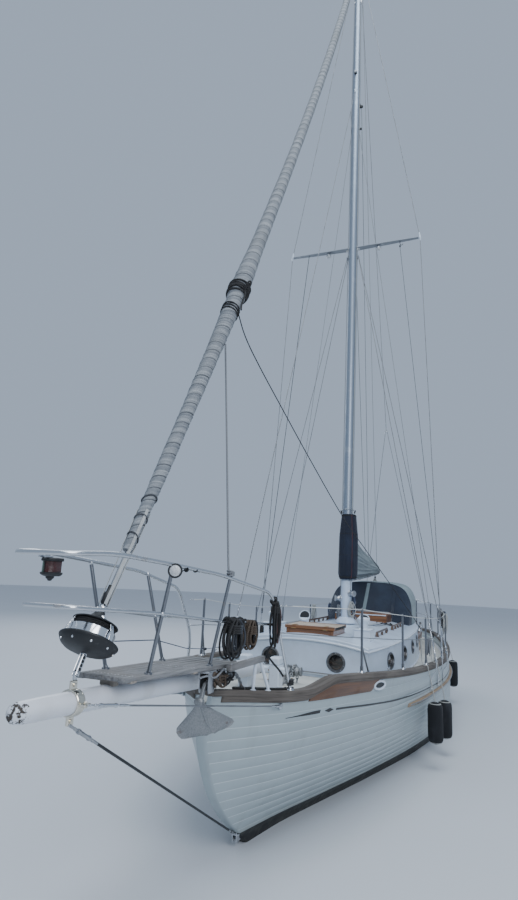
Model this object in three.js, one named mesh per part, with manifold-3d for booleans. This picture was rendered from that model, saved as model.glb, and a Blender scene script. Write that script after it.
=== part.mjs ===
// Sailing yacht: a heavy double-ended cutter afloat, in millimetres.
// +X forward, +Y to port, +Z up. Origin on the waterline amidships.
import * as THREE from 'three'
import Module from 'manifold-3d'

const wasm = await Module()
wasm.setup()

const group = new THREE.Group()
const V = (x, y, z) => new THREE.Vector3(x, y, z)
const GAP = 0.3

// Main sizes
const STEM_X = 5200
const STERN_X = -5200
const STEM_HALF = 47
const KEEL_Z = -1600
const MAST_X = 450
const MAST_FOOT_Z = 1585
const MAST_TOP_Z = 14700
const MAST_RAKE = Math.tan(THREE.MathUtils.degToRad(1.67))
const BOOM_SIDE = THREE.MathUtils.degToRad(4)
const SPREADER_Z = 8050
const SPREADER_HALF = 1150
const CAP_T = 45
const DECK_T = 28

// Curves through short tables
function smooth(xs, ys, x) {
  const n = xs.length
  const up = xs[n - 1] > xs[0] ? 1 : -1
  let i = 0
  while (i < n - 2 && (x - xs[i + 1]) * up > 0) i++
  const h = xs[i + 1] - xs[i]
  const t = Math.min(1, Math.max(0, (x - xs[i]) / h))
  const slope = (k) => {
    if (k <= 0) return (ys[1] - ys[0]) / (xs[1] - xs[0])
    if (k >= n - 1) return (ys[n - 1] - ys[n - 2]) / (xs[n - 1] - xs[n - 2])
    return (ys[k + 1] - ys[k - 1]) / (xs[k + 1] - xs[k - 1])
  }
  const t2 = t * t
  const t3 = t2 * t
  return ys[i] * (2 * t3 - 3 * t2 + 1) + ys[i + 1] * (3 * t2 - 2 * t3) +
    slope(i) * h * (t3 - 2 * t2 + t) + slope(i + 1) * h * (t3 - t2)
}
const ease = (a, b, x) => {
  const t = Math.min(1, Math.max(0, (x - a) / (b - a)))
  return t * t * (3 - 2 * t)
}
const mix = (a, b, t) => a + (b - a) * t

// Hull lines. Share of the length from stem to stern, then the deck edge's height and half-breadths
const SHARE = [0, 0.06, 0.14, 0.25, 0.4, 0.55, 0.7, 0.82, 0.92, 1]
const DECK_Z = [1170, 1150, 1120, 1060, 990, 945, 940, 965, 1020, 1090]
const BREADTHS = [
  // at the deck edge, mid topsides, waterline, then 350, 700, 1050 and 1600 below it
  [STEM_HALF, 490, 810, 1090, 1275, 1375, 1330, 1140, 800, 60],
  [STEM_HALF, 350, 640, 940, 1215, 1370, 1345, 1130, 720, 60],
  [STEM_HALF, 165, 380, 680, 1045, 1270, 1270, 1010, 560, 60],
  [STEM_HALF, 115, 265, 500, 850, 1080, 1040, 720, 330, 60],
  [STEM_HALF, 78, 160, 285, 480, 650, 580, 340, 150, 58],
  [STEM_HALF, 58, 100, 160, 220, 280, 240, 155, 90, 55],
  [STEM_HALF, 60, 90, 115, 135, 140, 120, 95, 70, 52],
]
const LEVELS = [2, 3, 4, 5, 6]
const LEVEL_Z = [0, -350, -700, -1050, KEEL_Z]
const STEM_ZS = [1420, 1170, 1000, 780, 520, 260, 120, 0, -350, -700, -1050, -1350, KEEL_Z]
const STEM_XS = [5185, 5212, 5205, 5110, 4930, 4640, 4440, 4290, 3900, 3400, 2750, 2050, 1350]
const POST_SLOPE = 0.426
const stemX = (z) => smooth(STEM_ZS, STEM_XS, z)
const postX = (z) => STERN_X + POST_SLOPE * (1100 - z)
const deckZ = (u) => smooth(SHARE, DECK_Z, u)
function breadth(u, v) {
  const row = Math.min(BREADTHS.length - 2, Math.floor(v))
  const at = (k) => smooth(SHARE, BREADTHS[Math.min(6, Math.max(0, k))], u)
  const t = v - row
  const a = at(row)
  const b = at(row + 1)
  const sa = row > 0 ? (b - at(row - 1)) / 2 : b - a
  const sb = row < 5 ? (at(row + 2) - a) / 2 : b - a
  const t2 = t * t
  const t3 = t2 * t
  return a * (2 * t3 - 3 * t2 + 1) + b * (3 * t2 - 2 * t3) + sa * (t3 - 2 * t2 + t) + sb * (t3 - t2)
}
function hullPoint(u, v) {
  const z = v <= 2 ? deckZ(u) * (1 - v / 2) : smooth(LEVELS, LEVEL_Z, v)
  return V(mix(stemX(z), postX(z), u), breadth(u, v), z)
}
// A point on the bulwark's outside, h above the deck edge
const FLARE = [0.1, 0.34, 0.3, 0.16, 0.06, 0.0, -0.04, 0.02, 0.1, 0.05]
function railPoint(u, h, inset = 0) {
  const z = deckZ(u) + h
  const out = smooth(SHARE, BREADTHS[0], u) + smooth(SHARE, FLARE, u) * h - inset
  return V(mix(stemX(z), postX(z), u), Math.max(out, 1), z)
}
// The bulwark's height, with its step up behind the bow
const bulwarkH = (u) => mix(155, 122, ease(0, 0.06, u)) + 88 * ease(0.072, 0.106, u) +
  smooth([0, 0.1, 0.14, 0.25, 0.4, 0.55, 0.7, 0.82, 0.92, 1], [0, 12, 5, -25, -62, -76, -76, -62, -50, -42], u)
const shareAtX = (x, h = 0) => {
  let lo = 0
  let hi = 1
  for (let i = 0; i < 40; i++) {
    const m = (lo + hi) / 2
    if (railPoint(m, h).x > x) lo = m
    else hi = m
  }
  return (lo + hi) / 2
}

// Solids
function geometry(points, tris) {
  const g = new THREE.BufferGeometry()
  g.setAttribute('position', new THREE.Float32BufferAttribute(points.flatMap((p) => [p.x, p.y, p.z]), 3))
  g.setIndex(tris.flat())
  return g
}
// Rings of equal length, joined into a closed body; flat fans or ladders close the ends
function loft(rings, ladder = false, loop = false) {
  const n = rings[0].length
  const m = rings.length
  const points = rings.flat()
  const tris = []
  for (let i = 0; i < (loop ? m : m - 1); i++) {
    for (let j = 0; j < n; j++) {
      const a = i * n + j
      const b = i * n + ((j + 1) % n)
      const c = ((i + 1) % m) * n + ((j + 1) % n)
      const d = ((i + 1) % m) * n + j
      tris.push([a, b, c], [a, c, d])
    }
  }
  if (!loop) {
    const end = (base, flip) => {
      const put = (a, b, c) => tris.push(flip ? [base + a, base + b, base + c] : [base + a, base + c, base + b])
      if (ladder) {
        for (let j = 0; j < n / 2 - 1; j++) {
          put(j, j + 1, n - 2 - j)
          put(j, n - 2 - j, n - 1 - j)
        }
      } else {
        for (let j = 1; j < n - 1; j++) put(0, j, j + 1)
      }
    }
    end(0, false)
    end((m - 1) * n, true)
  }
  return outward(geometry(points, tris))
}
// Turns a body's faces outwards and drops faces with no area
function outward(g) {
  const p = g.getAttribute('position')
  const index = g.index ? Array.from(g.index.array) : [...Array(p.count).keys()]
  const keep = []
  let volume = 0
  const at = (k) => V(p.getX(k), p.getY(k), p.getZ(k))
  for (let i = 0; i < index.length; i += 3) {
    const [a, b, c] = [at(index[i]), at(index[i + 1]), at(index[i + 2])]
    if (a.distanceTo(b) < 1e-4 || b.distanceTo(c) < 1e-4 || a.distanceTo(c) < 1e-4) continue
    volume += a.dot(b.clone().cross(c)) / 6
    keep.push(index[i], index[i + 1], index[i + 2])
  }
  if (volume < 0) {
    for (let i = 0; i < keep.length; i += 3) [keep[i + 1], keep[i + 2]] = [keep[i + 2], keep[i + 1]]
  }
  g.setIndex(keep)
  return g
}
function solid(g) {
  const key = new Map()
  const p = g.getAttribute('position')
  const verts = []
  const remap = []
  for (let i = 0; i < p.count; i++) {
    const k = [p.getX(i), p.getY(i), p.getZ(i)].map((c) => Math.round(c * 1000)).join()
    if (!key.has(k)) {
      key.set(k, verts.length / 3)
      verts.push(p.getX(i), p.getY(i), p.getZ(i))
    }
    remap.push(key.get(k))
  }
  const index = g.index ? Array.from(g.index.array) : [...Array(p.count).keys()]
  const tris = []
  for (let i = 0; i < index.length; i += 3) {
    const t = [remap[index[i]], remap[index[i + 1]], remap[index[i + 2]]]
    if (t[0] !== t[1] && t[1] !== t[2] && t[0] !== t[2]) tris.push(...t)
  }
  return new wasm.Manifold(new wasm.Mesh({
    numProp: 3,
    vertProperties: Float32Array.from(verts),
    triVerts: Uint32Array.from(tris),
  }))
}
function join(...geometries) {
  return geometries.map(solid).reduce((a, b) => a.add(b))
}
function back(body) {
  const m = body.getMesh()
  const g = new THREE.BufferGeometry()
  g.setAttribute('position', new THREE.Float32BufferAttribute(Array.from(m.vertProperties), 3))
  g.setIndex(Array.from(m.triVerts))
  return g
}
function box(x0, x1, y0, y1, z0, z1) {
  const g = new THREE.BoxGeometry(x1 - x0, y1 - y0, z1 - z0)
  g.translate((x0 + x1) / 2, (y0 + y1) / 2, (z0 + z1) / 2)
  return g
}
function rod(a, b, r, r2 = r, n = 12) {
  const g = new THREE.CylinderGeometry(r2, r, a.distanceTo(b), n)
  const turn = new THREE.Quaternion().setFromUnitVectors(V(0, 1, 0), b.clone().sub(a).normalize())
  g.applyQuaternion(turn)
  const c = a.clone().add(b).multiplyScalar(0.5)
  g.translate(c.x, c.y, c.z)
  return g
}
function ball(c, rx, ry, rz, n = 12, m = 8) {
  const g = new THREE.SphereGeometry(1, n, m)
  g.rotateX(Math.PI / 2)
  g.scale(rx, ry, rz)
  g.translate(c.x, c.y, c.z)
  return g
}
// A round bar along a path; its radius may be a list
function bar(path, r, n = 8, closed = false) {
  const m = path.length
  let side = null
  const rings = path.map((p, i) => {
    const before = closed ? path[(i + m - 1) % m] : path[Math.max(0, i - 1)]
    const after = closed ? path[(i + 1) % m] : path[Math.min(m - 1, i + 1)]
    const along = after.clone().sub(before).normalize()
    if (!side) side = (Math.abs(along.z) < 0.9 ? V(0, 0, 1) : V(1, 0, 0)).cross(along).normalize()
    side = side.clone().addScaledVector(along, -side.dot(along)).normalize()
    const up = along.clone().cross(side)
    const into = p.clone().sub(before).normalize()
    const bend = closed || (i > 0 && i < m - 1) ? 1 / Math.max(0.6, into.dot(along)) : 1
    const radius = Array.isArray(r) ? r[i] : r
    return [...Array(n)].map((_, k) => {
      const t = (2 * Math.PI * (k + 0.5)) / n
      return p.clone()
        .addScaledVector(side, radius * Math.cos(t) * (bend > 1.02 ? 1.02 : 1))
        .addScaledVector(up, radius * Math.sin(t))
    })
  })
  return loft(rings, false, closed)
}
// A thin wall between an outer and an inner sheet, both split the same way
function wall(outer, inner) {
  const m = outer.length
  const n = outer[0].length
  const at = (i, j) => i * n + j
  const far = (i, j) => m * n + i * n + j
  const tris = []
  for (let i = 0; i < m - 1; i++) {
    for (let j = 0; j < n - 1; j++) {
      tris.push([at(i, j), at(i, j + 1), at(i + 1, j + 1)], [at(i, j), at(i + 1, j + 1), at(i + 1, j)])
      tris.push([far(i, j), far(i + 1, j + 1), far(i, j + 1)], [far(i, j), far(i + 1, j), far(i + 1, j + 1)])
    }
  }
  const rim = []
  for (let j = 0; j < n - 1; j++) rim.push([0, j])
  for (let i = 0; i < m - 1; i++) rim.push([i, n - 1])
  for (let j = n - 1; j > 0; j--) rim.push([m - 1, j])
  for (let i = m - 1; i > 0; i--) rim.push([i, 0])
  rim.forEach(([i, j], k) => {
    const [p, q] = rim[(k + 1) % rim.length]
    tris.push([at(i, j), far(i, j), far(p, q)], [at(i, j), far(p, q), at(p, q)])
  })
  return outward(geometry([...outer.flat(), ...inner.flat()], tris))
}
// A strip of four-cornered sections
const strip = (sections) => loft(sections)
// Rounds the corners of a path
function rounded(points, radius, steps = 3) {
  const out = [points[0]]
  for (let i = 1; i < points.length - 1; i++) {
    const a = points[i - 1].clone().sub(points[i])
    const b = points[i + 1].clone().sub(points[i])
    const r = Math.min(radius, a.length() * 0.45, b.length() * 0.45)
    const from = points[i].clone().addScaledVector(a.normalize(), r)
    const to = points[i].clone().addScaledVector(b.normalize(), r)
    for (let k = 0; k <= steps; k++) {
      const t = k / steps
      out.push(V(0, 0, 0)
        .addScaledVector(from, (1 - t) * (1 - t))
        .addScaledVector(points[i], 2 * t * (1 - t))
        .addScaledVector(to, t * t))
    }
  }
  out.push(points[points.length - 1])
  return out
}
const flip = (g) => {
  const c = g.clone()
  c.scale(1, -1, 1)
  return outward(c)
}
function add(name, g, colour) {
  const shape = g.getMesh ? back(g) : g
  const mesh = new THREE.Mesh(shape, new THREE.MeshStandardMaterial({ color: colour }))
  mesh.name = name
  group.add(mesh)
}
function pair(name, make, colour) {
  add(`${name}_port`, make(1), colour)
  add(`${name}_starboard`, make(-1), colour)
}
const sided = (g, side) => (side > 0 ? g : flip(g))

// Colours
const WHITE = 0xe9edf0
const TEAK = 0x8a7a68
const VARNISH = 0x7a3b1d
const STEEL = 0xc4c8cc
const BLACK = 0x15171b
const NAVY = 0x26385c
const ALLOY = 0xb9bec4
const SAIL = 0xc9ccd0
const GALV = 0x9aa0a3
const CREAM = 0xe2ddcf

// Hull with its keel, cabin well and cockpit well
const COLUMNS = [0, 0.012, 0.03, 0.05, 0.068, 0.08, 0.09, 0.1, 0.112, 0.14, 0.19, 0.25, 0.32, 0.4, 0.48, 0.56,
  0.64, 0.72, 0.79, 0.85, 0.9, 0.94, 0.97, 0.988, 1]
const HULL_ROWS = [0, 0.5, 1, 1.5, 2, 2.5, 3, 3.5, 4, 4.5, 5, 5.5, 6]
const hullRings = COLUMNS.map((u) => {
  const port = HULL_ROWS.map((v) => hullPoint(u, v))
  return [...port, ...port.map((p) => V(p.x, -p.y, p.z)).reverse()]
})
const TRUNK_FRONT = 2660
const TRUNK_BACK = -1900
const TRUNK_ROOF_Z = 1460
const WALL = 40
// Cabin trunk's half-width: x, then half-width at the roof's edge
const TRUNK_XS = [2660, 2030, 770, -300, -1270, -1900]
const TRUNK_HALF = [760, 830, 900, 895, 845, 790]
const trunkHalf = (x) => smooth(TRUNK_XS, TRUNK_HALF, x)
const WELL = { x0: -3950, x1: -2150, half: 330, z: 420 }
const AXIS_BACK = 55
const POST_DIR = V(-POST_SLOPE, 0, 1).normalize()
const rudderAxis = (z) => V(postX(z) - AXIS_BACK / POST_DIR.z, 0, z)
const GUDGEONS = [760, -280, -1420]
const SHAFT_Z = -930
function plan(x0, x1, half, z0, z1, steps = 8) {
  const rings = [...Array(steps + 1)].map((_, i) => {
    const x = mix(x0, x1, i / steps)
    const w = half(x)
    return [V(x, w, z0), V(x, w, z1), V(x, -w, z1), V(x, -w, z0)]
  })
  return loft(rings)
}
// Hull's half-width at a place and height
function hullHalf(x, z) {
  const u = (stemX(z) - x) / (stemX(z) - postX(z))
  let lo = 0
  let hi = 6
  for (let i = 0; i < 30; i++) {
    const m = (lo + hi) / 2
    if (hullPoint(u, m).z > z) lo = m
    else hi = m
  }
  return breadth(u, lo)
}
// Cabin well: full width down to the berths, narrower down to the sole
const SOLE_Z = -150
const BERTH_Z = 500
const hollow = loft([...Array(9)].map((_, i) => {
  const x = mix(TRUNK_BACK + WALL, TRUNK_FRONT - WALL, i / 8)
  const w = trunkHalf(x) - WALL
  const low = Math.min(w, hullHalf(x, SOLE_Z) - 100)
  return [V(x, w, 1500), V(x, w, BERTH_Z), V(x, low, SOLE_Z), V(x, -low, SOLE_Z), V(x, -w, BERTH_Z), V(x, -w, 1500)]
}))
const cockpitWell = box(WELL.x0, WELL.x1, -WELL.half, WELL.half, WELL.z, 1500)
const aperture = box(-4700, -3960, -200, 200, SHAFT_Z - 260, SHAFT_Z + 260)
const gudgeon = (z) => {
  const c = rudderAxis(z)
  const a = c.clone().addScaledVector(POST_DIR, -22)
  const b = c.clone().addScaledVector(POST_DIR, 22)
  const arm = box(-35, 170, -19, 19, -20, 20)
  arm.applyQuaternion(new THREE.Quaternion().setFromUnitVectors(V(0, 0, 1), POST_DIR))
  arm.translate(c.x, c.y, c.z)
  const far = c.clone().addScaledVector(POST_DIR, -60)
  return join(rod(a, b, 30, 30, 16), arm).subtract(solid(rod(far, c.clone().addScaledVector(POST_DIR, 60), 12.4, 12.4, 16)))
}
let hullBody = solid(loft(hullRings, true))
  .subtract(solid(hollow))
  .subtract(solid(cockpitWell))
  .subtract(solid(aperture))
  .subtract(solid(rod(V(-4100, 0, SHAFT_Z), V(-3700, 0, SHAFT_Z), 16.3, 16.3, 24)))
for (const z of GUDGEONS) hullBody = hullBody.add(gudgeon(z))
const stemEye = rod(V(4425, -22, 95), V(4425, 22, 95), 34, 34, 10)
hullBody = hullBody.add(solid(stemEye))
add('hull', hullBody, WHITE)

// Deck, laid inside the bulwarks
const DECK_US = COLUMNS.filter((u) => u > 0.02 && u < 0.98)
const BULWARK_T = 48
const deckTop = (u, y) => {
  const edge = railPoint(u, 0, BULWARK_T + 6)
  return edge.z + DECK_T + 45 * (1 - (y / edge.y) ** 2)
}
const deckRings = DECK_US.map((u) => {
  const e = railPoint(u, 0, BULWARK_T + 6)
  const x = mix(stemX(deckZ(u)), postX(deckZ(u)), u)
  const top = [1, 0.66, 0.33, 0, -0.33, -0.66, -1].map((k) => V(x, k * e.y, deckTop(u, k * e.y)))
  return [...top, V(x, -e.y, e.z + GAP), V(x, e.y, e.z + GAP)]
})
const wellHole = box(WELL.x0, WELL.x1, -WELL.half, WELL.half, 0, 2000)
const trunkHole = plan(TRUNK_BACK - GAP, TRUNK_FRONT + GAP, (x) => trunkHalf(x) + 45 + GAP, 0, 2000)
const deckBody = solid(loft(deckRings)).subtract(solid(wellHole)).subtract(solid(trunkHole))
add('deck', deckBody, CREAM)
// Trims a body so that it stands a hair above another
const seat = (body, base) => body.subtract(base.translate(0, 0, GAP))

// Bulwarks and cap rails
function bulwark(side) {
  const g = strip(COLUMNS.map((u) => {
    const h = bulwarkH(u)
    const thick = Math.min(BULWARK_T, smooth(SHARE, BREADTHS[0], u) - 8)
    const o0 = railPoint(u, GAP)
    const o1 = railPoint(u, h)
    const i1 = V(o1.x, Math.max(o1.y - thick, GAP), o1.z)
    const i0 = V(o0.x, Math.max(o0.y - thick, GAP), o0.z)
    return [o0, o1, i1, i0]
  }))
  return sided(g, side)
}
pair('bulwark', bulwark, WHITE)
const CAP_OUT = 26
const CAP_W = 105
function capRail(side) {
  const g = strip(COLUMNS.map((u) => {
    const p = railPoint(u, bulwarkH(u) + GAP)
    const out = p.y + CAP_OUT
    const inn = Math.max(GAP, out - CAP_W)
    return [V(p.x, out, p.z), V(p.x, out, p.z + CAP_T), V(p.x, inn, p.z + CAP_T), V(p.x, inn, p.z)]
  }))
  return sided(g, side)
}
pair('cap_rail', capRail, TEAK)
const caps = join(capRail(1), capRail(-1))
function trim(u0, u1, steps, low, high, out) {
  return strip([...Array(steps + 1)].map((_, i) => {
    const u = mix(u0, u1, i / steps)
    const a = railPoint(u, low(u), -GAP - 0.7)
    const b = railPoint(u, high(u), -GAP - 0.7)
    return [a, V(a.x, a.y + out, a.z), V(b.x, b.y + out, b.z), b]
  }))
}
const panel = (side) => sided(trim(0.09, 0.186, 6, () => 72, (u) => bulwarkH(u) - 8, 14), side)
pair('rail_panel', panel, VARNISH)
function strake(side) {
  const steps = 14
  const g = strip([...Array(steps + 1)].map((_, i) => {
    const u = mix(0.3, 0.93, i / steps)
    const a = hullPoint(u, 0.43)
    const b = hullPoint(u, 0.33)
    const base = Math.min(a.y, b.y) - 15
    const out = Math.max(a.y, b.y) + 3 + 34 * Math.min(1, 0.25 + Math.min(i, steps - i) * 0.5)
    return [V(a.x, base, a.z), V(a.x, out, a.z + 8), V(a.x, out, b.z - 8), V(a.x, base, b.z)]
  }))
  return solid(sided(g, side)).subtract(hullBody.translate(0, side * 0.6, 0))
}
pair('rub_strake', strake, TEAK)

// Cabin trunk, roof and what stands on it
const roofZ = (x, y) => TRUNK_ROOF_Z + 115 * (1 - (y / 900) ** 2)
const edge = COLUMNS.map((u) => hullPoint(u, 0))
const trunkBase = (x) => {
  const i = Math.max(0, edge.findIndex((p) => p.x <= x) - 1)
  return mix(edge[i].z, edge[i + 1].z, (x - edge[i].x) / (edge[i + 1].x - edge[i].x)) + GAP
}
// Places across the roof, as shares of its half-width, and the underside there
const ACROSS = [1, 0.75, 0.5, 0.25, 0, -0.25, -0.5, -0.75, -1]
const ROOF_T = 28
const roofUnder = (y) => Math.max(TRUNK_ROOF_Z + GAP, roofZ(0, y) - ROOF_T)
// The walls and both ends reach up to the crowned roof's underside
function trunkShell() {
  const xs = [TRUNK_FRONT, 2380, 2030, 1500, 770, 200, -300, -800, -1270, TRUNK_BACK]
  const chordSag = 1
  const outer = loft(xs.map((x) => {
    const w = trunkHalf(x)
    const b = trunkBase(x)
    const crown = ACROSS.map((k) => V(x, k * w, Math.max(TRUNK_ROOF_Z, roofUnder(k * w) - GAP - chordSag)))
    return [V(x, w + 40, b), ...crown, V(x, -w - 40, b)]
  }), true)
  const inner = loft([...Array(9)].map((_, i) => {
    const x = mix(TRUNK_FRONT - WALL, TRUNK_BACK + WALL, i / 8)
    const w = trunkHalf(x) - WALL
    return [V(x, w + 36, 700), V(x, w, 1600), V(x, -w, 1600), V(x, -w - 36, 700)]
  }))
  return solid(outer).subtract(solid(inner))
}
// Side lights: x of each one's middle
const SIDE_LIGHTS = [1700, 750, -200, -1150]
const LIGHT_Z = 1270
function oval(x, side, halfLong, halfHigh) {
  const g = new THREE.CylinderGeometry(1, 1, 400, 14)
  g.scale(halfLong, 1, halfHigh)
  g.translate(x, side * trunkHalf(x), LIGHT_Z)
  return g
}
let trunk = trunkShell()
for (const x of SIDE_LIGHTS) {
  for (const side of [1, -1]) trunk = trunk.subtract(solid(oval(x, side, 165, 80)))
}
for (const y of [400, -400]) {
  trunk = trunk.subtract(solid(rod(V(TRUNK_FRONT - 200, y, 1315), V(TRUNK_FRONT + 200, y, 1315), 88, 88, 16)))
}
const DOOR_HALF = 300
trunk = trunk.subtract(solid(box(TRUNK_BACK - 100, TRUNK_BACK + 100, -DOOR_HALF, DOOR_HALF, 1000, 1700)))
add('cabin_trunk', trunk, WHITE)
const HATCH = { x0: 1800, x1: 2400, half: 300 }
const SLIDE = { x0: TRUNK_BACK - 30, x1: -1250, half: 330 }
function roofShell() {
  const xs = [TRUNK_FRONT + 18, 2380, 2030, 1500, 770, 200, -300, -800, -1270, TRUNK_BACK - 18]
  const rings = xs.map((x) => {
    const w = trunkHalf(Math.min(TRUNK_FRONT, Math.max(TRUNK_BACK, x))) + 18
    const top = ACROSS.map((k) => V(x, k * w, roofZ(x, k * w) + 12))
    const low = ACROSS.map((k) => V(x, k * w, roofUnder(k * w))).reverse()
    return [...top, ...low]
  })
  return solid(loft(rings, true))
}
const roof = roofShell()
  .subtract(solid(box(HATCH.x0 + 40, HATCH.x1 - 40, -HATCH.half + 40, HATCH.half - 40, 1300, 1800)))
  .subtract(solid(box(TRUNK_BACK - 60, SLIDE.x1 - 40, -SLIDE.half + 25, SLIDE.half - 25, 1300, 1800)))
  .add(solid(rod(V(MAST_X, 0, 1560), V(MAST_X, 0, 1598), 135, 125, 16)))
add('cabin_roof', roof, WHITE)
const HATCH_TOP = roofZ(0, 0) + 12
const coaming = join(box(HATCH.x0, HATCH.x1, -HATCH.half, HATCH.half, HATCH_TOP - 30, HATCH_TOP + 45))
  .subtract(solid(box(HATCH.x0 + 40, HATCH.x1 - 40, -HATCH.half + 40, HATCH.half - 40, 1400, 1900)))
  .subtract(roofShell().translate(0, 0, GAP))
add('fore_hatch_frame', coaming, VARNISH)
const lidZ = HATCH_TOP + 45 + GAP
add('fore_hatch', join(box(HATCH.x0 - 15, HATCH.x1 + 15, -HATCH.half - 15, HATCH.half + 15, lidZ, lidZ + 42)), VARNISH)
const RUNNER_Z = HATCH_TOP + 34
const hood = join(box(-1310, -640, -440, 440, HATCH_TOP - 38, RUNNER_Z + 92))
  .subtract(solid(box(-1400, -690, -395, 395, HATCH_TOP - 100, RUNNER_Z + 64)))
  .add(solid(box(SLIDE.x0, -1300, 335, 440, HATCH_TOP - 38, RUNNER_Z - GAP)))
  .add(solid(box(SLIDE.x0, -1300, -440, -335, HATCH_TOP - 38, RUNNER_Z - GAP)))
  .subtract(roofShell().translate(0, 0, GAP))
add('hatch_hood', hood, VARNISH)
add('sliding_hatch', join(box(SLIDE.x0, SLIDE.x1, -385, 385, RUNNER_Z, RUNNER_Z + 40)), VARNISH)
add('washboards', box(TRUNK_BACK + 6, TRUNK_BACK + 30, -DOOR_HALF + 1, DOOR_HALF - 1, 1001, RUNNER_Z - 6), VARNISH)

// Ventilators: x, half spacing, cowl radius
const VENTS = [['ventilator', 2010, 590, 80]]
for (const [name, x, y, r] of VENTS) {
  pair(name, (side) => {
    const c = side * y
    const seat = roofZ(x, y) + 12
    const body = join(
      box(x - 150, x + 150, c - 100, c + 100, seat - 22, seat + 125),
      rod(V(x + 40, c, seat + 120), V(x + 40, c, seat + 190), r * 0.62, r * 0.62, 12),
      rod(V(x + 40, c, seat + 185), V(x + 40, c, seat + 240), r * 0.8, r, 14),
      rod(V(x + 40, c, seat + 239), V(x + 40, c, seat + 262), r, r * 0.5, 14))
    return body.subtract(roofShell().translate(0, 0, GAP))
  }, WHITE)
}

// Cockpit coamings and sole
const COAM = { x0: -4350, x1: TRUNK_BACK - 25, half: 760, t: 45, top: 1330 }
const coamHalf = (x) => smooth([-4350, -3600, -2700, -1925], [520, 690, 770, 790], x)
pair('coaming', (side) => {
  const steps = 7
  const g = strip([...Array(steps + 1)].map((_, i) => {
    const x = mix(COAM.x0, COAM.x1, i / steps)
    const w = coamHalf(x)
    const b = deckTop(shareAtX(x), w) - 14
    const top = mix(1230, COAM.top, ease(COAM.x0, -3300, x))
    return [V(x, w, b), V(x, w + 12, top), V(x, w - COAM.t + 12, top), V(x, w - COAM.t, b)]
  }))
  return seat(solid(sided(g, side)), deckBody)
}, VARNISH)
add('cockpit_grating', box(WELL.x0 + 40, WELL.x1 - 40, -WELL.half + 30, WELL.half - 30, WELL.z + GAP, WELL.z + 32), TEAK)

// Bowsprit and its gear
const SPRIT_TIP = V(7220, 0, 1570)
const SPRIT_HEEL = V(4150, 0, 1415)
const spritAt = (x) => SPRIT_HEEL.clone().lerp(SPRIT_TIP, (x - SPRIT_HEEL.x) / (SPRIT_TIP.x - SPRIT_HEEL.x))
const CRANSE_X = 6790
add('bowsprit', bar([SPRIT_HEEL, spritAt(4700), spritAt(5300), spritAt(6200), spritAt(7150), SPRIT_TIP],
  [72, 78, 78, 66, 52, 46], 14), WHITE)
const gammon = join(box(5010, 5150, -62, 62, 1200, 1500))
const bittDeck = (x) => deckTop(shareAtX(x), 0)
const bitts = join(
  box(3950, 4080, 105, 205, bittDeck(4000) - 25, 1500),
  box(3950, 4080, -205, -105, bittDeck(4000) - 25, 1500),
  box(3965, 4065, -270, 270, 1350, 1410))
  .subtract(solid(loft(deckRings)).translate(0, 0, GAP))
add('bitts', bitts, TEAK)
const band = (x, r, w, lugs) => {
  const c = spritAt(x)
  const d = SPRIT_TIP.clone().sub(SPRIT_HEEL).normalize()
  const a = c.clone().addScaledVector(d, -w / 2)
  const b = c.clone().addScaledVector(d, w / 2)
  const far = (k) => c.clone().addScaledVector(d, k)
  let body = solid(rod(a, b, r + 9, r + 9, 18))
  for (const g of lugs) body = body.add(solid(g))
  return body.subtract(solid(rod(far(-120), far(120), r, r, 18)))
}
const cranse = spritAt(CRANSE_X)
add('cranse_band', band(CRANSE_X, 60, 62, [
  box(CRANSE_X - 26, CRANSE_X + 26, -8, 8, cranse.z + 50, cranse.z + 112),
  box(CRANSE_X - 26, CRANSE_X + 26, -8, 8, cranse.z - 112, cranse.z - 50),
  box(CRANSE_X - 26, CRANSE_X + 26, 50, 108, cranse.z - 8, cranse.z + 8),
  box(CRANSE_X - 26, CRANSE_X + 26, -108, -50, cranse.z - 8, cranse.z + 8),
]), STEEL)
// A stay: two ends, its radius, and the length of the turnbuckle at the first end
function stay(a, b, r, buckle) {
  const d = b.clone().sub(a).normalize()
  const at = (k) => a.clone().addScaledVector(d, k)
  const path = [a, at(30), at(34), at(buckle), at(buckle + 4), b]
  return bar(path, [r + 5, r + 5, r + 7, r + 7, r, r], 6)
}
add('bobstay', stay(V(CRANSE_X - 4, 0, cranse.z - 128), V(4455, 0, 112), 9, 260), BLACK)
pair('whisker_stay', (side) => {
  const end = railPoint(shareAtX(4700, 60), 60)
  return stay(V(CRANSE_X - 4, side * 122, cranse.z), V(end.x, side * (end.y + 14), end.z), 6, 260)
}, STEEL)

// Platform of slats on the bowsprit, carried by three cross bearers
const PLAT = { x0: 5010, x1: 6560, half0: 250, half1: 165 }
const platTop = (x) => spritAt(x).z + 118
const platHalf = (x) => mix(PLAT.half0, PLAT.half1, (x - PLAT.x0) / (PLAT.x1 - PLAT.x0))
function platform() {
  const parts = []
  const slats = 7
  for (let i = 0; i < slats; i++) {
    const k = mix(-1, 1, i / (slats - 1))
    const rings = [PLAT.x0, PLAT.x1].map((x) => {
      const c = k * (platHalf(x) - 26)
      const z = platTop(x)
      return [V(x, c + 24, z - 24), V(x, c + 24, z), V(x, c - 24, z), V(x, c - 24, z - 24)]
    })
    parts.push(loft(rings))
  }
  for (const x of [5090, 5780, 6470]) {
    parts.push(box(x - 30, x + 30, -platHalf(x), platHalf(x), platTop(x) - 36, platTop(x) - 12))
  }
  return join(...parts)
}
const platformBody = platform()
add('platform', platformBody, TEAK)

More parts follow.
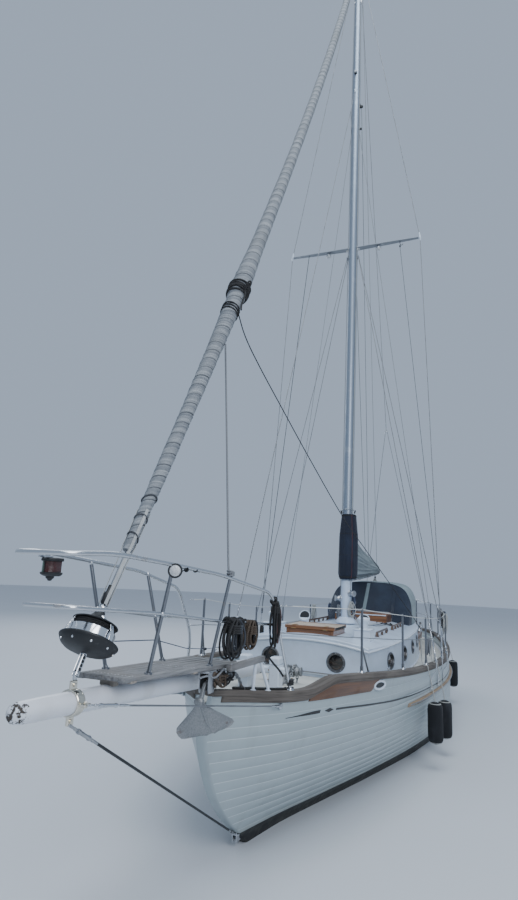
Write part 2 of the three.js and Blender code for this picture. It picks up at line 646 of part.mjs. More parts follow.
// Pulpit at the bow
const PIPE = 13
const topRail = (side) => [V(7200, 0, 2310), V(7150, side * 180, 2310), V(6900, side * 255, 2325),
  V(6400, side * 300, 2290), V(5750, side * 335, 2240), V(4960, side * 430, 2110), V(4680, side * 430, 1700)]
const capLine = COLUMNS.map((u) => railPoint(u, bulwarkH(u)))
const capTop = (x) => {
  const i = Math.max(0, capLine.findIndex((p) => p.x <= x) - 1)
  const p = capLine[i].clone().lerp(capLine[i + 1], (x - capLine[i].x) / (capLine[i + 1].x - capLine[i].x))
  return V(x, p.y + CAP_OUT - CAP_W / 2, p.z + CAP_T + GAP)
}
function pulpit() {
  const foot = capTop(4600)
  const half = (side) => [...topRail(side), V(foot.x, side * foot.y, foot.z + 1)]
  const loop = [...half(1).reverse(), ...half(-1).slice(1)]
  const parts = [bar(rounded(loop, 120, 2), PIPE, 6)]
  // Legs: x on the platform, then the top's x, half-width and height
  const legs = [[6300, 6360, 303, 2287], [5550, 5610, 345, 2226]]
  const leg = (side, [x, tx, ty, tz], t) =>
    V(x, side * (platHalf(x) - 26), platTop(x) + 1).lerp(V(tx, side * ty, tz), t)
  const mid = (side) => [V(7110, 0, 2055), V(7060, side * 170, 2050), leg(side, legs[0], 0.55),
    leg(side, legs[1], 0.5), V(4960, side * 430, 2110).lerp(V(4680, side * 430, 1700), 0.62)]
  parts.push(bar([...mid(1).reverse(), ...mid(-1).slice(1)], PIPE - 2, 6))
  for (const side of [1, -1]) {
    for (const one of legs) {
      const [x] = one
      const y = platHalf(x) - 26
      parts.push(bar([leg(side, one, 1), leg(side, one, 0)], PIPE - 1, 6))
      parts.push(rod(V(x, side * y, platTop(x) + GAP), V(x, side * y, platTop(x) + 12), 30, 30, 8))
    }
    const f = side > 0 ? foot : V(foot.x, -foot.y, foot.z)
    parts.push(rod(V(f.x, f.y, f.z - 12), V(f.x, f.y, f.z + 12), 34, 34, 8))
  }
  return seat(seat(join(...parts), caps), platformBody)
}
add('bow_pulpit', pulpit(), STEEL)

// Stern rail
function sternRail() {
  const top = 600
  const at = (x, side, h) => {
    const p = capTop(x)
    return V(p.x, side * (p.y - 16), p.z + h)
  }
  const xs = [-3700, -4300, -4800]
  const parts = []
  for (const h of [top, top * 0.52]) {
    const half = (side) => xs.map((x) => at(x, side, h))
    const back = h === top ? [V(-5230, 170, 1150 + 200 + h), V(-5230, -170, 1150 + 200 + h)] : null
    if (back) parts.push(bar(rounded([...half(1), ...back, ...half(-1).reverse()], 140, 2), PIPE, 6))
    else for (const side of [1, -1]) parts.push(bar(half(side), PIPE - 2, 6))
  }
  for (const side of [1, -1]) {
    for (const x of xs) {
      parts.push(bar([at(x, side, 1), at(x, side, top)], PIPE - 1, 6))
      parts.push(rod(at(x, side, -8), at(x, side, 12), 32, 32, 8))
    }
  }
  return seat(join(...parts), caps)
}
add('stern_rail', sternRail(), STEEL)

// Stanchions with their lifelines
const STANCHIONS = [3550, 2350, 1050, -450, -2000]
pair('lifelines', (side) => {
  const parts = []
  const feet = STANCHIONS.map((x) => capTop(x))
  for (const p of feet) {
    const f = V(p.x, side * (p.y - 18), p.z)
    parts.push(rod(V(f.x, f.y, f.z - 8), V(f.x, f.y, f.z + 10), 32, 32, 8))
    parts.push(bar([V(f.x, f.y, f.z + 2), V(f.x, f.y, f.z + 612)], 12.5, 6))
  }
  const f = feet[0]
  parts.push(bar([V(f.x - 8, side * (f.y - 18), f.z + 240), V(f.x - 150, side * (capTop(f.x - 150).y - 18), capTop(f.x - 150).z + 2)], 9, 6))
  for (const h of [600, 330]) {
    const start = V(4760, side * 405, h === 600 ? 2010 : 1790)
    const end = capTop(-3690)
    parts.push(bar([start, ...feet.map((p) => V(p.x, side * (p.y - 18), p.z + h)), V(-3640, side * (end.y - 20), end.z + h * 0.97)], 4, 5))
  }
  return seat(join(...parts), caps)
}, STEEL)

// Mast with its spreaders, lights and masthead
const mastAt = (z) => V(MAST_X - (z - MAST_FOOT_Z) * MAST_RAKE, 0, z)
function ovalRing(c, rx, ry, n) {
  return [...Array(n)].map((_, k) => {
    const t = (2 * Math.PI * (k + 0.5)) / n
    return V(c.x + rx * Math.cos(t), c.y + ry * Math.sin(t), c.z)
  })
}
const mastSize = [[1600, 105, 80], [6000, 105, 80], [11000, 100, 76], [14300, 78, 60], [MAST_TOP_Z - 60, 70, 55]]
const mastBody = loft(mastSize.map(([z, rx, ry]) => ovalRing(mastAt(z), rx, ry, 16)))
const masthead = mastAt(MAST_TOP_Z - 80)
const headPlate = box(masthead.x - 190, masthead.x + 170, -60, 60, MAST_TOP_Z - 60 + GAP, MAST_TOP_Z)
const tang = (z, reach) => {
  const c = mastAt(z)
  return box(c.x - 16, c.x + 16, -reach, reach, z - 55, z + 25)
}
const lampZ = 11870
const steamingLamp = rod(V(mastAt(lampZ).x + 60, 0, lampZ), V(mastAt(lampZ).x + 150, 0, lampZ), 30, 30, 10)
const wedge = rod(V(MAST_X, 0, 1598 + GAP), V(MAST_X, 0, 1690), 150, 118, 16)
const GOOSE = V(mastAt(2290).x - 175, 0, 2290)
const hinge = join(
  box(GOOSE.x - 20, mastAt(2290).x - 80, -22, 22, 2246, 2268),
  box(GOOSE.x - 20, mastAt(2290).x - 80, -22, 22, 2312, 2334),
  rod(V(GOOSE.x, 0, 2246), V(GOOSE.x, 0, 2334), 9, 9, 12),
  box(mastAt(2290).x - 124, mastAt(2290).x - 80, -34, 34, 2216, 2364))
const mastTube = join(mastBody, tang(7900, 96), steamingLamp, wedge)
add('mast', mastTube, ALLOY)
add('masthead', headPlate, ALLOY)
add('gooseneck', hinge.subtract(solid(mastBody).translate(-GAP, 0, 0)), STEEL)
// Canvas collar: height, half-length and half-width, its fold making it wider to port
const collarRings = [[2250, 132, 122], [2330, 150, 150], [2900, 150, 150], [3230, 128, 118], [3260, 118, 106]]
const FOLD = V(0, 18, 0)
const collarHole = loft([[2100, 106.5, 81.5], [3500, 105.8, 80.8]].map(([z, a, b]) => ovalRing(mastAt(z), a, b, 16)))
const collarSlot = box(mastAt(2300).x - 260, mastAt(2300).x - 60, -190, 190, 2100, 3400)
add('mast_collar', solid(loft(collarRings.map(([z, a, b]) => ovalRing(mastAt(z).add(FOLD), a, b, 14)))).subtract(solid(collarHole))
  .subtract(solid(collarSlot)), NAVY)
pair('spreader', (side) => {
  const root = mastAt(SPREADER_Z)
  const g = strip([[84, 60, 16], [700, 46, 13], [SPREADER_HALF, 30, 10]].map(([y, w, t]) => {
    const z = SPREADER_Z + (y - 84) * 0.035
    const x = root.x - (y - 84) * 0.03
    return [V(x + w, y, z), V(x, y, z + t), V(x - w, y, z), V(x, y, z - t)]
  }))
  return sided(g, side)
}, ALLOY)

// Standing rigging: chainplates stand outside the bulwark
const PLATE_Z = 1230
const chain = (x, side, off) => {
  const p = railPoint(shareAtX(x, 150), 190)
  return V(x, side * (p.y + CAP_OUT + 46 + off), PLATE_Z)
}
// A chainplate: up the hull's side, then round the cap rail's edge to the wire
function plate(x, side, out = chain(x, 1, 0).y, top = PLATE_Z + 40) {
  const u = shareAtX(x, 60)
  const near = Math.max(hullPoint(u, 0.35).y, railPoint(u, 60).y) + 9
  const z = deckZ(u)
  const g = strip([[z - 140, near], [z + 25, near], [capTop(x).z - CAP_T - 25, out], [top, out]].map(([h, y]) =>
    [V(x - 20, y - 5, h), V(x + 20, y - 5, h), V(x + 20, y + 5, h), V(x - 20, y + 5, h)]))
  return sided(g, side)
}
pair('cap_shroud', (side) => {
  const a = chain(MAST_X, side, 0)
  const tip = V(mastAt(SPREADER_Z).x - 35, side * (SPREADER_HALF + 9), SPREADER_Z + 38)
  const top = V(mastAt(MAST_TOP_Z - 210).x, side * 74, MAST_TOP_Z - 210)
  const d = tip.clone().sub(a).normalize()
  const at = (k) => a.clone().addScaledVector(d, k)
  const wire = bar([at(-60), at(20), at(24), at(330), at(334), tip, top], [10, 10, 14, 14, 6, 6, 6], 6)
  return join(wire, plate(MAST_X, side))
}, STEEL)
// Lower shrouds, fore and aft on each side, meeting at a plate beside the mast
pair('lower_shrouds', (side) => {
  const root = V(mastAt(7850).x, side * 104, 7850)
  const parts = [box(root.x - 40, root.x + 40, root.y - 5, root.y + 5, 7835, 7890)]
  for (const dx of [520, -520]) {
    const a = chain(MAST_X + dx, side, 0)
    const top = V(root.x + Math.sign(dx) * 30, root.y, 7850)
    const d = top.clone().sub(a).normalize()
    const at = (k) => a.clone().addScaledVector(d, k)
    parts.push(bar([at(-60), at(20), at(24), at(330), at(334), top], [10, 10, 14, 14, 6, 6], 6))
    parts.push(plate(MAST_X + dx, side))
  }
  return join(...parts)
}, STEEL)
function backstay() {
  const top = V(masthead.x - 184, 0, MAST_TOP_Z - 90)
  const fork = V(-3350, 0, 5600)
  const legs = [1, -1].map((side) => {
    const u = shareAtX(-4560, 150)
    const p = railPoint(u, 190)
    const a = V(-4560, side * (p.y + CAP_OUT + 26), 1330)
    const d = fork.clone().sub(a).normalize()
    const at = (k) => a.clone().addScaledVector(d, k)
    return bar([at(-120), at(20), at(24), at(300), at(304), V(fork.x, side * 14, fork.z)], [10, 10, 14, 14, 6, 6], 6)
  })
  const plates = [1, -1].map((side) => plate(-4560, side, railPoint(shareAtX(-4560, 150), 190).y + CAP_OUT + 26, 1330))
  return join(bar([top, V(fork.x, 0, fork.z)], 6, 6), ball(fork, 40, 40, 40, 8, 6), ...legs, ...plates)
}
add('backstay', backstay(), STEEL)

// Furled headsail on its stay, with the drum and the link to the cranse band
const STAY_LOW = V(CRANSE_X - 4, 0, cranse.z + 128)
const STAY_HIGH = V(masthead.x + 160, 0, MAST_TOP_Z - 140)
const stayDir = STAY_HIGH.clone().sub(STAY_LOW).normalize()
const stayAt = (z) => STAY_LOW.clone().addScaledVector(stayDir, (z - STAY_LOW.z) / stayDir.z)
// Height and radius of the rolled sail
const ROLL = [[2045, 22], [2300, 26], [2400, 36], [2900, 50], [3500, 56], [4200, 68], [4650, 78], [4800, 92], [5000, 88],
  [5600, 74], [7400, 64], [9500, 63], [11500, 62], [12900, 60], [13800, 36], [13850, 9], [STAY_HIGH.z, 9]]
// The stay sags aft under the weight of the rolled sail
const SAG = 250
const sagAt = (z) => {
  const t = (z - ROLL[0][0]) / (STAY_HIGH.z - ROLL[0][0])
  return stayAt(z).add(V(-4 * SAG * t * (1 - t), 0, 0))
}
add('furled_headsail', bar(ROLL.map(([z]) => sagAt(z)), ROLL.map(([, r]) => r), 12), SAIL)
const drumC = stayAt(1890)
function drum() {
  const a = (k) => drumC.clone().addScaledVector(stayDir, k)
  return bar([a(-115), a(-105), a(-60), a(20), a(60), a(66), a(120), a(135)], [40, 95, 150, 168, 168, 80, 30, 24], 20)
}
const link = bar([STAY_LOW.clone().addScaledVector(stayDir, 1), stayAt(1800)], 20, 8)
add('furler_drum', join(drum(), link), BLACK)

// Boom with its fittings and the covered mainsail
const BOOM_LEN = 4080
const boomDir = V(-Math.cos(BOOM_SIDE), -Math.sin(BOOM_SIDE), 0.042).normalize()
const boomAt = (k, up = 0) => GOOSE.clone().addScaledVector(boomDir, k).add(V(0, 0, up))
const boomTube = bar([boomAt(70), boomAt(90), boomAt(BOOM_LEN)], [40, 62, 62], 12)
const boomEye = join(boomTube, bar([boomAt(-16), boomAt(90)], 17, 8), rod(V(GOOSE.x, 0, 2270), V(GOOSE.x, 0, 2310), 24, 24, 12))
  .subtract(solid(rod(V(GOOSE.x, 0, 2200), V(GOOSE.x, 0, 2400), 9.4, 9.4, 12)))
add('boom', boomEye, WHITE)
// Cover: distance along the boom, height above it, half-width
const COVER = [[60, 690, 60], [130, 700, 105], [500, 610, 135], [1200, 480, 150], [2100, 370, 145], [3000, 270, 120],
  [3700, 190, 95], [3960, 150, 80]]
function cover() {
  const rings = COVER.map(([k, h, w]) => {
    const c = boomAt(k, -68)
    const across = V(Math.sin(BOOM_SIDE), -Math.cos(BOOM_SIDE), 0)
    const shape = [[0.2, 0], [0.75, 0.1], [1, 0.3], [0.82, 0.62], [0.4, 0.9], [0.1, 1], [-0.1, 1], [-0.4, 0.9],
      [-0.82, 0.62], [-1, 0.3], [-0.75, 0.1], [-0.2, 0]]
    return shape.map(([a, b]) => c.clone().addScaledVector(across, a * w).add(V(0, 0, b * (h + 68))))
  })
  return solid(loft(rings)).subtract(solid(bar([boomAt(-100), boomAt(BOOM_LEN + 100)], 63, 12)))
    .subtract(solid(rod(V(GOOSE.x, 0, 2100), V(GOOSE.x, 0, 3400), 62, 62, 12)))
}
add('sail_cover', cover(), 0x5c7077)

// Dodger over the companionway: hoops and canvas
const DODGER_HALF = 745
const HEM_Z = 1524
const hoop = (x0, x1, top, k = 1) => {
  const w = DODGER_HALF * k
  return [V(x0, w, 1500), V(mix(x0, x1, 0.6), w, 1500 + (top - 1500) * 0.55), V(mix(x0, x1, 0.9), w * 0.86, top - 80),
    V(x1, w * 0.5, top - 16), V(x1, 0, top), V(x1, -w * 0.5, top - 16), V(mix(x0, x1, 0.9), -w * 0.86, top - 80),
    V(mix(x0, x1, 0.6), -w, 1500 + (top - 1500) * 0.55), V(x0, -w, 1500)]
}
function canvas() {
  const front = hoop(-1130, -1130, 1500, 0.98).map((p) => V(-1130 - 60 * Math.abs(p.y / 740), p.y, roofZ(-1130, p.y) + 22))
  const mid = hoop(-1380, -1620, 2215)
  const aft = hoop(-2060, -2330, 2235)
  for (const k of [0, 8]) {
    mid[k].x = -1480
    mid[k].z = HEM_Z
    aft[k].z = HEM_Z
  }
  const outer = [front, mid, aft]
  const inner = outer.map((ring) => ring.map((p) => V(p.x, p.y * 0.985, p.z - 11)))
  inner[0].forEach((p, i) => { p.x = front[i].x - 11; p.z = front[i].z })
  return solid(wall(outer, inner))
    .subtract(solid(box(-1330, -600, -446, 446, 1400, RUNNER_Z + 98)))
    .subtract(solid(box(-2000, -1200, -392, 392, 1400, RUNNER_Z + 46)))
}
add('dodger', canvas(), NAVY)
const frameHoop = hoop(-2060, -2330, 2235).slice(1, 8).map((p) => V(p.x + 45, p.y * 0.955, p.z - 32))
add('dodger_frame', bar(rounded([V(-2035, 765, COAM.top + 9), V(-2030, 712, 1450), ...frameHoop,
  V(-2030, -712, 1450), V(-2035, -765, COAM.top + 9)], 90, 1), 11, 6), STEEL)

// Plough anchor over its roller, on the platform's port side
const ROLLER = V(5640, 225, 1470)
function ploughWing(corners, back) {
  const points = corners.flatMap((p) => [p, p.clone().add(back)])
  return wasm.Manifold.hull(points.map((p) => [p.x, p.y, p.z]))
}
function anchor() {
  const crown = V(5740, ROLLER.y, 1400)
  const tip = V(5660, 290, 1195)
  const back = V(-15, -11, 5)
  const starboardWing = ploughWing([crown, tip, V(5752, 112, 1152), V(5775, 72, 1212)], back)
  const portWing = ploughWing([crown, tip, V(5535, 372, 1222), V(5500, 388, 1262)], back)
  const shank = [crown, V(5712, ROLLER.y, 1462), V(5672, ROLLER.y, 1512), V(ROLLER.x, ROLLER.y, 1521),
    V(5500, ROLLER.y, 1530), V(5150, 210, 1522)]
  return join(bar(shank, 20, 8), rod(crown.clone().add(V(0, -30, 0)), crown.clone().add(V(0, 30, 0)), 27, 27, 10),
    bar([crown, tip.clone().add(V(0, 0, 6))], 11, 6)).add(starboardWing).add(portWing)
}
add('anchor', anchor(), GALV)
const rollerSide = (y) => box(ROLLER.x - 50, ROLLER.x + 50, y - 4, y + 4, ROLLER.z - 30, 1572)
add('anchor_roller', join(
  rollerSide(ROLLER.y - 34),
  rollerSide(ROLLER.y + 34),
  rod(V(ROLLER.x, ROLLER.y - 38, ROLLER.z), V(ROLLER.x, ROLLER.y + 38, ROLLER.z), 24, 24, 10),
  box(ROLLER.x - 50, ROLLER.x + 50, 110, ROLLER.y + 38, 1568, 1581)), STEEL)

// Lamps and windlass
add('bow_lamp', join(box(7060, 7180, -55, 55, 2195, 2290)).subtract(solid(bar(rounded([V(6900, 255, 2325), V(7150, 180, 2310),
  V(7200, 0, 2310), V(7150, -180, 2310), V(6900, -255, 2325)], 120, 2), PIPE + 1, 6))), 0x5a1516)
add('windlass', join(
  box(3300, 3560, -120, 120, bittDeck(3430) + 8, bittDeck(3430) + 150),
  rod(V(3430, -230, bittDeck(3430) + 120), V(3430, 230, bittDeck(3430) + 120), 62, 62, 12)), GALV)

// Fenders: x, top height
const FENDERS = [[1400, 790], [690, 700], [-3000, 800]]
const FENDER_R = 95
const FENDER_LONG = 485
FENDERS.forEach(([x, top], i) => {
  const u = shareAtX(x)
  const y = Math.max(hullPoint(u, 0.5).y, railPoint(u, 0).y) + 38 + FENDER_R
  const low = top - FENDER_LONG
  const body = bar([V(x, y, low), V(x, y, low + 8), V(x, y, low + 45), V(x, y, top - 55), V(x, y, top - 10), V(x, y, top)],
    [0.42, 0.68, 0.98, 0.98, 0.66, 0.34].map((k) => k * FENDER_R), 14)
  const rail = capTop(x)
  const line = bar([V(x, y, top - 10), V(x, rail.y + CAP_W / 2 + 22, rail.z - 20), V(x, rail.y + CAP_W / 2 + 18, rail.z + 30),
    V(x, rail.y + 20, rail.z + 16)], 6, 6)
  add(`fender_${i + 1}`, join(body, line), BLACK)
})

// Rudder with its pintles and tiller, turning about the sternpost's line
function rudder() {
  const q = new THREE.Quaternion().setFromUnitVectors(V(0, 0, 1), POST_DIR)
  const along = (z) => (z - KEEL_Z) / POST_DIR.z
  // height above the keel along the post, depth of blade aft of the axis, half thickness
  const blade = [[20, 560, 22], [200, 690, 26], [700, 700, 30], [1200, 560, 34], [1700, 400, 36], [2300, 310, 38],
    [3000, 260, 42], [3330, 230, 46]]
  const rings = blade.map(([h, back, t]) => {
    const n = 8
    const nose = [...Array(n + 1)].map((_, k) => {
      const a = -Math.PI / 2 + (Math.PI * k) / n
      return V(35 * Math.cos(a), Math.min(t, 35) * Math.sin(a), h)
    })
    return [...nose, V(-back * 0.4, t, h), V(-back, 9, h), V(-back, -9, h), V(-back * 0.4, -t, h)]
  })
  const g = loft(rings)
  const base = rudderAxis(KEEL_Z)
  let body = solid(g)
  for (const z of GUDGEONS) {
    const h = along(z)
    body = body.subtract(solid(box(-44, 60, -60, 60, h - 42, h + 42)))
    body = body.add(solid(rod(V(0, 0, h - 46), V(0, 0, h + 46), 12, 12, 16)))
  }
  const m = new THREE.Matrix4().compose(base, q, V(1, 1, 1))
  const shape = back(body)
  shape.applyMatrix4(m)
  return shape
}
const headAt = (k, x) => rudderAxis(KEEL_Z).addScaledVector(POST_DIR, k).add(V(x, 0, 0))
add('rudder', rudder(), BLACK)
const cheek = (side) => box(-5560, -5180, side * 47.5 - (side < 0 ? 12 : 0), side * 47.5 + (side > 0 ? 12 : 0), 1395, 1465)
add('tiller', join(
  bar([V(-5185, 0, 1428), V(-4900, 0, 1440), V(-4450, 0, 1500), V(-4000, 0, 1580), V(-3780, 0, 1590)], [34, 34, 27, 22, 24], 10),
  cheek(1), cheek(-1),
  box(-5200, -5150, -59.5, 59.5, 1395, 1465)), VARNISH)

// Propeller and shaft
function propeller() {
  const x = -4150
  const parts = [rod(V(-4215, 0, SHAFT_Z), V(-4090, 0, SHAFT_Z), 26, 36, 14), rod(V(-4100, 0, SHAFT_Z), V(-3720, 0, SHAFT_Z), 16, 16, 24)]
  for (let i = 0; i < 3; i++) {
    const blade = ball(V(0, 0, 0), 9, 62, 92, 10, 8)
    blade.rotateZ(THREE.MathUtils.degToRad(32))
    blade.translate(0, 0, 118)
    blade.rotateX((2 * Math.PI * i) / 3 + 0.5)
    blade.translate(x, 0, SHAFT_Z)
    parts.push(blade)
  }
  return join(...parts)
}
add('propeller', propeller(), 0xa8834a)

export default group
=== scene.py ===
import math

import bmesh
import bpy
import numpy as np
from mathutils import Matrix, Vector


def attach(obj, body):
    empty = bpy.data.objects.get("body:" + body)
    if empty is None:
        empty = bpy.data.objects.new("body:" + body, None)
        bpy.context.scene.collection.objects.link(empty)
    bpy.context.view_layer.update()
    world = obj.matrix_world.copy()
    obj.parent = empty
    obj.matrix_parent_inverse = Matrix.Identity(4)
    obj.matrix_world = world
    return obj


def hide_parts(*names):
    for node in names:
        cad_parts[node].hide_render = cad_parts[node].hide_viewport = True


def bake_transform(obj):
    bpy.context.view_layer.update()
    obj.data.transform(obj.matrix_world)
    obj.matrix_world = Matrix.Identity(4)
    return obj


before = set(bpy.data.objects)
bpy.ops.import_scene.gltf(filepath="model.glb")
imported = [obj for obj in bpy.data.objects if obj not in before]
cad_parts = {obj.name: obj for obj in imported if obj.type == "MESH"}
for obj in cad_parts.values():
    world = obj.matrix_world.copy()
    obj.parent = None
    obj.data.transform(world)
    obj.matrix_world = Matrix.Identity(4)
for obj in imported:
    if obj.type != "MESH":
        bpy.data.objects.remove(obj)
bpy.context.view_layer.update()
PORT, STARBOARD = 1, -1
SIDES = {"port": PORT, "starboard": STARBOARD}


# The photograph's camera
def place_camera():
    heading = math.pi + math.radians(22.0)
    pitch = math.radians(12.3)
    roll = math.radians(2.74)
    level = Vector((math.cos(heading), math.sin(heading), 0))
    up = Vector((0, 0, 1))
    right = level.cross(up)
    look = level * math.cos(pitch) + up * math.sin(pitch)
    over = up * math.cos(pitch) - level * math.sin(pitch)
    across = right * math.cos(roll) + over * math.sin(roll)
    over = over * math.cos(roll) - right * math.sin(roll)
    data = bpy.data.cameras.new("camera")
    data.sensor_fit = "AUTO"
    data.sensor_width = 36
    data.lens = 22.93
    data.clip_end = 300
    camera = bpy.data.objects.new("camera", data)
    bpy.context.scene.collection.objects.link(camera)
    turn = Matrix((across, over, -look)).transposed()
    camera.matrix_world = Matrix.Translation((9.45, 2.07, 2.25)) @ turn.to_4x4()
    bpy.context.scene.camera = camera


place_camera()


# Arithmetic on what changes over a surface
class Field:
    def __init__(self, finish, socket):
        self.finish = finish
        self.socket = socket

    def maths(self, operation, *others):
        sockets = dict(enumerate((self, *others)))
        return self.finish.node("ShaderNodeMath", {"operation": operation}, sockets)[0]

    def __add__(self, other):
        return self.maths("ADD", other)

    def __mul__(self, other):
        return self.maths("MULTIPLY", other)

    def __sub__(self, other):
        return self.maths("SUBTRACT", other)

    def __truediv__(self, other):
        return self.maths("DIVIDE", other)

    def __neg__(self):
        return self * -1

    def __rsub__(self, other):
        return -self + other

    def __rtruediv__(self, other):
        return self.maths("POWER", -1) * other

    __radd__ = __add__
    __rmul__ = __mul__


# The outputs of one node
class Outputs:
    def __init__(self, owner, made):
        self.owner = owner
        self.made = made

    def __getitem__(self, key):
        return Field(self.owner, self.made.outputs[key])


# A tree of nodes, of a finish or of a row of small things
class Nodes:
    def __init__(self, tree):
        self.tree = tree

    # Any node: its type, its settings, then the values or links of its sockets
    def node(self, kind, settings, sockets):
        made = self.tree.nodes.new(kind)
        for key, value in settings.items():
            if key == "stops":
                ramp = made.color_ramp
                while len(ramp.elements) < len(value):
                    ramp.elements.new(0.5)
                for element, (place, colour) in zip(ramp.elements, value):
                    element.position = place
                    element.color = (*colour, 1)
            else:
                setattr(made, key, value)
        for key, value in sockets.items():
            if isinstance(value, Field):
                self.tree.links.new(value.socket, made.inputs[key])
            elif isinstance(value, tuple) and len(value) == 3 and made.inputs[key].type == "RGBA":
                made.inputs[key].default_value = (*value, 1)
            else:
                made.inputs[key].default_value = value
        return Outputs(self, made)


# One paint, wood, metal or cloth, made of nodes
class Finish(Nodes):
    def __init__(self, name):
        self.material = bpy.data.materials.new(name)
        self.material.use_nodes = True
        super().__init__(self.material.node_tree)
        self.tree.nodes.clear()
        self.object_place = self.node("ShaderNodeTexCoord", {}, {})["Object"]
        self.sheet_place = self.node("ShaderNodeTexCoord", {}, {})["UV"]

    def parts(self, place):
        split = self.node("ShaderNodeSeparateXYZ", {}, {0: place})
        return split[0], split[1], split[2]

    def scaled(self, place, scale):
        return self.node("ShaderNodeMapping", {}, {"Vector": place, "Scale": scale})[0]

    def noise(self, place, scale, detail=3.0, rough=0.55):
        sockets = {"Vector": place, "Scale": scale, "Detail": detail, "Roughness": rough}
        return self.node("ShaderNodeTexNoise", {}, sockets)[0]

    def cells(self, place, scale, feature="F1"):
        sockets = {"Vector": place, "Scale": scale}
        return self.node("ShaderNodeTexVoronoi", {"feature": feature}, sockets)

    # 0 below low, 1 above high
    def rise(self, value, low, high):
        sockets = {"Value": value, "From Min": low, "From Max": high}
        return self.node("ShaderNodeMapRange", {"interpolation_type": "SMOOTHSTEP"}, sockets)[0]

    def blend(self, amount, first, second):
        sockets = {0: amount, 6: first, 7: second}
        return self.node("ShaderNodeMix", {"data_type": "RGBA"}, sockets)[2]

    def ramp(self, value, *stops):
        return self.node("ShaderNodeValToRGB", {"stops": stops}, {0: value})[0]

    # The surface itself; the constants go straight onto the shader's sockets
    def surface(self, colour, rough, height=None, depth=0.001, **constants):
        sockets = {"Base Color": colour, "Roughness": rough}
        for key, value in constants.items():
            sockets[key.replace("_", " ").title().replace("Ior", "IOR")] = value
        if height is not None:
            bump = self.node("ShaderNodeBump", {}, {"Strength": 1.0, "Distance": depth, "Height": height})[0]
            sockets["Normal"] = bump
        shader = self.node("ShaderNodeBsdfPrincipled", {}, sockets)[0]
        self.node("ShaderNodeOutputMaterial", {}, {"Surface": shader})
        return self.material


# Topsides and bottom: painted planks, streaks below the rail, black below the boot top. The white is kept a
# dull grey as painted shade, and each seam carries a pale line as a painted highlight
def hull_planks():
    f = Finish("hull planks")
    z = f.parts(f.object_place)[2]
    plank = f.parts(f.sheet_place)[1]
    seam = 1 - f.rise((plank.maths("FRACT") - 0.5).maths("ABSOLUTE") * -1 + 0.5, 0.014, 0.05)
    runs = f.noise(f.scaled(f.object_place, (7, 7, 0.5)), 1.0, 4)
    patches = f.noise(f.object_place, 1.7, 3)
    # The white topsides are given a dull blue-grey here: painted shade for sides that face down and away from
    # the sky
    white = f.blend(f.rise(runs, 0.5, 0.78) * 0.45, (0.36, 0.42, 0.44), (0.27, 0.30, 0.30))
    white = f.blend(f.rise(patches, 0.45, 0.75) * 0.3, white, (0.41, 0.47, 0.50))
    # A pale line along each seam: a painted highlight where light catches the groove's lower lip
    white = f.blend(seam * 0.75, white, (0.64, 0.70, 0.72))
    scum = (1 - f.rise(z + f.noise(f.object_place, 9) * 0.09, 0.17, 0.25)) * 0.55
    white = f.blend(scum, white, (0.26, 0.28, 0.25))
    below = 1 - f.rise(z, 0.127, 0.131)
    slime = f.blend(
        f.rise(f.noise(f.object_place, 14, 5), 0.4, 0.7), (0.006, 0.007, 0.008), (0.03, 0.032, 0.028)
    )
    colour = f.blend(below, white, slime)
    rough = 0.32 + patches * 0.1 + below * 0.35
    height = f.noise(f.object_place, 55, 2) * 0.1 + f.noise(f.scaled(f.object_place, (1, 3, 3)), 2.2, 2)
    return f.surface(colour, rough, height, 0.004, coat_weight=0.12, coat_roughness=0.12)


# Plain white paint on wood: faint brush marks, a little grime in the hollows
def white_paint(name, tint=(0.58, 0.67, 0.80), shade=(0.46, 0.52, 0.60), gloss=0.28):
    f = Finish(name)
    brush = f.noise(f.scaled(f.object_place, (3, 60, 60)), 1.0, 3)
    cloud = f.noise(f.object_place, 3.1, 4)
    speck = f.rise(f.noise(f.object_place, 70, 2), 0.66, 0.74)
    colour = f.blend(f.rise(cloud, 0.42, 0.75) * 0.6, tint, shade)
    colour = f.blend(speck * 0.35, colour, (0.36, 0.36, 0.35))
    height = brush * 0.3 + f.noise(f.object_place, 40, 2) * 0.4
    return f.surface(colour, gloss + cloud * 0.12, height, 0.0012, coat_weight=0.15, coat_roughness=0.1)


# Deck paint with grit in it; the v of the sheet is the distance from the edge
def deck_paint():
    f = Finish("gritty deck paint")
    inboard = f.parts(f.sheet_place)[1]
    panel = f.rise(inboard, 0.07, 0.074)
    grit = f.cells(f.object_place, 260)[0]
    worn = f.noise(f.object_place, 2.4, 4)
    cream = f.blend(f.rise(worn, 0.4, 0.7), (0.62, 0.61, 0.56), (0.50, 0.50, 0.47))
    colour = f.blend(panel, (0.70, 0.72, 0.75), cream)
    return f.surface(colour, 0.45 + panel * 0.3, grit * panel + worn * 0.2, 0.0012)


# Bare teak gone grey in the weather. The grain runs along the sheet's u or one axis of the object
def bare_teak(name, stretch=None, dark=(0.085, 0.072, 0.06), light=(0.30, 0.27, 0.235)):
    f = Finish(name)
    place = f.scaled(f.sheet_place, (2.2, 55, 1)) if stretch is None else f.scaled(f.object_place, stretch)
    grain = f.noise(place, 1.0, 6, 0.65)
    fine = f.noise(f.scaled(place, (3, 4, 4)), 1.4, 4, 0.7)
    cloud = f.noise(f.object_place, 1.9, 3)
    colour = f.ramp(
        grain * 0.7 + fine * 0.3, (0.3, dark), (0.52, light), (0.7, tuple(c * 1.35 for c in light))
    )
    colour = f.blend(f.rise(cloud, 0.45, 0.7) * 0.45, colour, (0.19, 0.165, 0.14))
    return f.surface(colour, 0.68 + fine * 0.2, grain + fine, 0.0016)


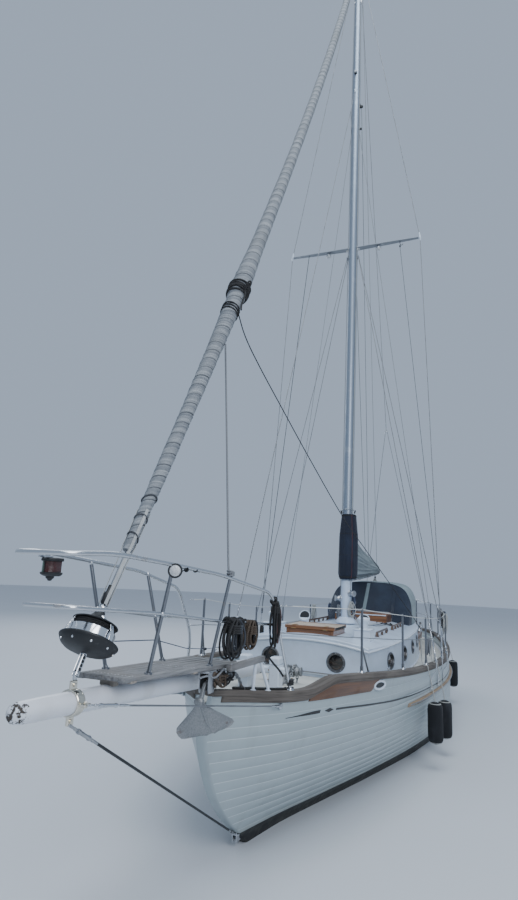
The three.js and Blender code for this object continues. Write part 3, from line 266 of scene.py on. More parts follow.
# Varnished teak, reddish, under a glossy coat
def varnished_teak(name, stretch=None, deep=(0.060, 0.019, 0.007), warm=(0.22, 0.088, 0.030), coat=0.6):
    f = Finish(name)
    place = f.scaled(f.sheet_place, (1.6, 45, 1)) if stretch is None else f.scaled(f.object_place, stretch)
    grain = f.noise(place, 1.0, 6, 0.6)
    pores = f.noise(f.scaled(place, (2, 5, 5)), 2.0, 3, 0.7)
    cloud = f.noise(f.object_place, 4.0, 3)
    colour = f.ramp(
        grain * 0.75 + pores * 0.25, (0.32, deep), (0.55, warm), (0.75, tuple(c * 1.5 for c in warm))
    )
    dull = f.rise(cloud, 0.5, 0.72)
    colour = f.blend(dull * 0.25, colour, tuple(c * 0.9 for c in warm))
    return f.surface(colour, 0.34 + dull * 0.2, pores, 0.0004, coat_weight=coat, coat_roughness=0.10)


# Polished stainless steel, with a little tea-coloured bloom
def stainless(name="stainless steel", base=(0.60, 0.62, 0.65), rough=0.16):
    f = Finish(name)
    bloom = f.rise(f.noise(f.object_place, 9, 5, 0.7), 0.56, 0.74)
    fine = f.noise(f.object_place, 240, 2)
    colour = f.blend(bloom * 0.5, base, (0.34, 0.27, 0.20))
    return f.surface(colour, rough + bloom * 0.25 + fine * 0.08, fine, 0.0002, metallic=1.0)


# Anodised spar: dull silver with faint vertical streaks
def spar_alloy(name="anodised spar", base=(0.29, 0.34, 0.41)):
    f = Finish(name)
    streak = f.noise(f.scaled(f.object_place, (28, 28, 0.35)), 1.0, 4)
    cloud = f.noise(f.object_place, 5, 4)
    colour = f.blend(f.rise(streak, 0.45, 0.7) * 0.5, base, (0.33, 0.35, 0.38))
    colour = f.blend(f.rise(cloud, 0.55, 0.8) * 0.35, colour, (0.60, 0.62, 0.65))
    return f.surface(colour, 0.36 + streak * 0.15, cloud, 0.0004, metallic=0.75)


# Spar paint on the bowsprit: runs of dirt, chips through to dark wood at the tip
def sprit_paint():
    f = Finish("bowsprit paint")
    x = f.parts(f.object_place)[0]
    cloud = f.noise(f.object_place, 4.0, 4)
    colour = f.blend(f.rise(cloud, 0.45, 0.7) * 0.6, (0.74, 0.76, 0.81), (0.60, 0.60, 0.60))
    flake = f.noise(f.object_place, 34, 4, 0.7)
    near_tip = f.rise(x, 7.10, 7.215) * 0.22
    chip = f.rise(flake + near_tip, 0.71, 0.73)
    colour = f.blend(chip, colour, (0.055, 0.045, 0.038))
    return f.surface(colour, 0.35 + chip * 0.4, cloud * 0.4 + (1 - chip), 0.0012)


# Woven canvas. The weave follows the sheet in metres
def canvas(name, cloth, faded, threads=420.0, sheet=True):
    f = Finish(name)
    place = f.sheet_place if sheet else f.object_place
    u, v, w = f.parts(f.scaled(place, (threads * 3.1416,) * 3))
    weave = u.maths("SINE") * v.maths("SINE") if sheet else u.maths("SINE") * w.maths("SINE")
    fade = f.noise(f.object_place, 3.0, 4)
    slub = f.noise(f.scaled(place, (40, 320, 40)), 1.0, 3)
    colour = f.blend(f.rise(fade, 0.35, 0.75), cloth, faded)
    colour = f.blend(f.rise(slub, 0.5, 0.8) * 0.25, colour, tuple(min(1, c * 1.8 + 0.01) for c in cloth))
    height = weave * 0.12 + f.noise(f.object_place, 16, 3) * 0.9
    return f.surface(colour, 0.85 + weave * 0.06, height, 0.004, sheen_weight=0.12, sheen_roughness=0.5)


# Sailcloth wound on the stay; v of the sheet counts the turns, u runs round. A dark line past each lap's edge
# is painted shadow
def rolled_sail():
    f = Finish("rolled sailcloth")
    turn = f.parts(f.sheet_place)[1]
    within = turn.maths("FRACT")
    # A dark line just past each lap's step: painted shadow cast by the layer lying over it
    edge = 1 - f.rise(within, 0.05, 0.17)
    band = f.rise(within, 0.55, 0.62) * (1 - f.rise(within, 0.93, 0.99))
    creases = f.noise(f.scaled(f.sheet_place, (9, 5, 1)), 1.0, 5, 0.7)
    dirt = f.noise(f.object_place, 2.3, 4)
    colour = f.blend(f.rise(creases, 0.35, 0.7), (0.21, 0.225, 0.245), (0.35, 0.37, 0.39))
    colour = f.blend(band * 0.45, colour, (0.12, 0.135, 0.16))
    # Blends in the painted shadow line beside each lap
    colour = f.blend(edge * 0.8, colour, (0.035, 0.04, 0.05))
    colour = f.blend(f.rise(dirt, 0.5, 0.75) * 0.35, colour, (0.17, 0.17, 0.165))
    return f.surface(colour, 0.72 + creases * 0.1, creases, 0.006)


# Black moulded parts, scuffed grey on their edges
def black_moulding(name="black moulding", base=(0.012, 0.013, 0.015), rough=0.4):
    f = Finish(name)
    scuff = f.rise(f.noise(f.object_place, 60, 5, 0.7), 0.58, 0.74)
    bloom = f.noise(f.object_place, 7, 3)
    colour = f.blend(scuff * 0.5, base, (0.09, 0.09, 0.095))
    return f.surface(colour, rough + bloom * 0.2, f.noise(f.object_place, 300, 2), 0.0003)


# Fleece covers on the fenders
def black_fleece():
    f = Finish("black fender cloth")
    pile = f.noise(f.object_place, 160, 4, 0.8)
    rub = f.noise(f.scaled(f.object_place, (6, 6, 2)), 1.0, 4)
    colour = f.blend(f.rise(rub, 0.45, 0.75), (0.007, 0.008, 0.011), (0.022, 0.024, 0.030))
    return f.surface(colour, 0.95, pile + rub, 0.004, sheen_weight=0.04, sheen_roughness=0.6)


# Hot-dip galvanised iron: dull spangle, rust at the edges
def galvanised():
    f = Finish("galvanised iron")
    spangle = f.cells(f.object_place, 150)["Color"]
    grey, _, _ = f.parts(spangle)
    rust = f.rise(f.noise(f.object_place, 13, 5, 0.7), 0.58, 0.72)
    colour = f.blend(grey, (0.22, 0.23, 0.24), (0.29, 0.30, 0.31))
    colour = f.blend(rust * 0.65, colour, (0.15, 0.075, 0.035))
    return f.surface(colour, 0.5 + rust * 0.3, grey * 0.3 + rust, 0.0012, metallic=0.7)


# Bronze gone brown and green
def old_bronze():
    f = Finish("old bronze")
    patch = f.noise(f.object_place, 17, 5, 0.65)
    colour = f.ramp(patch, (0.35, (0.30, 0.17, 0.07)), (0.55, (0.42, 0.26, 0.11)), (0.7, (0.12, 0.20, 0.15)))
    return f.surface(colour, 0.35 + patch * 0.3, patch, 0.0008, metallic=0.85)


# Braided or laid rope: u runs along in metres, v goes once round
def rope(name, first, second, braid=140.0, fleck=0.5, strands=8.0):
    f = Finish(name)
    u, v, _ = f.parts(f.sheet_place)
    around = v * (strands * math.pi)
    one = (u * (braid * math.pi) + around).maths("SINE")
    other = (u * (braid * math.pi) - around).maths("SINE")
    knit = one * other
    fuzz = f.noise(f.object_place, 90, 4)
    colour = f.blend(f.rise(knit, 0.15, 0.5) * fleck, first, second)
    colour = f.blend(f.rise(fuzz, 0.55, 0.8) * 0.4, colour, tuple(c * 0.55 for c in first))
    return f.surface(colour, 0.85, knit + fuzz * 0.4, 0.0012)


# Wire rope: laid strands of steel
def wire_rope():
    f = Finish("stay wire")
    u, v, _ = f.parts(f.sheet_place)
    lay = (u * 260.0 + v * (12 * math.pi)).maths("SINE")
    dirt = f.noise(f.object_place, 6, 4)
    colour = f.blend(f.rise(dirt, 0.45, 0.75) * 0.5, (0.30, 0.31, 0.33), (0.16, 0.15, 0.14))
    return f.surface(colour, 0.38 + dirt * 0.15, lay, 0.001, metallic=0.9)


# Dark glass or tinted plastic with the dim cabin behind it
def port_glass():
    f = Finish("port glass")
    inside = f.noise(f.scaled(f.object_place, (2, 9, 14)), 1.0, 3)
    colour = f.blend(f.rise(inside, 0.45, 0.7), (0.008, 0.008, 0.010), (0.07, 0.045, 0.03))
    smear = f.noise(f.object_place, 21, 4)
    return f.surface(
        colour, 0.03 + f.rise(smear, 0.5, 0.8) * 0.1, smear, 0.0002, coat_weight=0.6, coat_roughness=0.03
    )


# Lamp lenses, moulded with fine ribs
def lens(name, colour):
    f = Finish(name)
    z = f.parts(f.object_place)[2]
    ribs = (z * 1400).maths("SINE")
    cloud = f.noise(f.object_place, 40, 3)
    tone = f.blend(f.rise(cloud, 0.4, 0.8) * 0.4, colour, tuple(c * 0.4 for c in colour))
    return f.surface(tone, 0.12 + cloud * 0.1, ribs, 0.0006, coat_weight=0.5, coat_roughness=0.05)


# A line painted or cut in black or grey on the topsides
def line_paint(name, tone, rough=0.3):
    f = Finish(name)
    wear = f.noise(f.object_place, 45, 5, 0.7)
    colour = f.blend(f.rise(wear, 0.55, 0.8) * 0.4, tone, tuple(c * 0.5 + 0.12 for c in tone))
    return f.surface(colour, rough + wear * 0.15, wear, 0.0003)


HULL = hull_planks()
WHITE = white_paint("white paint")
TRIM_WHITE = white_paint("glossy white trim", (0.68, 0.75, 0.84), (0.57, 0.62, 0.70), 0.16)
DECK = deck_paint()
GREY_RAIL = bare_teak("grey teak rail", None, (0.030, 0.024, 0.020), (0.115, 0.098, 0.085))
GREY_SLAT = bare_teak("grey teak slats", (2.2, 60, 60), (0.065, 0.062, 0.060), (0.22, 0.22, 0.225))
STRAKE = bare_teak("rub strake teak", None, (0.11, 0.07, 0.045), (0.34, 0.25, 0.17))
GRATING = bare_teak("cockpit teak", (3, 50, 50), (0.14, 0.10, 0.07), (0.36, 0.28, 0.20))
VARNISH = varnished_teak("varnished teak along", (1.6, 45, 45))
VARNISH_ACROSS = varnished_teak("varnished teak across", (45, 1.6, 45))
VARNISH_UP = varnished_teak("varnished teak upright", (45, 45, 1.6))
VARNISH_PANEL = varnished_teak("varnished panel", None, (0.034, 0.011, 0.004), (0.135, 0.050, 0.013), 0.10)
DARK_TEAK = varnished_teak(
    "dark handrail teak", (1.6, 45, 45), (0.030, 0.014, 0.008), (0.105, 0.050, 0.024), 0.2
)
BLEACHED = varnished_teak("bleached lid", (1.6, 45, 45), (0.36, 0.28, 0.19), (0.56, 0.45, 0.33), 0.1)
STEEL = stainless()
DULL_STEEL = stainless("dull steel", (0.42, 0.43, 0.45), 0.3)
ALLOY = spar_alloy()
DARK_ALLOY = spar_alloy("grey spreader", (0.30, 0.32, 0.35))
SPRIT = sprit_paint()
NAVY = canvas("navy canvas", (0.010, 0.017, 0.034), (0.021, 0.032, 0.058))
NAVY_EDGE = canvas("navy binding", (0.16, 0.19, 0.26), (0.26, 0.29, 0.36), 500)
SAIL = rolled_sail()
BLACK = black_moulding()
SOFT_BLACK = black_moulding("dull black rubber", (0.02, 0.02, 0.021), 0.65)
FLEECE = black_fleece()
GALVANISED = galvanised()
BRONZE = old_bronze()
WIRE = wire_rope()
GLASS = port_glass()
RED_LENS = lens("red lens", (0.055, 0.007, 0.006))
GREEN_LENS = lens("green lens", (0.01, 0.09, 0.04))
CLEAR_LENS = lens("clear lens", (0.62, 0.64, 0.66))
COVE = line_paint("black line", (0.012, 0.012, 0.014))
SILVER_BAND = stainless("bright band", (0.78, 0.80, 0.83), 0.1)
WHITE_ROPE = rope("white rope", (0.50, 0.50, 0.47), (0.36, 0.38, 0.42))
GREY_ROPE = rope("grey rope", (0.24, 0.25, 0.27), (0.12, 0.13, 0.15))
BLUE_ROPE = rope("blue rope", (0.04, 0.06, 0.12), (0.25, 0.27, 0.32), 120, 0.35)
BROWN_ROPE = rope("brown rope", (0.060, 0.042, 0.030), (0.13, 0.10, 0.075), 80, 0.6, 3.0)
DARK_ROPE = rope("dark rope", (0.022, 0.022, 0.024), (0.06, 0.055, 0.05), 90, 0.5)


# Shapes: points and faces in numpy, with a place on the sheet for every corner
def V3(*xyz):
    return np.array(xyz, float)


# Angles round a full circle, without the last one
def full_turn(count):
    return np.linspace(0, 2 * math.pi, count, endpoint=False)


# Points round an oval whose half axes are two vectors
def hoop(centre, across, up, count):
    t = full_turn(count)
    return centre + np.outer(np.cos(t), across) + np.outer(np.sin(t), up)


# A vector brought to length one
def unit(vector):
    return vector / max(1e-12, float(np.linalg.norm(vector)))


# The value a share t of the way from a to b
def lerp(a, b, t):
    return a + (b - a) * t


# How far along the path each point lies
def arc_lengths(points):
    steps = np.linalg.norm(np.diff(points, axis=0), axis=1)
    return np.concatenate([[0.0], np.cumsum(steps)])


# A smooth path through points, sampled about every step metres
def through(points, step=0.02):
    p = np.array(points, float)
    if len(p) < 3:
        n = max(2, int(np.linalg.norm(p[-1] - p[0]) / step) + 1)
        return p[0] + (p[-1] - p[0]) * np.linspace(0, 1, n)[:, None]
    ends = np.vstack([2 * p[0] - p[1], p, 2 * p[-1] - p[-2]])
    out = []
    for a, b, c, d in zip(ends, ends[1:], ends[2:], ends[3:]):
        n = max(2, int(np.linalg.norm(c - b) / step))
        t = np.linspace(0, 1, n, endpoint=False)[:, None]
        cubic = (2 * b) + (c - a) * t + (2 * a - 5 * b + 4 * c - d) * t**2 + (3 * b - a - 3 * c + d) * t**3
        out.append(0.5 * cubic)
    return np.vstack([*out, p[-1:]])


# The same path with its corners rounded, as a bent tube has them
def bent(points, radius, steps=7):
    p = [V3(*q) for q in points]
    out = [p[0]]
    for a, b, c in zip(p, p[1:], p[2:]):
        before, after = a - b, c - b
        r = min(radius, 0.45 * np.linalg.norm(before), 0.45 * np.linalg.norm(after))
        start, end = b + unit(before) * r, b + unit(after) * r
        for t in np.linspace(0, 1, steps):
            out.append((1 - t) ** 2 * start + 2 * t * (1 - t) * b + t**2 * end)
    return np.array([*out, p[-1]])


# Two directions across a path at each of its points, which turn as little as they can
def frames(path, loop=False):
    p = np.array(path, float)
    if loop:
        tangents = np.roll(p, -1, 0) - np.roll(p, 1, 0)
    else:
        tangents = np.gradient(p, axis=0)
    tangents /= np.maximum(1e-9, np.linalg.norm(tangents, axis=1))[:, None]
    side = unit(np.cross(V3(0, 0, 1) if abs(tangents[0][2]) < 0.9 else V3(1, 0, 0), tangents[0]))
    sides = []
    for t in tangents:
        side = unit(side - t * side.dot(t))
        sides.append(side)
    sides = np.array(sides)
    return tangents, sides, np.cross(tangents, sides)


class Shape:
    def __init__(self):
        self.points = []
        self.faces = []
        self.sheet = []
        self.finishes = []
        self.count = 0

    def add(self, points, faces, sheet, finish=0):
        self.points.append(np.array(points, float).reshape(-1, 3))
        for face, corners in zip(faces, sheet):
            self.faces.append([int(k) + self.count for k in face])
            self.sheet.append(corners)
            self.finishes.append(finish)
        self.count += len(self.points[-1])
        return self

    # Rows of points joined by four-cornered faces. wrap closes each row, loop joins the last row to the first
    def grid(self, rows, wrap=False, loop=False, ends=True, finish=0, us=None, vs=None):
        rows = np.array(rows, float)
        m, n = rows.shape[:2]
        if us is None:
            us = arc_lengths(rows.mean(axis=1))
            if loop:
                us = np.append(us, us[-1] + np.linalg.norm(rows[0].mean(0) - rows[-1].mean(0)))
        if vs is None:
            widest = rows[int(np.argmax(np.ptp(rows, axis=1).sum(axis=1)))]
            vs = arc_lengths(np.vstack([widest, widest[:1]]) if wrap else widest)
        faces = []
        sheet = []
        for i in range(m if loop else m - 1):
            below = i * n
            above = ((i + 1) % m) * n
            for j in range(n if wrap else n - 1):
                k = (j + 1) % n
                faces.append((below + j, below + k, above + k, above + j))
                sheet.append(((us[i], vs[j]), (us[i], vs[j + 1]), (us[i + 1], vs[j + 1]), (us[i + 1], vs[j])))
        if ends and wrap and not loop:
            for row in (0, m - 1):
                order = range(n) if row == 0 else range(n - 1, -1, -1)
                faces.append([row * n + j for j in order])
                middle = rows[row].mean(0)
                reach = np.linalg.norm(rows[row] - middle, axis=1)
                sheet.append([(us[row] + reach[j], vs[j]) for j in order])
        return self.add(rows.reshape(-1, 3), faces, sheet, finish)

    # A round bar along a path; the radius may be one for each point
    def bar(self, path, radius, sides=12, loop=False, finish=0, round_ends=False, squash=1.0):
        path = np.array(path, float)
        radii = np.broadcast_to(np.array(radius, float), (len(path),))
        if round_ends:
            head, tail = unit(path[0] - path[1]), unit(path[-1] - path[-2])
            turns = np.array([0.9, 0.6, 0.3])
            start = [path[0] + head * radii[0] * math.sin(t * math.pi / 2) for t in turns]
            stop = [path[-1] + tail * radii[-1] * math.sin(t * math.pi / 2) for t in turns[::-1]]
            caps = np.cos(turns * math.pi / 2)
            path = np.vstack([start, path, stop])
            radii = np.concatenate([radii[0] * caps, radii, radii[-1] * caps[::-1]])
        _, side, up = frames(path, loop)
        t = full_turn(sides)
        ring = side[:, None] * np.cos(t)[None, :, None] + up[:, None] * np.sin(t)[None, :, None] * squash
        rows = path[:, None] + ring * radii[:, None, None]
        vs = np.linspace(0, 1, sides + 1)
        us = arc_lengths(np.vstack([path, path[:1]]) if loop else path)
        return self.grid(rows, wrap=True, loop=loop, finish=finish, us=us, vs=vs)

    # A turned shape: distance along the axis and radius
    def turned(self, start, axis, profile, sides=24, finish=0):
        axis = unit(V3(*axis))
        side = unit(np.cross(V3(0, 0, 1) if abs(axis[2]) < 0.9 else V3(1, 0, 0), axis))
        up = np.cross(axis, side)
        t = full_turn(sides)
        ring = side * np.cos(t)[:, None] + up * np.sin(t)[:, None]
        rows = [V3(*start) + axis * k + ring * max(r, 1e-4) for k, r in profile]
        us = arc_lengths(np.array(profile, float))
        return self.grid(rows, wrap=True, finish=finish, us=us, vs=np.linspace(0, 1, sides + 1))

    # A block with its edges eased, between two corners, turned about its middle
    def block(self, low, high, ease=0.004, finish=0, turn=None, middle=None):
        low, high = V3(*low), V3(*high)
        half = (high - low) / 2
        centre = (high + low) / 2
        e = min(ease, *(half * 0.45))
        corners = []
        for z, inset in ((-half[2], e), (-half[2] + e, 0), (half[2] - e, 0), (half[2], e)):
            a, b = half[0] - inset, half[1] - inset
            outline = []
            for sx, sy in ((1, 1), (-1, 1), (-1, -1), (1, -1)):
                first = (sx * a, sy * (b - e)) if sx * sy > 0 else (sx * (a - e), sy * b)
                second = (sx * (a - e), sy * b) if sx * sy > 0 else (sx * a, sy * (b - e))
                outline += [V3(*first, z), V3(*second, z)]
            corners.append(outline)
        rows = np.array(corners)
        if turn is not None:
            rows = rows @ np.array(turn.to_3x3()).T
        rows = rows + (centre if middle is None else V3(*middle))
        return self.grid(rows, wrap=True, finish=finish)

    # A ball or an egg
    def ball(self, centre, radii, sides=16, rings=10, finish=0):
        radii = np.broadcast_to(np.array(radii, float), (3,))
        t = full_turn(sides)
        rows = []
        for lat in np.linspace(-math.pi / 2 + 0.12, math.pi / 2 - 0.12, rings):
            ring = np.stack(
                [np.cos(t) * math.cos(lat), np.sin(t) * math.cos(lat), np.full(sides, math.sin(lat))], 1
            )
            rows.append(V3(*centre) + ring * radii)
        return self.grid(rows, wrap=True, finish=finish)

    # A plank with eased edges along a line through the middle of its top
    def board(self, line, width, thick, ease=0.003, finish=0, up=(0, 0, 1)):
        line = np.array(line, float)
        widths = np.broadcast_to(np.array(width, float), (len(line),))
        head, tail = unit(line[1] - line[0]), unit(line[-1] - line[-2])
        line = np.vstack([line[0], line[0] + head * ease, line[1:-1], line[-1] - tail * ease, line[-1]])
        widths = np.concatenate([widths[:1], widths[:1], widths[1:-1], widths[-1:], widths[-1:]])
        insets = [ease, *[0.0] * (len(line) - 2), ease]
        rows = []
        for p, t, w, inset in zip(line, np.gradient(line, axis=0), widths, insets):
            across = unit(np.cross(V3(*up), t))
            over = unit(np.cross(t, across))
            half, top, low = w / 2 - inset, -inset, inset - thick
            ring = [(ease - half, top), (half - ease, top), (half, top - ease), (half, low + ease)]
            ring += [(half - ease, low), (ease - half, low), (-half, low + ease), (-half, top - ease)]
            rows.append([p + across * a + over * b for a, b in ring])
        return self.grid(rows, wrap=True, finish=finish)

    # The same shape on the other side of the boat
    def both_sides(self):
        made = self.count
        points = np.vstack(self.points)
        faces = [list(reversed(face)) for face in self.faces]
        sheet = [list(reversed(corners)) for corners in self.sheet]
        finishes = list(self.finishes)
        self.points.append(points * V3(1, -1, 1))
        self.faces += [[k + made for k in face] for face in faces]
        self.sheet += sheet
        self.finishes += finishes
        self.count += made
        return self


# Turns a shape into a finished piece that rides on a body of the boat
def piece(name, shape, materials, body="yacht", instead=(), sharp=38, weld=1e-5):
    mesh = bpy.data.meshes.new(name)
    mesh.from_pydata(np.vstack(shape.points).tolist(), [], shape.faces)
    layer = mesh.uv_layers.new(name="sheet")
    layer.data.foreach_set("uv", np.array([c for corners in shape.sheet for c in corners], float).ravel())
    mesh.polygons.foreach_set("material_index", np.array(shape.finishes, int))
    for material in materials if isinstance(materials, (list, tuple)) else [materials]:
        mesh.materials.append(material)
    made = bmesh.new()
    made.from_mesh(mesh)
    bmesh.ops.remove_doubles(made, verts=made.verts, dist=weld)
    bmesh.ops.dissolve_degenerate(made, edges=made.edges, dist=weld)
    bmesh.ops.recalc_face_normals(made, faces=made.faces)
    made.to_mesh(mesh)
    made.free()
    return settle(bpy.data.objects.new(name, mesh), body, instead, sharp)


def settle(obj, body, instead=(), sharp=38):
    if obj.name not in bpy.context.scene.collection.objects:
        bpy.context.scene.collection.objects.link(obj)
    obj.data.shade_smooth()
    obj.data.set_sharp_from_angle(angle=math.radians(sharp))
    if body:
        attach(obj, body)
    if instead:
        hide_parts(*([instead] if isinstance(instead, str) else instead))
    return obj


# Smooth shading up to an angle, for solids kept from the source
def angle_shading():
    tree = bpy.data.node_groups.new("smooth up to an angle", "GeometryNodeTree")
    tree.is_modifier = True
    tree.interface.new_socket("Geometry", in_out="INPUT", socket_type="NodeSocketGeometry")
    tree.interface.new_socket("Geometry", in_out="OUTPUT", socket_type="NodeSocketGeometry")
    start = tree.nodes.new("NodeGroupInput")
    end = tree.nodes.new("NodeGroupOutput")
    angle = tree.nodes.new("GeometryNodeInputMeshEdgeAngle")
    above = tree.nodes.new("FunctionNodeCompare")
    above.data_type = "FLOAT"
    above.operation = "GREATER_THAN"
    above.inputs["B"].default_value = math.radians(32)
    faces = tree.nodes.new("GeometryNodeSetShadeSmooth")
    faces.domain = "FACE"
    edges = tree.nodes.new("GeometryNodeSetShadeSmooth")
    edges.domain = "EDGE"
    edges.inputs["Shade Smooth"].default_value = False
    tree.links.new(start.outputs[0], faces.inputs["Geometry"])
    tree.links.new(faces.outputs[0], edges.inputs["Geometry"])
    tree.links.new(angle.outputs["Unsigned Angle"], above.inputs["A"])
    tree.links.new(above.outputs[0], edges.inputs["Selection"])
    tree.links.new(edges.outputs[0], end.inputs[0])
    return tree


ANGLE_SHADING = angle_shading()


# Gives a solid from the source its finish, welded, eased and smooth
def dress(node, material, ease=0.003, segments=2):
    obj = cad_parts[node]
    obj.data.materials.clear()
    obj.data.materials.append(material)
    weld = obj.modifiers.new("weld", "WELD")
    weld.merge_threshold = 1e-5
    if ease:
        bevel = obj.modifiers.new("eased edges", "BEVEL")
        bevel.width = ease
        bevel.segments = segments
        bevel.limit_method = "ANGLE"
        bevel.angle_limit = math.radians(32)
        bevel.harden_normals = False
    shade = obj.modifiers.new("shading", "NODES")
    shade.node_group = ANGLE_SHADING
    return obj


# Cuts closed shapes out of a piece
def cut(obj, *tools):
    for tool in tools:
        mesh = bpy.data.meshes.new("tool")
        mesh.from_pydata(np.vstack(tool.points).tolist(), [], tool.faces)
        made = bmesh.new()
        made.from_mesh(mesh)
        bmesh.ops.remove_doubles(made, verts=made.verts, dist=1e-6)
        bmesh.ops.recalc_face_normals(made, faces=made.faces)
        made.to_mesh(mesh)
        made.free()
        cutter = bpy.data.objects.new("tool", mesh)
        bpy.context.scene.collection.objects.link(cutter)
        step = obj.modifiers.new("cut", "BOOLEAN")
        step.operation = "DIFFERENCE"
        step.solver = "MANIFOLD"
        step.object = cutter
        bpy.context.view_layer.update()
        evaluated = obj.evaluated_get(bpy.context.evaluated_depsgraph_get())
        result = bpy.data.meshes.new_from_object(evaluated)
        obj.modifiers.remove(step)
        if len(result.polygons):
            obj.data = result
        bpy.data.objects.remove(cutter)
    return obj


# Lines of the hull: share of the length from stem to stern, and v from the deck edge down to the keel
SHARE = [0, 0.06, 0.14, 0.25, 0.4, 0.55, 0.7, 0.82, 0.92, 1]
DECK_Z = [1.170, 1.150, 1.120, 1.060, 0.990, 0.945, 0.940, 0.965, 1.020, 1.090]
BREADTHS = np.array([
    [0.047, 0.490, 0.810, 1.090, 1.275, 1.375, 1.330, 1.140, 0.800, 0.060],
    [0.047, 0.350, 0.640, 0.940, 1.215, 1.370, 1.345, 1.130, 0.720, 0.060],
    [0.047, 0.165, 0.380, 0.680, 1.045, 1.270, 1.270, 1.010, 0.560, 0.060],
    [0.047, 0.115, 0.265, 0.500, 0.850, 1.080, 1.040, 0.720, 0.330, 0.060],
    [0.047, 0.078, 0.160, 0.285, 0.480, 0.650, 0.580, 0.340, 0.150, 0.058],
    [0.047, 0.058, 0.100, 0.160, 0.220, 0.280, 0.240, 0.155, 0.090, 0.055],
    [0.047, 0.060, 0.090, 0.115, 0.135, 0.140, 0.120, 0.095, 0.070, 0.052],
])
LEVELS = [2, 3, 4, 5, 6]
LEVEL_Z = [0, -0.350, -0.700, -1.050, -1.6]
STEM_ZS = [1.420, 1.170, 1.000, 0.780, 0.520, 0.260, 0.120, 0, -0.350, -0.700, -1.050, -1.350, -1.6]
STEM_XS = [5.185, 5.212, 5.205, 5.110, 4.930, 4.640, 4.440, 4.290, 3.900, 3.400, 2.750, 2.050, 1.350]
FLARE = [0.1, 0.34, 0.3, 0.16, 0.06, 0.0, -0.04, 0.02, 0.1, 0.05]
KEEL_Z = -1.6
POST_SLOPE = 0.426
BULWARK_T = 0.048
CAP_T, CAP_W, CAP_OUT = 0.045, 0.105, 0.026


# A smooth curve through the heights ys at the places xs, read at x
def smooth(xs, ys, x):
    xs, ys, x = np.asarray(xs, float), np.asarray(ys, float), np.asarray(x, float)
    if xs[-1] < xs[0]:
        xs, ys = xs[::-1], ys[::-1]
    slope = np.empty_like(ys)
    slope[0] = (ys[1] - ys[0]) / (xs[1] - xs[0])
    slope[-1] = (ys[-1] - ys[-2]) / (xs[-1] - xs[-2])
    slope[1:-1] = (ys[2:] - ys[:-2]) / (xs[2:] - xs[:-2])
    i = np.clip(np.searchsorted(xs, x, side="right") - 1, 0, len(xs) - 2)
    h = xs[i + 1] - xs[i]
    t = np.clip((x - xs[i]) / h, 0, 1)
    t2, t3 = t * t, t * t * t
    level = ys[i] * (2 * t3 - 3 * t2 + 1) + ys[i + 1] * (3 * t2 - 2 * t3)
    return level + slope[i] * h * (t3 - 2 * t2 + t) + slope[i + 1] * h * (t3 - t2)


# A soft step from 0 at low to 1 at high
def rise(low, high, x):
    t = np.clip((np.asarray(x, float) - low) / (high - low), 0, 1)
    return t * t * (3 - 2 * t)


# Where the stem lies at a height
def stem_x(z):
    return smooth(STEM_ZS, STEM_XS, z)


# Where the sternpost lies at a height
def post_x(z):
    return -5.2 + POST_SLOPE * (1.1 - z)


# Height of the deck edge along the sheer
def deck_z(u):
    return smooth(SHARE, DECK_Z, u)


# Half breadth of the hull at a share of its length and a level
def breadth(u, v):
    u, v = np.broadcast_arrays(np.asarray(u, float), np.asarray(v, float))
    rows = np.stack([smooth(SHARE, row, u) for row in BREADTHS])
    r = np.minimum(5, np.floor(v).astype(int))
    t = v - r

    def at(k):
        return np.take_along_axis(rows, np.clip(k, 0, 6)[None], 0)[0]

    a, b = at(r), at(r + 1)
    sa = np.where(r > 0, (b - at(r - 1)) / 2, b - a)
    sb = np.where(r < 5, (at(r + 2) - a) / 2, b - a)
    t2, t3 = t * t, t * t * t
    return a * (2 * t3 - 3 * t2 + 1) + b * (3 * t2 - 2 * t3) + sa * (t3 - 2 * t2 + t) + sb * (t3 - t2)


# A point on the hull's skin at a share of its length and a level
def hull_point(u, v):
    u, v = np.broadcast_arrays(np.asarray(u, float), np.asarray(v, float))
    z = np.where(v <= 2, deck_z(u) * (1 - v / 2), smooth(LEVELS, LEVEL_Z, np.maximum(v, 2)))
    return np.stack([stem_x(z) * (1 - u) + post_x(z) * u, breadth(u, v), z], -1)


# Height of the bulwark above the deck edge
def bulwark_h(u):
    step = 0.088 * rise(0.072, 0.106, u)
    shares = [0, 0.1, 0.14, 0.25, 0.4, 0.55, 0.7, 0.82, 0.92, 1]
    low = smooth(shares, [0, 0.012, 0.005, -0.025, -0.062, -0.076, -0.076, -0.062, -0.050, -0.042], u)
    return lerp(0.155, 0.122, rise(0, 0.06, u)) + step + low


# A point on the bulwark, h above the deck edge
def rail_point(u, h, inset=0.0):
    z = deck_z(u) + h
    out = smooth(SHARE, BREADTHS[0], u) + smooth(SHARE, FLARE, u) * h - inset
    return np.stack([stem_x(z) * (1 - u) + post_x(z) * u, np.maximum(out, 0.001), z], -1)


# The share of the length at which the bulwark reaches x
def share_at(x, h=0.0):
    low, high = 0.0, 1.0
    for _ in range(40):
        middle = (low + high) / 2
        if rail_point(middle, h)[0] > x:
            low = middle
        else:
            high = middle
    return (low + high) / 2


# Height of the cambered deck
def deck_top(u, y):
    edge = rail_point(u, 0, BULWARK_T + 0.006)
    return edge[..., 2] + 0.028 + 0.045 * (1 - (y / edge[..., 1]) ** 2)


# Height of the deck under a place given in metres
def deck_under(x, y=0.0):
    return float(deck_top(share_at(x), y))


CAP_SHARES = np.linspace(0, 1, 201)
CAP_LINE = rail_point(CAP_SHARES, bulwark_h(CAP_SHARES))


# Middle of the cap rail's top at a place along the boat
def cap_top(x):
    at = [float(np.interp(-x, -CAP_LINE[:, 0], CAP_LINE[:, k])) for k in (1, 2)]
    return V3(x, at[0] + CAP_OUT - CAP_W / 2, at[1] + CAP_T + 0.0003)


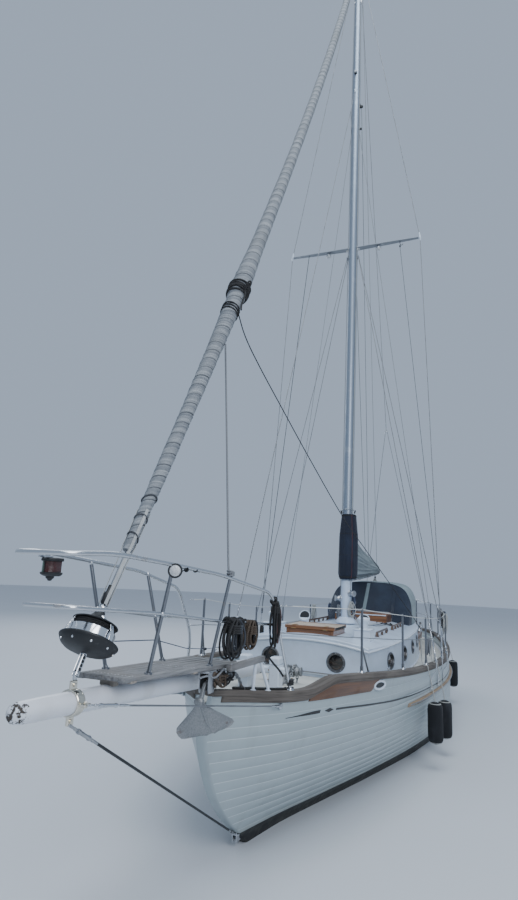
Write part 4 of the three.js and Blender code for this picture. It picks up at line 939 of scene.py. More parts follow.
SEAM_SHARES = np.unique(np.concatenate([
    np.linspace(0, 0.03, 7), np.linspace(0.03, 0.2, 26), np.linspace(0.2, 0.9, 50), np.linspace(0.9, 1, 22),
]))


# A closed shell of planks with a fine groove at each seam
def hull_shell():
    levels, depths, marks = [], [], []
    for plank in range(42):
        top, low = plank / 7, (plank + 1) / 7
        groove = 0.006 if plank < 14 else 0.010
        levels += [top, top + groove, (top + low) / 2, low - groove]
        depths += [0.0025 if plank else 0.0, 0.0, -0.0008, 0.0]
        marks += [plank, plank + groove * 7, plank + 0.5, plank + 1 - groove * 7]
    levels.append(6)
    depths.append(0.0)
    marks.append(42)
    levels, depths, marks = np.array(levels), np.array(depths), np.array(marks)
    u, v = np.meshgrid(SEAM_SHARES, levels, indexing="ij")
    side = hull_point(u, v)
    side[..., 1] -= depths[None, :] * np.minimum(1, side[..., 1:2].squeeze(-1) / 0.2)
    bow, stern = side[0], side[-1]
    shape = Shape()
    alongs = arc_lengths(side[:, 0])
    shape.grid(side, ends=False, us=alongs, vs=marks)
    other = side * V3(1, -1, 1)
    shape.grid(other[:, ::-1], ends=False, us=alongs, vs=marks[::-1])
    # the broad faces of stem and sternpost, their corners eased
    for edge, out in ((bow, 1), (stern, -1)):
        ks = np.array([1, 0.86, 0.45, 0, -0.45, -0.86, -1])
        push = np.array([0, 0.009, 0.012, 0.0125, 0.012, 0.009, 0]) * out
        rows = np.stack([edge * V3(1, k, 1) + V3(p, 0, 0) for k, p in zip(ks, push)])
        rows[:, 0, 0] = rows[0, 0, 0]
        rows[:, -1, 0] = rows[0, -1, 0]
        shape.grid(rows, ends=False, us=np.linspace(0, 0.1, 7) + 40, vs=np.full(len(levels), 0.5))
    for v in (0, -1):
        line = side[:, v]
        rows = np.stack([line * V3(1, k, 1) for k in (1, 0.86, 0.45, 0, -0.45, -0.86, -1)])
        shape.grid(rows, ends=False, us=np.linspace(0, 2, 7), vs=alongs)
    return shape


# A plain box between two corners
def box_shape(x0, x1, y0, y1, z0, z1):
    shape = Shape()
    ring = np.array([(y0, z0), (y1, z0), (y1, z1), (y0, z1)])
    rows = [[(x, y, z) for y, z in ring] for x in (x0, x1)]
    return shape.grid(rows, wrap=True)


TRUNK_FRONT, TRUNK_BACK, ROOF_EDGE_Z, WALL = 2.660, -1.900, 1.460, 0.040
TRUNK_XS = [2.660, 2.030, 0.770, -0.300, -1.270, -1.900]
TRUNK_HALF = [0.760, 0.830, 0.900, 0.895, 0.845, 0.790]
WELL = (-3.950, -2.150, 0.330, 0.420)
GUDGEONS = (0.760, -0.280, -1.420)
SHAFT_Z = -0.930
AXIS_BACK = 0.055
POST_DIR = unit(V3(-POST_SLOPE, 0, 1))


# Half breadth of the cabin trunk at its top
def trunk_half(x):
    return smooth(TRUNK_XS, TRUNK_HALF, x)


# Height of the cambered roof, the same at every x
def roof_z(x, y):
    return ROOF_EDGE_Z + 0.115 * (1 - (y / 0.9) ** 2)


# A point on the rudder's axis at a height
def rudder_axis(z):
    return V3(post_x(z) - AXIS_BACK / POST_DIR[2], 0, z)


# Half breadth of the hull at a place and height in metres
def hull_half(x, z):
    u = (stem_x(z) - x) / (stem_x(z) - post_x(z))
    low, high = 0.0, 6.0
    for _ in range(30):
        middle = (low + high) / 2
        if hull_point(u, middle)[2] > z:
            low = middle
        else:
            high = middle
    return float(breadth(u, low))


# The hollow of the cabin, cut from the hull
def cabin_hollow():
    rows = []
    for x in np.linspace(TRUNK_BACK + WALL, TRUNK_FRONT - WALL, 9):
        w = float(trunk_half(x)) - WALL
        low = min(w, hull_half(x, -0.15) - 0.1)
        rows.append([(x, w, 1.5), (x, w, 0.5), (x, low, -0.15), (x, -low, -0.15), (x, -w, 0.5), (x, -w, 1.5)])
    return Shape().grid(rows, wrap=True)


def build_hull():
    hull = piece("hull_planked", hull_shell(), HULL, instead="hull", sharp=50)
    cut(
        hull,
        cabin_hollow(),
        box_shape(WELL[0], WELL[1], -WELL[2], WELL[2], WELL[3], 1.5),
        box_shape(-4.7, -3.96, -0.2, 0.2, SHAFT_Z - 0.26, SHAFT_Z + 0.26),
    )
    fittings = Shape()
    for z in GUDGEONS:
        c = rudder_axis(z)
        turn = Vector((0, 0, 1)).rotation_difference(Vector(POST_DIR)).to_matrix()
        for sign in (1, -1):
            low, high = (-0.01, sign * 0.024 - 0.004, -0.02), (0.17, sign * 0.024 + 0.004, 0.02)
            arm = np.array(turn) @ V3(0.08, sign * 0.024, 0)
            fittings.block(low, high, 0.003, turn=turn, middle=c + arm)
            for x in (0.06, 0.11, 0.15):
                at = c + np.array(turn) @ V3(x, sign * 0.028, 0)
                fittings.turned(at, (0, sign, 0), [(0, 0.008), (0.003, 0.007), (0.004, 0.002)], 10)
        ring = [
            (-0.022, 0.0126), (-0.022, 0.028), (-0.019, 0.031), (0.019, 0.031), (0.022, 0.028),
            (0.022, 0.0126)
        ]
        fittings.turned(c, POST_DIR, [*ring, (-0.022, 0.0126)], 24)
    piece("gudgeons", fittings, BRONZE)
    eye = Shape()
    for sign in (1, -1):
        low, high = (4.36, sign * 0.018 - 0.005, 0.05), (4.47, sign * 0.018 + 0.005, 0.13)
        eye.block(low, high, 0.004)
    eye.turned(
        (4.455, -0.04, 0.112), (0, 1, 0), [(0, 0.004), (0.002, 0.012), (0.078, 0.012), (0.08, 0.004)], 14
    )
    piece("stem_eye", eye, STEEL)


build_hull()


def build_bulwarks():
    us = SEAM_SHARES
    for side, sign in SIDES.items():
        shape = Shape()
        h = bulwark_h(us)
        thick = np.minimum(BULWARK_T, smooth(SHARE, BREADTHS[0], us) - 0.008)
        outs = [rail_point(us, 0.0003)]
        for height, depth in ((0.0745, 0), (0.078, 0.0025), (0.0815, 0)):
            row = rail_point(us, np.minimum(height, h - 0.004))
            row[:, 1] -= depth
            outs.append(row)
        outs.append(rail_point(us, h))
        top, foot = outs[-1].copy(), outs[0].copy()
        for row in (top, foot):
            row[:, 1] = np.maximum(row[:, 1] - thick, 0.0003)
        rows = np.stack([*outs, top, foot], 1)
        vs = np.array([0.05, 0.93, 1.0, 1.07, 1.9, 2.5, 3.5, 3.99])
        shape.grid(rows * V3(1, sign, 1), wrap=True, vs=vs, us=arc_lengths(rows[:, 0]))
        piece(f"bulwark_{side}_planks", shape, HULL, instead=f"bulwark_{side}", sharp=50)


build_bulwarks()


# Weathered cap rail with rounded edges
def build_cap_rails():
    us = SEAM_SHARES
    for side, sign in SIDES.items():
        p = rail_point(us, bulwark_h(us) + 0.0003)
        outer = p[:, 1] + CAP_OUT
        inner = np.maximum(0.0003, outer - CAP_W)
        rows = []
        section = [(0, 0.010), (0.003, 0.003), (0.010, 0), (0.5, 0), (0.990, 0), (0.997, 0.003), (1, 0.010)]
        for (x, _, z), o, i in zip(p, outer, inner):
            w = o - i
            ring = []
            for along, drop in section:
                a = along * w if along in (0, 0.5, 1) else (
                    along * CAP_W if along < 0.5 else w - (1 - along) * CAP_W
                )
                ring.append((x, i + a, z + CAP_T - drop * 0.9 + (0.0015 if along == 0.5 else 0)))
            ring += [(x, o, z + 0.006), (x, o - 0.006, z), (x, i + min(0.006, w / 3), z), (x, i, z + 0.006)]
            rows.append(ring)
        rows = np.array(rows) * V3(1, sign, 1)
        shape = Shape().grid(rows, wrap=True)
        piece(f"cap_rail_{side}_board", shape, GREY_RAIL, instead=f"cap_rail_{side}")


build_cap_rails()


# Strips laid on the topsides between two lines, from one share of the length to another
def laid_strip(us, low, high, thick, lift=0.0):
    rows = []
    for u in us:
        a, b = low(u), high(u)
        middle = (a + b) / 2
        bulge = V3(0, thick, 0)
        a, b, inward = a + V3(0, lift, 0), b + V3(0, lift, 0), V3(0, -0.004, 0)
        ring = [
            a + inward, a + bulge * 0.55, lerp(a, middle, 0.35) + bulge * 0.95,
            middle + V3(0, lift, 0) + bulge
        ]
        ring += [lerp(b, middle, 0.35) + bulge * 0.95, b + bulge * 0.55, b + inward]
        rows.append(ring)
    return np.array(rows)


COVE_U = [0.055, 0.1, 0.18, 0.26, 0.38, 0.6, 0.9]
COVE_V = [0.075, 0.05, 0.10, 0.15, 0.19, 0.22, 0.2]


# The black line let into the topsides, with its taper and small diamond at the bow
def build_cove_lines():
    shape = Shape()

    def strip(us, half):
        def edge(sign):
            def at(u):
                v = smooth(COVE_U, COVE_V, u) + sign * half(u)
                return hull_point(u, max(0.002, v)) if v > 0.002 else rail_point(u, 0.002)
            return at
        rows = []
        for u in us:
            a, b = edge(1)(u), edge(-1)(u)
            out, inside = V3(0, 0.0022, 0), V3(0, -0.006, 0)
            rows.append([a + inside, a + out, b + out, b + inside])
        shape.grid(np.array(rows), wrap=True)

    strip(np.linspace(0.0575, 0.096, 24), lambda u: 0.004 + 0.020 * float(rise(0.0575, 0.092, u)))
    strip(np.linspace(0.1025, 0.115, 13), lambda u: 0.003 + 0.030 * (1 - abs(u - 0.10875) / 0.00625))
    strip(np.linspace(0.119, 0.92, 90), lambda u: 0.0165)
    shape.both_sides()
    piece("cove_lines", shape, COVE)


build_cove_lines()


# Varnished panel below the raised cap at the bow, its edge moulding and the oval chock behind it
def build_rail_panels():
    for side, sign in SIDES.items():
        us = np.linspace(0.076, 0.186, 46)
        top = lambda u: rail_point(u, float(bulwark_h(u)) - 0.006)
        bottom = lambda u: rail_point(
            u, min(float(bulwark_h(u)) - 0.012, 0.075 + 0.085 * float(rise(0.174, 0.186, u)))
        )
        shape = Shape().grid(laid_strip(us, bottom, top, 0.012) * V3(1, sign, 1), wrap=True)
        piece(
            f"rail_panel_{side}_board", shape, VARNISH_PANEL, instead=f"rail_panel_{side}",
        )
        moulding = Shape()
        low = lambda u: rail_point(u, float(bulwark_h(u)) - 0.020)
        high = lambda u: rail_point(u, float(bulwark_h(u)) + 0.000)
        low = lambda u: rail_point(u, float(bulwark_h(u)) - 0.044 + 0.024 * float(rise(0.070, 0.084, u)))
        us = np.linspace(0.006, 0.980, 240)
        moulding.grid(laid_strip(us, low, high, 0.016, 0.008) * V3(1, sign, 1), wrap=True)
        piece(f"rail_moulding_{side}", moulding, GREY_RAIL)
        chock = Shape()
        u = share_at(3.21, 0.13)
        c = rail_point(u, 0.125) + V3(0, 0.007, 0)
        fore = unit(rail_point(u - 0.01, 0.125) - rail_point(u + 0.01, 0.125))
        lean = V3(0, 0.1, 1)
        chock.bar(hoop(c, fore * 0.130, lean * 0.040, 40), 0.014, 12, loop=True)
        piece(f"chock_{side}", mirrored(chock, sign), TRIM_WHITE)
        # A black plug filling the chock's opening: painted shade for the dark hole through it
        hole = Shape()
        inner = hoop(c, fore * 0.120, lean * 0.031, 40)
        hole.grid([inner + V3(0, -0.006, 0), inner + V3(0, 0.0005, 0)], wrap=True)
        piece(f"chock_shade_plug_{side}", mirrored(hole, sign), BLACK)


# The shape on port, or its mirror image on starboard
def mirrored(shape, sign):
    if sign < 0:
        shape.points = [p * V3(1, -1, 1) for p in shape.points]
    return shape


build_rail_panels()


def build_rub_strakes():
    for side, sign in SIDES.items():
        us = np.linspace(0.3, 0.93, 90)
        rows = []
        for u in us:
            a, b = hull_point(u, 0.43), hull_point(u, 0.33)
            base = min(a[1], b[1]) - 0.008
            grow = min(1, 0.25 + min(u - 0.3, 0.93 - u) / 0.03 * 0.6)
            out = max(a[1], b[1]) + 0.003 + 0.034 * grow
            x, low, high = a[0], a[2], b[2]
            rows.append([
                (x, base, low), (x, out - 0.010, low + 0.004), (x, out - 0.003, low + 0.012),
                (x, out, (low + high) / 2),
                (x, out - 0.003, high - 0.012), (x, out - 0.010, high - 0.004), (x, base, high),
            ])
        shape = Shape().grid(np.array(rows) * V3(1, sign, 1), wrap=True)
        piece(f"rub_strake_{side}_board", shape, STRAKE, instead=f"rub_strake_{side}")
        iron = Shape()
        line = np.array([(r[3][0], r[3][1] + 0.001, r[3][2]) for r in rows[1:-1]])
        iron.bar(line * V3(1, sign, 1), 0.0075, 8, round_ends=True, squash=1.0)
        piece(f"strake_iron_{side}", iron, DULL_STEEL)


build_rub_strakes()


# Cabin trunk: cambered sides, port rings and dark glass
def trunk_base(x):
    return float(deck_z(share_at(x))) + 0.0003


SIDE_LIGHTS = (1.700, 0.750, -0.200, -1.150)
LIGHT_Z, LIGHT_LONG, LIGHT_TALL = 1.270, 0.165, 0.08
FRONT_LIGHT_R = 0.088
FRONT_LIGHTS = ((0.400, 1.315), (-0.400, 1.315))


# Top of the walls, just under the crowned roof
def wall_top(y):
    return max(ROOF_EDGE_Z, roof_z(0, y) - 0.0293)


# A point on the trunk's sloping side
def trunk_side(x, z, sign=1):
    low = trunk_base(x)
    t = (z - low) / (ROOF_EDGE_Z - low)
    return V3(x, sign * lerp(float(trunk_half(x)) + 0.04, float(trunk_half(x)), t), z)


def build_trunk():
    xs = np.linspace(TRUNK_FRONT - 0.002, TRUNK_BACK + 0.002, 70)
    rows = []
    for x in xs:
        w, low = float(trunk_half(x)), trunk_base(x)
        ring = [(x, w + 0.04, low)]
        ring += [(x, w + 0.04 * (1 - t), lerp(low, ROOF_EDGE_Z, t)) for t in (0.2, 0.5, 0.8)]
        ring += [(x, w, wall_top(w)), (x, w - WALL, wall_top(w - WALL)), (x, w - WALL + 0.036, low)]
        rows.append(ring)
    for side, sign in SIDES.items():
        wall = Shape().grid(np.array(rows) * V3(1, sign, 1), wrap=True)
        tools = []
        for x in SIDE_LIGHTS:
            middle = sign * float(trunk_half(x))
            ring = hoop(V3(x, 0, LIGHT_Z), V3(LIGHT_LONG, 0, 0), V3(0, 0, LIGHT_TALL), 48)
            tools.append(
                Shape().grid([ring + V3(0, middle - 0.15, 0), ring + V3(0, middle + 0.15, 0)], wrap=True)
            )
        names = ("cabin_trunk",) if sign > 0 else ()
        made = piece(f"trunk_wall_{side}", wall, WHITE, instead=names)
        cut(made, *tools)
    for name, x, tools in (
        ("front", TRUNK_FRONT, [round_tool(y, z) for y, z in FRONT_LIGHTS]),
        ("back", TRUNK_BACK + WALL, [box_shape(TRUNK_BACK - 0.1, TRUNK_BACK + 0.1, -0.3, 0.3, 1.0, 1.7)]),
    ):
        low = trunk_base(TRUNK_FRONT if name == "front" else TRUNK_BACK)
        w = float(trunk_half(x)) + 0.0006
        ys = np.linspace(-1, 1, 25)
        ring_at = lambda k: [(k, y * (w + 0.039), low) for y in ys] + [
            (k, y * w, wall_top(y * w)) for y in ys[::-1]
        ]
        slab = Shape().grid([ring_at(x), ring_at(x - WALL)], wrap=True)
        made = piece(f"trunk_{name}", slab, WHITE)
        cut(made, *tools)


# The cutter for a round light in the trunk's front
def round_tool(y, z):
    ring = hoop(V3(0, y, z), V3(0, FRONT_LIGHT_R, 0), V3(0, 0, FRONT_LIGHT_R), 40)
    return Shape().grid([ring + V3(TRUNK_FRONT - 0.2, 0, 0), ring + V3(TRUNK_FRONT + 0.2, 0, 0)], wrap=True)


build_trunk()


DARK_RING = stainless("dark port ring", (0.16, 0.16, 0.17), 0.36)


# Port lights: a raised ring with screws, dark glass set back in it
def build_lights():
    rings, panes, screws = Shape(), Shape(), Shape()

    def light(centre, out, along, a, b):
        up = unit(np.cross(out, along))
        t = full_turn(56)

        def loop(k, lift):
            sizes = np.stack([np.cos(t) * (a + k), np.sin(t) * (b + k)], 1)
            return centre + out * lift + sizes[:, :1] * along + sizes[:, 1:] * up

        section = [
            (0.024, -0.006), (0.024, 0.004), (0.018, 0.009), (0.004, 0.011), (-0.004, 0.008),
            (-0.008, -0.012)
        ]
        rows = np.array([loop(k, lift) for k, lift in [*section, (0.0, -0.03), (0.02, -0.03)]])
        rings.grid(
            rows, loop=True, wrap=True, us=np.linspace(0, 0.1, len(rows) + 1), vs=np.linspace(0, 1, 57)
        )
        panes.grid([loop(-0.002, -0.022), loop(-0.002, -0.014)], wrap=True)
        for k in range(10):
            angle = 2 * math.pi * (k + 0.5) / 10
            at = centre + along * math.cos(angle) * (a + 0.012) + out * 0.0095
            at = at + up * math.sin(angle) * (b + 0.012)
            screws.turned(at, out, [(-0.002, 0.0045), (0.0012, 0.0042), (0.002, 0.002)], 8)

    for y, z in FRONT_LIGHTS:
        light(V3(TRUNK_FRONT, y, z), V3(1, 0, 0), V3(0, 1, 0), FRONT_LIGHT_R, FRONT_LIGHT_R)
    for x in SIDE_LIGHTS:
        for sign in (1, -1):
            here, there = trunk_side(x - 0.1, LIGHT_Z, sign), trunk_side(x + 0.1, LIGHT_Z, sign)
            along = unit(there - here)
            up = unit(trunk_side(x, LIGHT_Z + 0.1, sign) - trunk_side(x, LIGHT_Z - 0.1, sign))
            out = unit(np.cross(along, up)) * (-sign if np.cross(along, up)[1] * sign < 0 else 1)
            out = out if out[1] * sign > 0 else -out
            light(trunk_side(x, LIGHT_Z, sign) + out * 0.001, out, along, LIGHT_LONG, LIGHT_TALL)
    piece("light_rings", rings, DARK_RING, sharp=30)
    piece("light_glass", panes, GLASS)
    piece("light_screws", screws, STEEL)


build_lights()


# Roof with a rolled edge, a half-round moulding round it and handrails on top
def build_roof():
    xs = np.concatenate(
        [
            [TRUNK_FRONT + 0.018], np.linspace(TRUNK_FRONT + 0.008, TRUNK_BACK - 0.008, 60),
            [TRUNK_BACK - 0.018]
        ]
    )
    rows = []
    for i, x in enumerate(xs):
        ended = i in (0, len(xs) - 1)
        w = float(trunk_half(min(TRUNK_FRONT, max(TRUNK_BACK, x)))) + 0.018 - (0.01 if ended else 0)
        ks = np.linspace(1, -1, 33)
        down = 0.008 if ended else 0.0
        top = [(x, k * w, roof_z(x, k * w) + 0.012 - down - (0.010 if abs(k) == 1 else 0)) for k in ks]
        low = [(x, k * w, max(ROOF_EDGE_Z + 0.0003, roof_z(x, k * w) - 0.028)) for k in ks[::-1]]
        rows.append(top + low)
    roof = piece(
        "roof_shell", Shape().grid(rows, wrap=True), WHITE, instead="cabin_roof",
        sharp=30
    )
    cut(roof, box_shape(1.84, 2.36, -0.26, 0.26, 1.3, 1.8), box_shape(-1.96, -1.29, -0.305, 0.305, 1.3, 1.8))
    moulding = Shape()
    stations = np.linspace(TRUNK_FRONT, TRUNK_BACK, 60)
    loop = [V3(x, float(trunk_half(x)) + 0.016, ROOF_EDGE_Z - 0.006) for x in stations]
    front = [V3(TRUNK_FRONT + 0.016, y, wall_top(y) - 0.006) for y in np.linspace(-0.76, 0.76, 20)]
    path = [p * V3(1, -1, 1) for p in loop[::-1]] + front + loop
    moulding.bar(path, 0.013, 8)
    piece("roof_edge_moulding", moulding, TRIM_WHITE)
    foot = Shape()
    loop = [trunk_side(x, trunk_base(x) + 0.052) + V3(0, 0.004, 0) for x in stations]
    front_z = trunk_base(TRUNK_FRONT) + 0.052 + 0.028
    widths = np.linspace(-0.78, 0.78, 20)
    front = [V3(TRUNK_FRONT + 0.006, y, front_z + 0.03 * (1 - (y / 0.8) ** 2)) for y in widths]
    port = [p + V3(0, 0, 0.01) for p in loop]
    path = [p * V3(1, -1, 1) for p in port[::-1]] + front + port
    foot.bar(path, 0.012, 8)
    piece("trunk_foot_moulding", foot, TRIM_WHITE)
    rails = Shape()
    for sign in (1, -1):
        for x0, x1 in ((1.45, 0.75), (0.15, -0.95)):
            n = max(2, int(round((x0 - x1) / 0.28)))
            y = sign * 0.66
            feet = np.linspace(x0, x1, n + 1)
            rail = [V3(x, y, roof_z(x, y) + 0.066) for x in np.linspace(x0 + 0.06, x1 - 0.06, 30)]
            rail = [V3(x0 + 0.10, y, roof_z(x0, y) + 0.030), *rail, V3(x1 - 0.10, y, roof_z(x1, y) + 0.030)]
            rails.bar(through(rail, 0.03), 0.014, 10, round_ends=True)
            for x in feet:
                z = roof_z(x, y) + 0.008
                rails.bar([V3(x, y, z), V3(x, y, z + 0.012), V3(x, y, z + 0.05)], [0.024, 0.016, 0.013], 10)
    piece("roof_handrails", rails, DARK_TEAK)
    # the thin dark batten seen along the foot of the trunk's front
    batten = Shape()
    batten.bar(
        through(
            [V3(2.68, -0.60, 1.176), V3(2.69, 0, 1.188), V3(2.68, 0.62, 1.180), V3(2.30, 0.90, 1.150)], 0.03
        ),
        0.007, 8
    )
    piece("spray_batten", batten, GREY_SLAT)


build_roof()


# Deck with a smooth margin and gritty paint inside it
def build_deck():
    us = SEAM_SHARES[(SEAM_SHARES > 0.02) & (SEAM_SHARES < 0.98)]
    ks = np.concatenate([[1], np.linspace(0.985, -0.985, 41), [-1]])
    rows = []
    for u in us:
        e = rail_point(u, 0, BULWARK_T + 0.006)
        top = [(e[0], k * e[1], float(deck_top(u, k * e[1]))) for k in ks]
        rows.append(top + [(e[0], -e[1], e[2] + 0.0003), (e[0], e[1], e[2] + 0.0003)])
    rows = np.array(rows)
    shape = Shape()
    n = rows.shape[1]
    shape.grid(rows, wrap=True, us=arc_lengths(rows[:, n // 2]), vs=np.arange(n + 1.0))
    # each corner's v becomes its distance from the deck's edge
    edge = {float(r[0][0]): r[0][1] for r in rows}
    xs = np.array(sorted(edge))
    half = np.array([edge[x] for x in xs])
    points = np.vstack(shape.points)
    shape.sheet = [
        tuple((points[k][0], float(np.interp(points[k][0], xs, half)) - abs(points[k][1])) for k in face)
        for face in shape.faces
    ]
    deck = piece("deck_board", shape, DECK, instead="deck", sharp=30)
    hole = []
    for x in np.linspace(TRUNK_BACK - 0.0003, TRUNK_FRONT + 0.0003, 60):
        w = float(trunk_half(x)) + 0.0453
        hole.append([(x, w, 0), (x, w, 2), (x, -w, 2), (x, -w, 0)])
    well = box_shape(WELL[0], WELL[1], -WELL[2], WELL[2], 0, 2)
    cut(deck, Shape().grid(hole, wrap=True), well)


build_deck()


HATCH_TOP = 1.587
RUNNER_Z = HATCH_TOP + 0.034


# Fore hatch: a varnished frame, a lid of planks between breadboard ends
def build_fore_hatch():
    frame_shape = Shape()
    for sign in (1, -1):
        for z0, z1, grow in ((1.535, 1.632, 0.0), (1.535, 1.560, 0.016)):
            low = (1.8 - grow, sign * 0.28 - 0.02 - grow, z0)
            high = (2.4 + grow, sign * 0.28 + 0.02 + grow, z1)
            frame_shape.block(low, high, 0.005, finish=0)
    for x in (1.82, 2.38):
        frame_shape.block((x - 0.02, -0.26, 1.548), (x + 0.02, 0.26, 1.632), 0.005, finish=1)
    fit_over_roof(frame_shape)
    piece(
        "fore_hatch_coaming", frame_shape, [VARNISH, VARNISH_ACROSS], instead="fore_hatch_frame",
    )
    lid = Shape()
    z0, z1 = 1.6326, 1.6740
    for x in (1.815, 2.385):
        lid.block((x - 0.03, -0.315, z0), (x + 0.03, 0.315, z1), 0.006, finish=1)
    edges = np.linspace(-0.315, 0.315, 8)
    for a, b in zip(edges, edges[1:]):
        lid.block((1.8455, a + 0.0012, z0 + 0.004), (2.3545, b - 0.0012, z1 - 0.003), 0.003)
    piece(
        "fore_hatch_lid", lid, [BLEACHED, VARNISH_ACROSS], body="fore_hatch_body", instead="fore_hatch",
    )
    caulk = Shape()
    caulk.block((1.846, -0.314, z0 + 0.006), (2.354, 0.314, z1 - 0.007), 0.001)
    piece("fore_hatch_caulking", caulk, SOFT_BLACK, body="fore_hatch_body")
    hinges = Shape()
    for y in (-0.2, 0.2):
        hinges.turned(
            (2.415, y - 0.03, 1.637), (0, 1, 0),
            [(0, 0.002), (0.001, 0.0055), (0.059, 0.0055), (0.06, 0.002)], 12
        )
        hinges.block((2.30, y - 0.022, z1 - 0.001), (2.412, y + 0.022, z1 + 0.003), 0.001)
    piece("fore_hatch_hinges", hinges, BRONZE, body="fore_hatch_body")


# Lifts the points of a shape that would lie under the roof's skin
def fit_over_roof(shape, lift=0.0004):
    for block in shape.points:
        for p in block:
            p[2] = max(p[2], roof_z(p[0], p[1]) + 0.012 + lift)


build_fore_hatch()


# Hood over the sliding hatch, its runners, the hatch's own planks
def build_companionway():
    hood = Shape()
    top = RUNNER_Z + 0.092
    rows = []
    for x, drop in (
        (-0.640, 0.030), (-0.648, 0.008), (-0.664, 0.0), (-1.300, 0.0), (-1.308, 0.004), (-1.310, 0.012)
    ):
        ring = [(x, 0.440, HATCH_TOP - 0.06), (x, 0.440, top - 0.026 - drop), (x, 0.428, top - 0.012 - drop)]
        ring += [(x, 0.40, top - 0.006 - drop)]
        ring += [(x, y, top - drop - 0.006 * (y / 0.4) ** 2) for y in (0.2, 0, -0.2)]
        ring += [
            (x, -0.40, top - 0.006 - drop), (x, -0.428, top - 0.012 - drop), (x, -0.440, top - 0.026 - drop)
        ]
        ring += [(x, -0.440, HATCH_TOP - 0.06)]
        rows.append(ring)
    hood.grid(rows, wrap=True)
    fit_over_roof(hood)
    made = piece("hood_box", hood, VARNISH_ACROSS, instead="hatch_hood", sharp=30)
    cut(made, box_shape(-1.40, -0.69, -0.395, 0.395, HATCH_TOP - 0.1, RUNNER_Z + 0.064))
    runners = Shape()
    for sign in (1, -1):
        runners.block(
            (-1.93, sign * 0.3875 - 0.0525, HATCH_TOP - 0.06),
            (-1.305, sign * 0.3875 + 0.0525, RUNNER_Z - 0.0003), 0.004
        )
        runners.bar(
            [V3(-1.925, sign * 0.395, RUNNER_Z + 0.001), V3(-1.312, sign * 0.395, RUNNER_Z + 0.001)], 0.003,
            6
        )
    fit_over_roof(runners)
    piece("hatch_runners", runners, VARNISH)
    trim = Shape()
    trim.bar(through([V3(-0.636, y, top - 0.030) for y in (-0.43, 0, 0.43)], 0.05), 0.008, 8)
    piece("hood_nosing", trim, TRIM_WHITE)
    hatch = Shape()
    edges = np.linspace(-0.385, 0.385, 8)
    for a, b in zip(edges, edges[1:]):
        hatch.block((-1.918, a + 0.0012, RUNNER_Z + 0.002), (-1.252, b - 0.0012, RUNNER_Z + 0.036), 0.003)
    hatch.block((-1.930, -0.385, RUNNER_Z + 0.0004), (-1.885, 0.385, RUNNER_Z + 0.040), 0.006, finish=1)
    hatch.bar(bent([V3(-1.90, -0.1, RUNNER_Z + 0.036), V3(-1.90, -0.09, RUNNER_Z + 0.058),
                    V3(-1.90, 0.09, RUNNER_Z + 0.058),
                    V3(-1.90, 0.1, RUNNER_Z + 0.036)], 0.02), 0.007, 8)
    piece(
        "sliding_hatch_planks", hatch, [VARNISH, VARNISH_ACROSS], body="sliding_hatch_body",
        instead="sliding_hatch"
    )
    boards = Shape()
    for k in range(3):
        z0, z1 = 1.0012 + k * 0.2048, 1.0012 + (k + 1) * 0.2048 - 0.003
        boards.block((-1.894, -0.299, z0), (-1.870, 0.299, z1), 0.004)
    piece("companion_boards", boards, VARNISH_ACROSS, instead="washboards")
    cheeks = Shape()
    for sign in (1, -1):
        cheeks.block((-1.925, sign * 0.315 - 0.02, 1.0), (-1.8605, sign * 0.315 + 0.013, 1.56), 0.004)
    piece("companion_posts", cheeks, VARNISH_UP)


build_companionway()


# Ventilators: a painted box, a bowl and a cap on it
def build_vents():
    for side, sign in SIDES.items():
        x, y = 2.010, sign * 0.590
        seat = roof_z(x, y) + 0.012
        box = Shape()
        box.block((x - 0.15, y - 0.1, seat - 0.04), (x + 0.15, y + 0.1, seat + 0.112), 0.008)
        box.block((x - 0.158, y - 0.108, seat + 0.108), (x + 0.158, y + 0.108, seat + 0.125), 0.006)
        fit_over_roof(box)
        c = V3(x + 0.04, y, seat + 0.12)
        bowl = [(0, 0.060), (0.004, 0.062), (0.012, 0.050), (0.058, 0.049), (0.070, 0.056), (0.085, 0.070),
                (0.105, 0.078),
                (0.118, 0.080), (0.121, 0.0795), (0.121, 0.074), (0.119, 0.070)]
        box.turned(c, (0, 0, 1), bowl, 32)
        piece(f"ventilator_{side}_box", box, TRIM_WHITE, instead=f"ventilator_{side}")
        cap = Shape()
        dome = [
            (0.119, 0.071), (0.122, 0.073), (0.128, 0.071), (0.136, 0.060), (0.140, 0.045), (0.1415, 0.02),
            (0.142, 0.003)
        ]
        cap.turned(c, (0, 0, 1), dome, 28)
        piece(f"ventilator_{side}_cap", cap, TRIM_WHITE)
    cowls = Shape()
    lining = Shape()
    for x, y in ((1.15, -0.43), (1.15, 0.43)):
        seat = roof_z(x, y) + 0.012
        cowls.turned((x, y, seat), (0, 0, 1), [(0, 0.062), (0.006, 0.062), (0.010, 0.050), (0.02, 0.048)], 24)
        path = through(
            [
                V3(x, y, seat), V3(x, y, seat + 0.07), V3(x + 0.012, y, seat + 0.115),
                V3(x + 0.05, y, seat + 0.150)
            ],
            0.012
        )
        radii = np.interp(np.linspace(0, 1, len(path)), [0, 0.5, 0.8, 1], [0.047, 0.048, 0.060, 0.078])
        cowls.bar(path, radii, 22)
        out = unit(V3(0.75, 0, 0.35))
        cowls.turned(
            path[-1] - out * 0.003, out,
            [(0, 0.074), (0.004, 0.081), (0.009, 0.082), (0.011, 0.078), (0.006, 0.070)], 28
        )
        lining.turned(path[-1] + out * 0.005, out, [(0, 0.069), (0.003, 0.066), (0.0035, 0.002)], 24)
    piece("cowl_vents", cowls, TRIM_WHITE)
    piece("cowl_mouths", lining, BLACK)


build_vents()


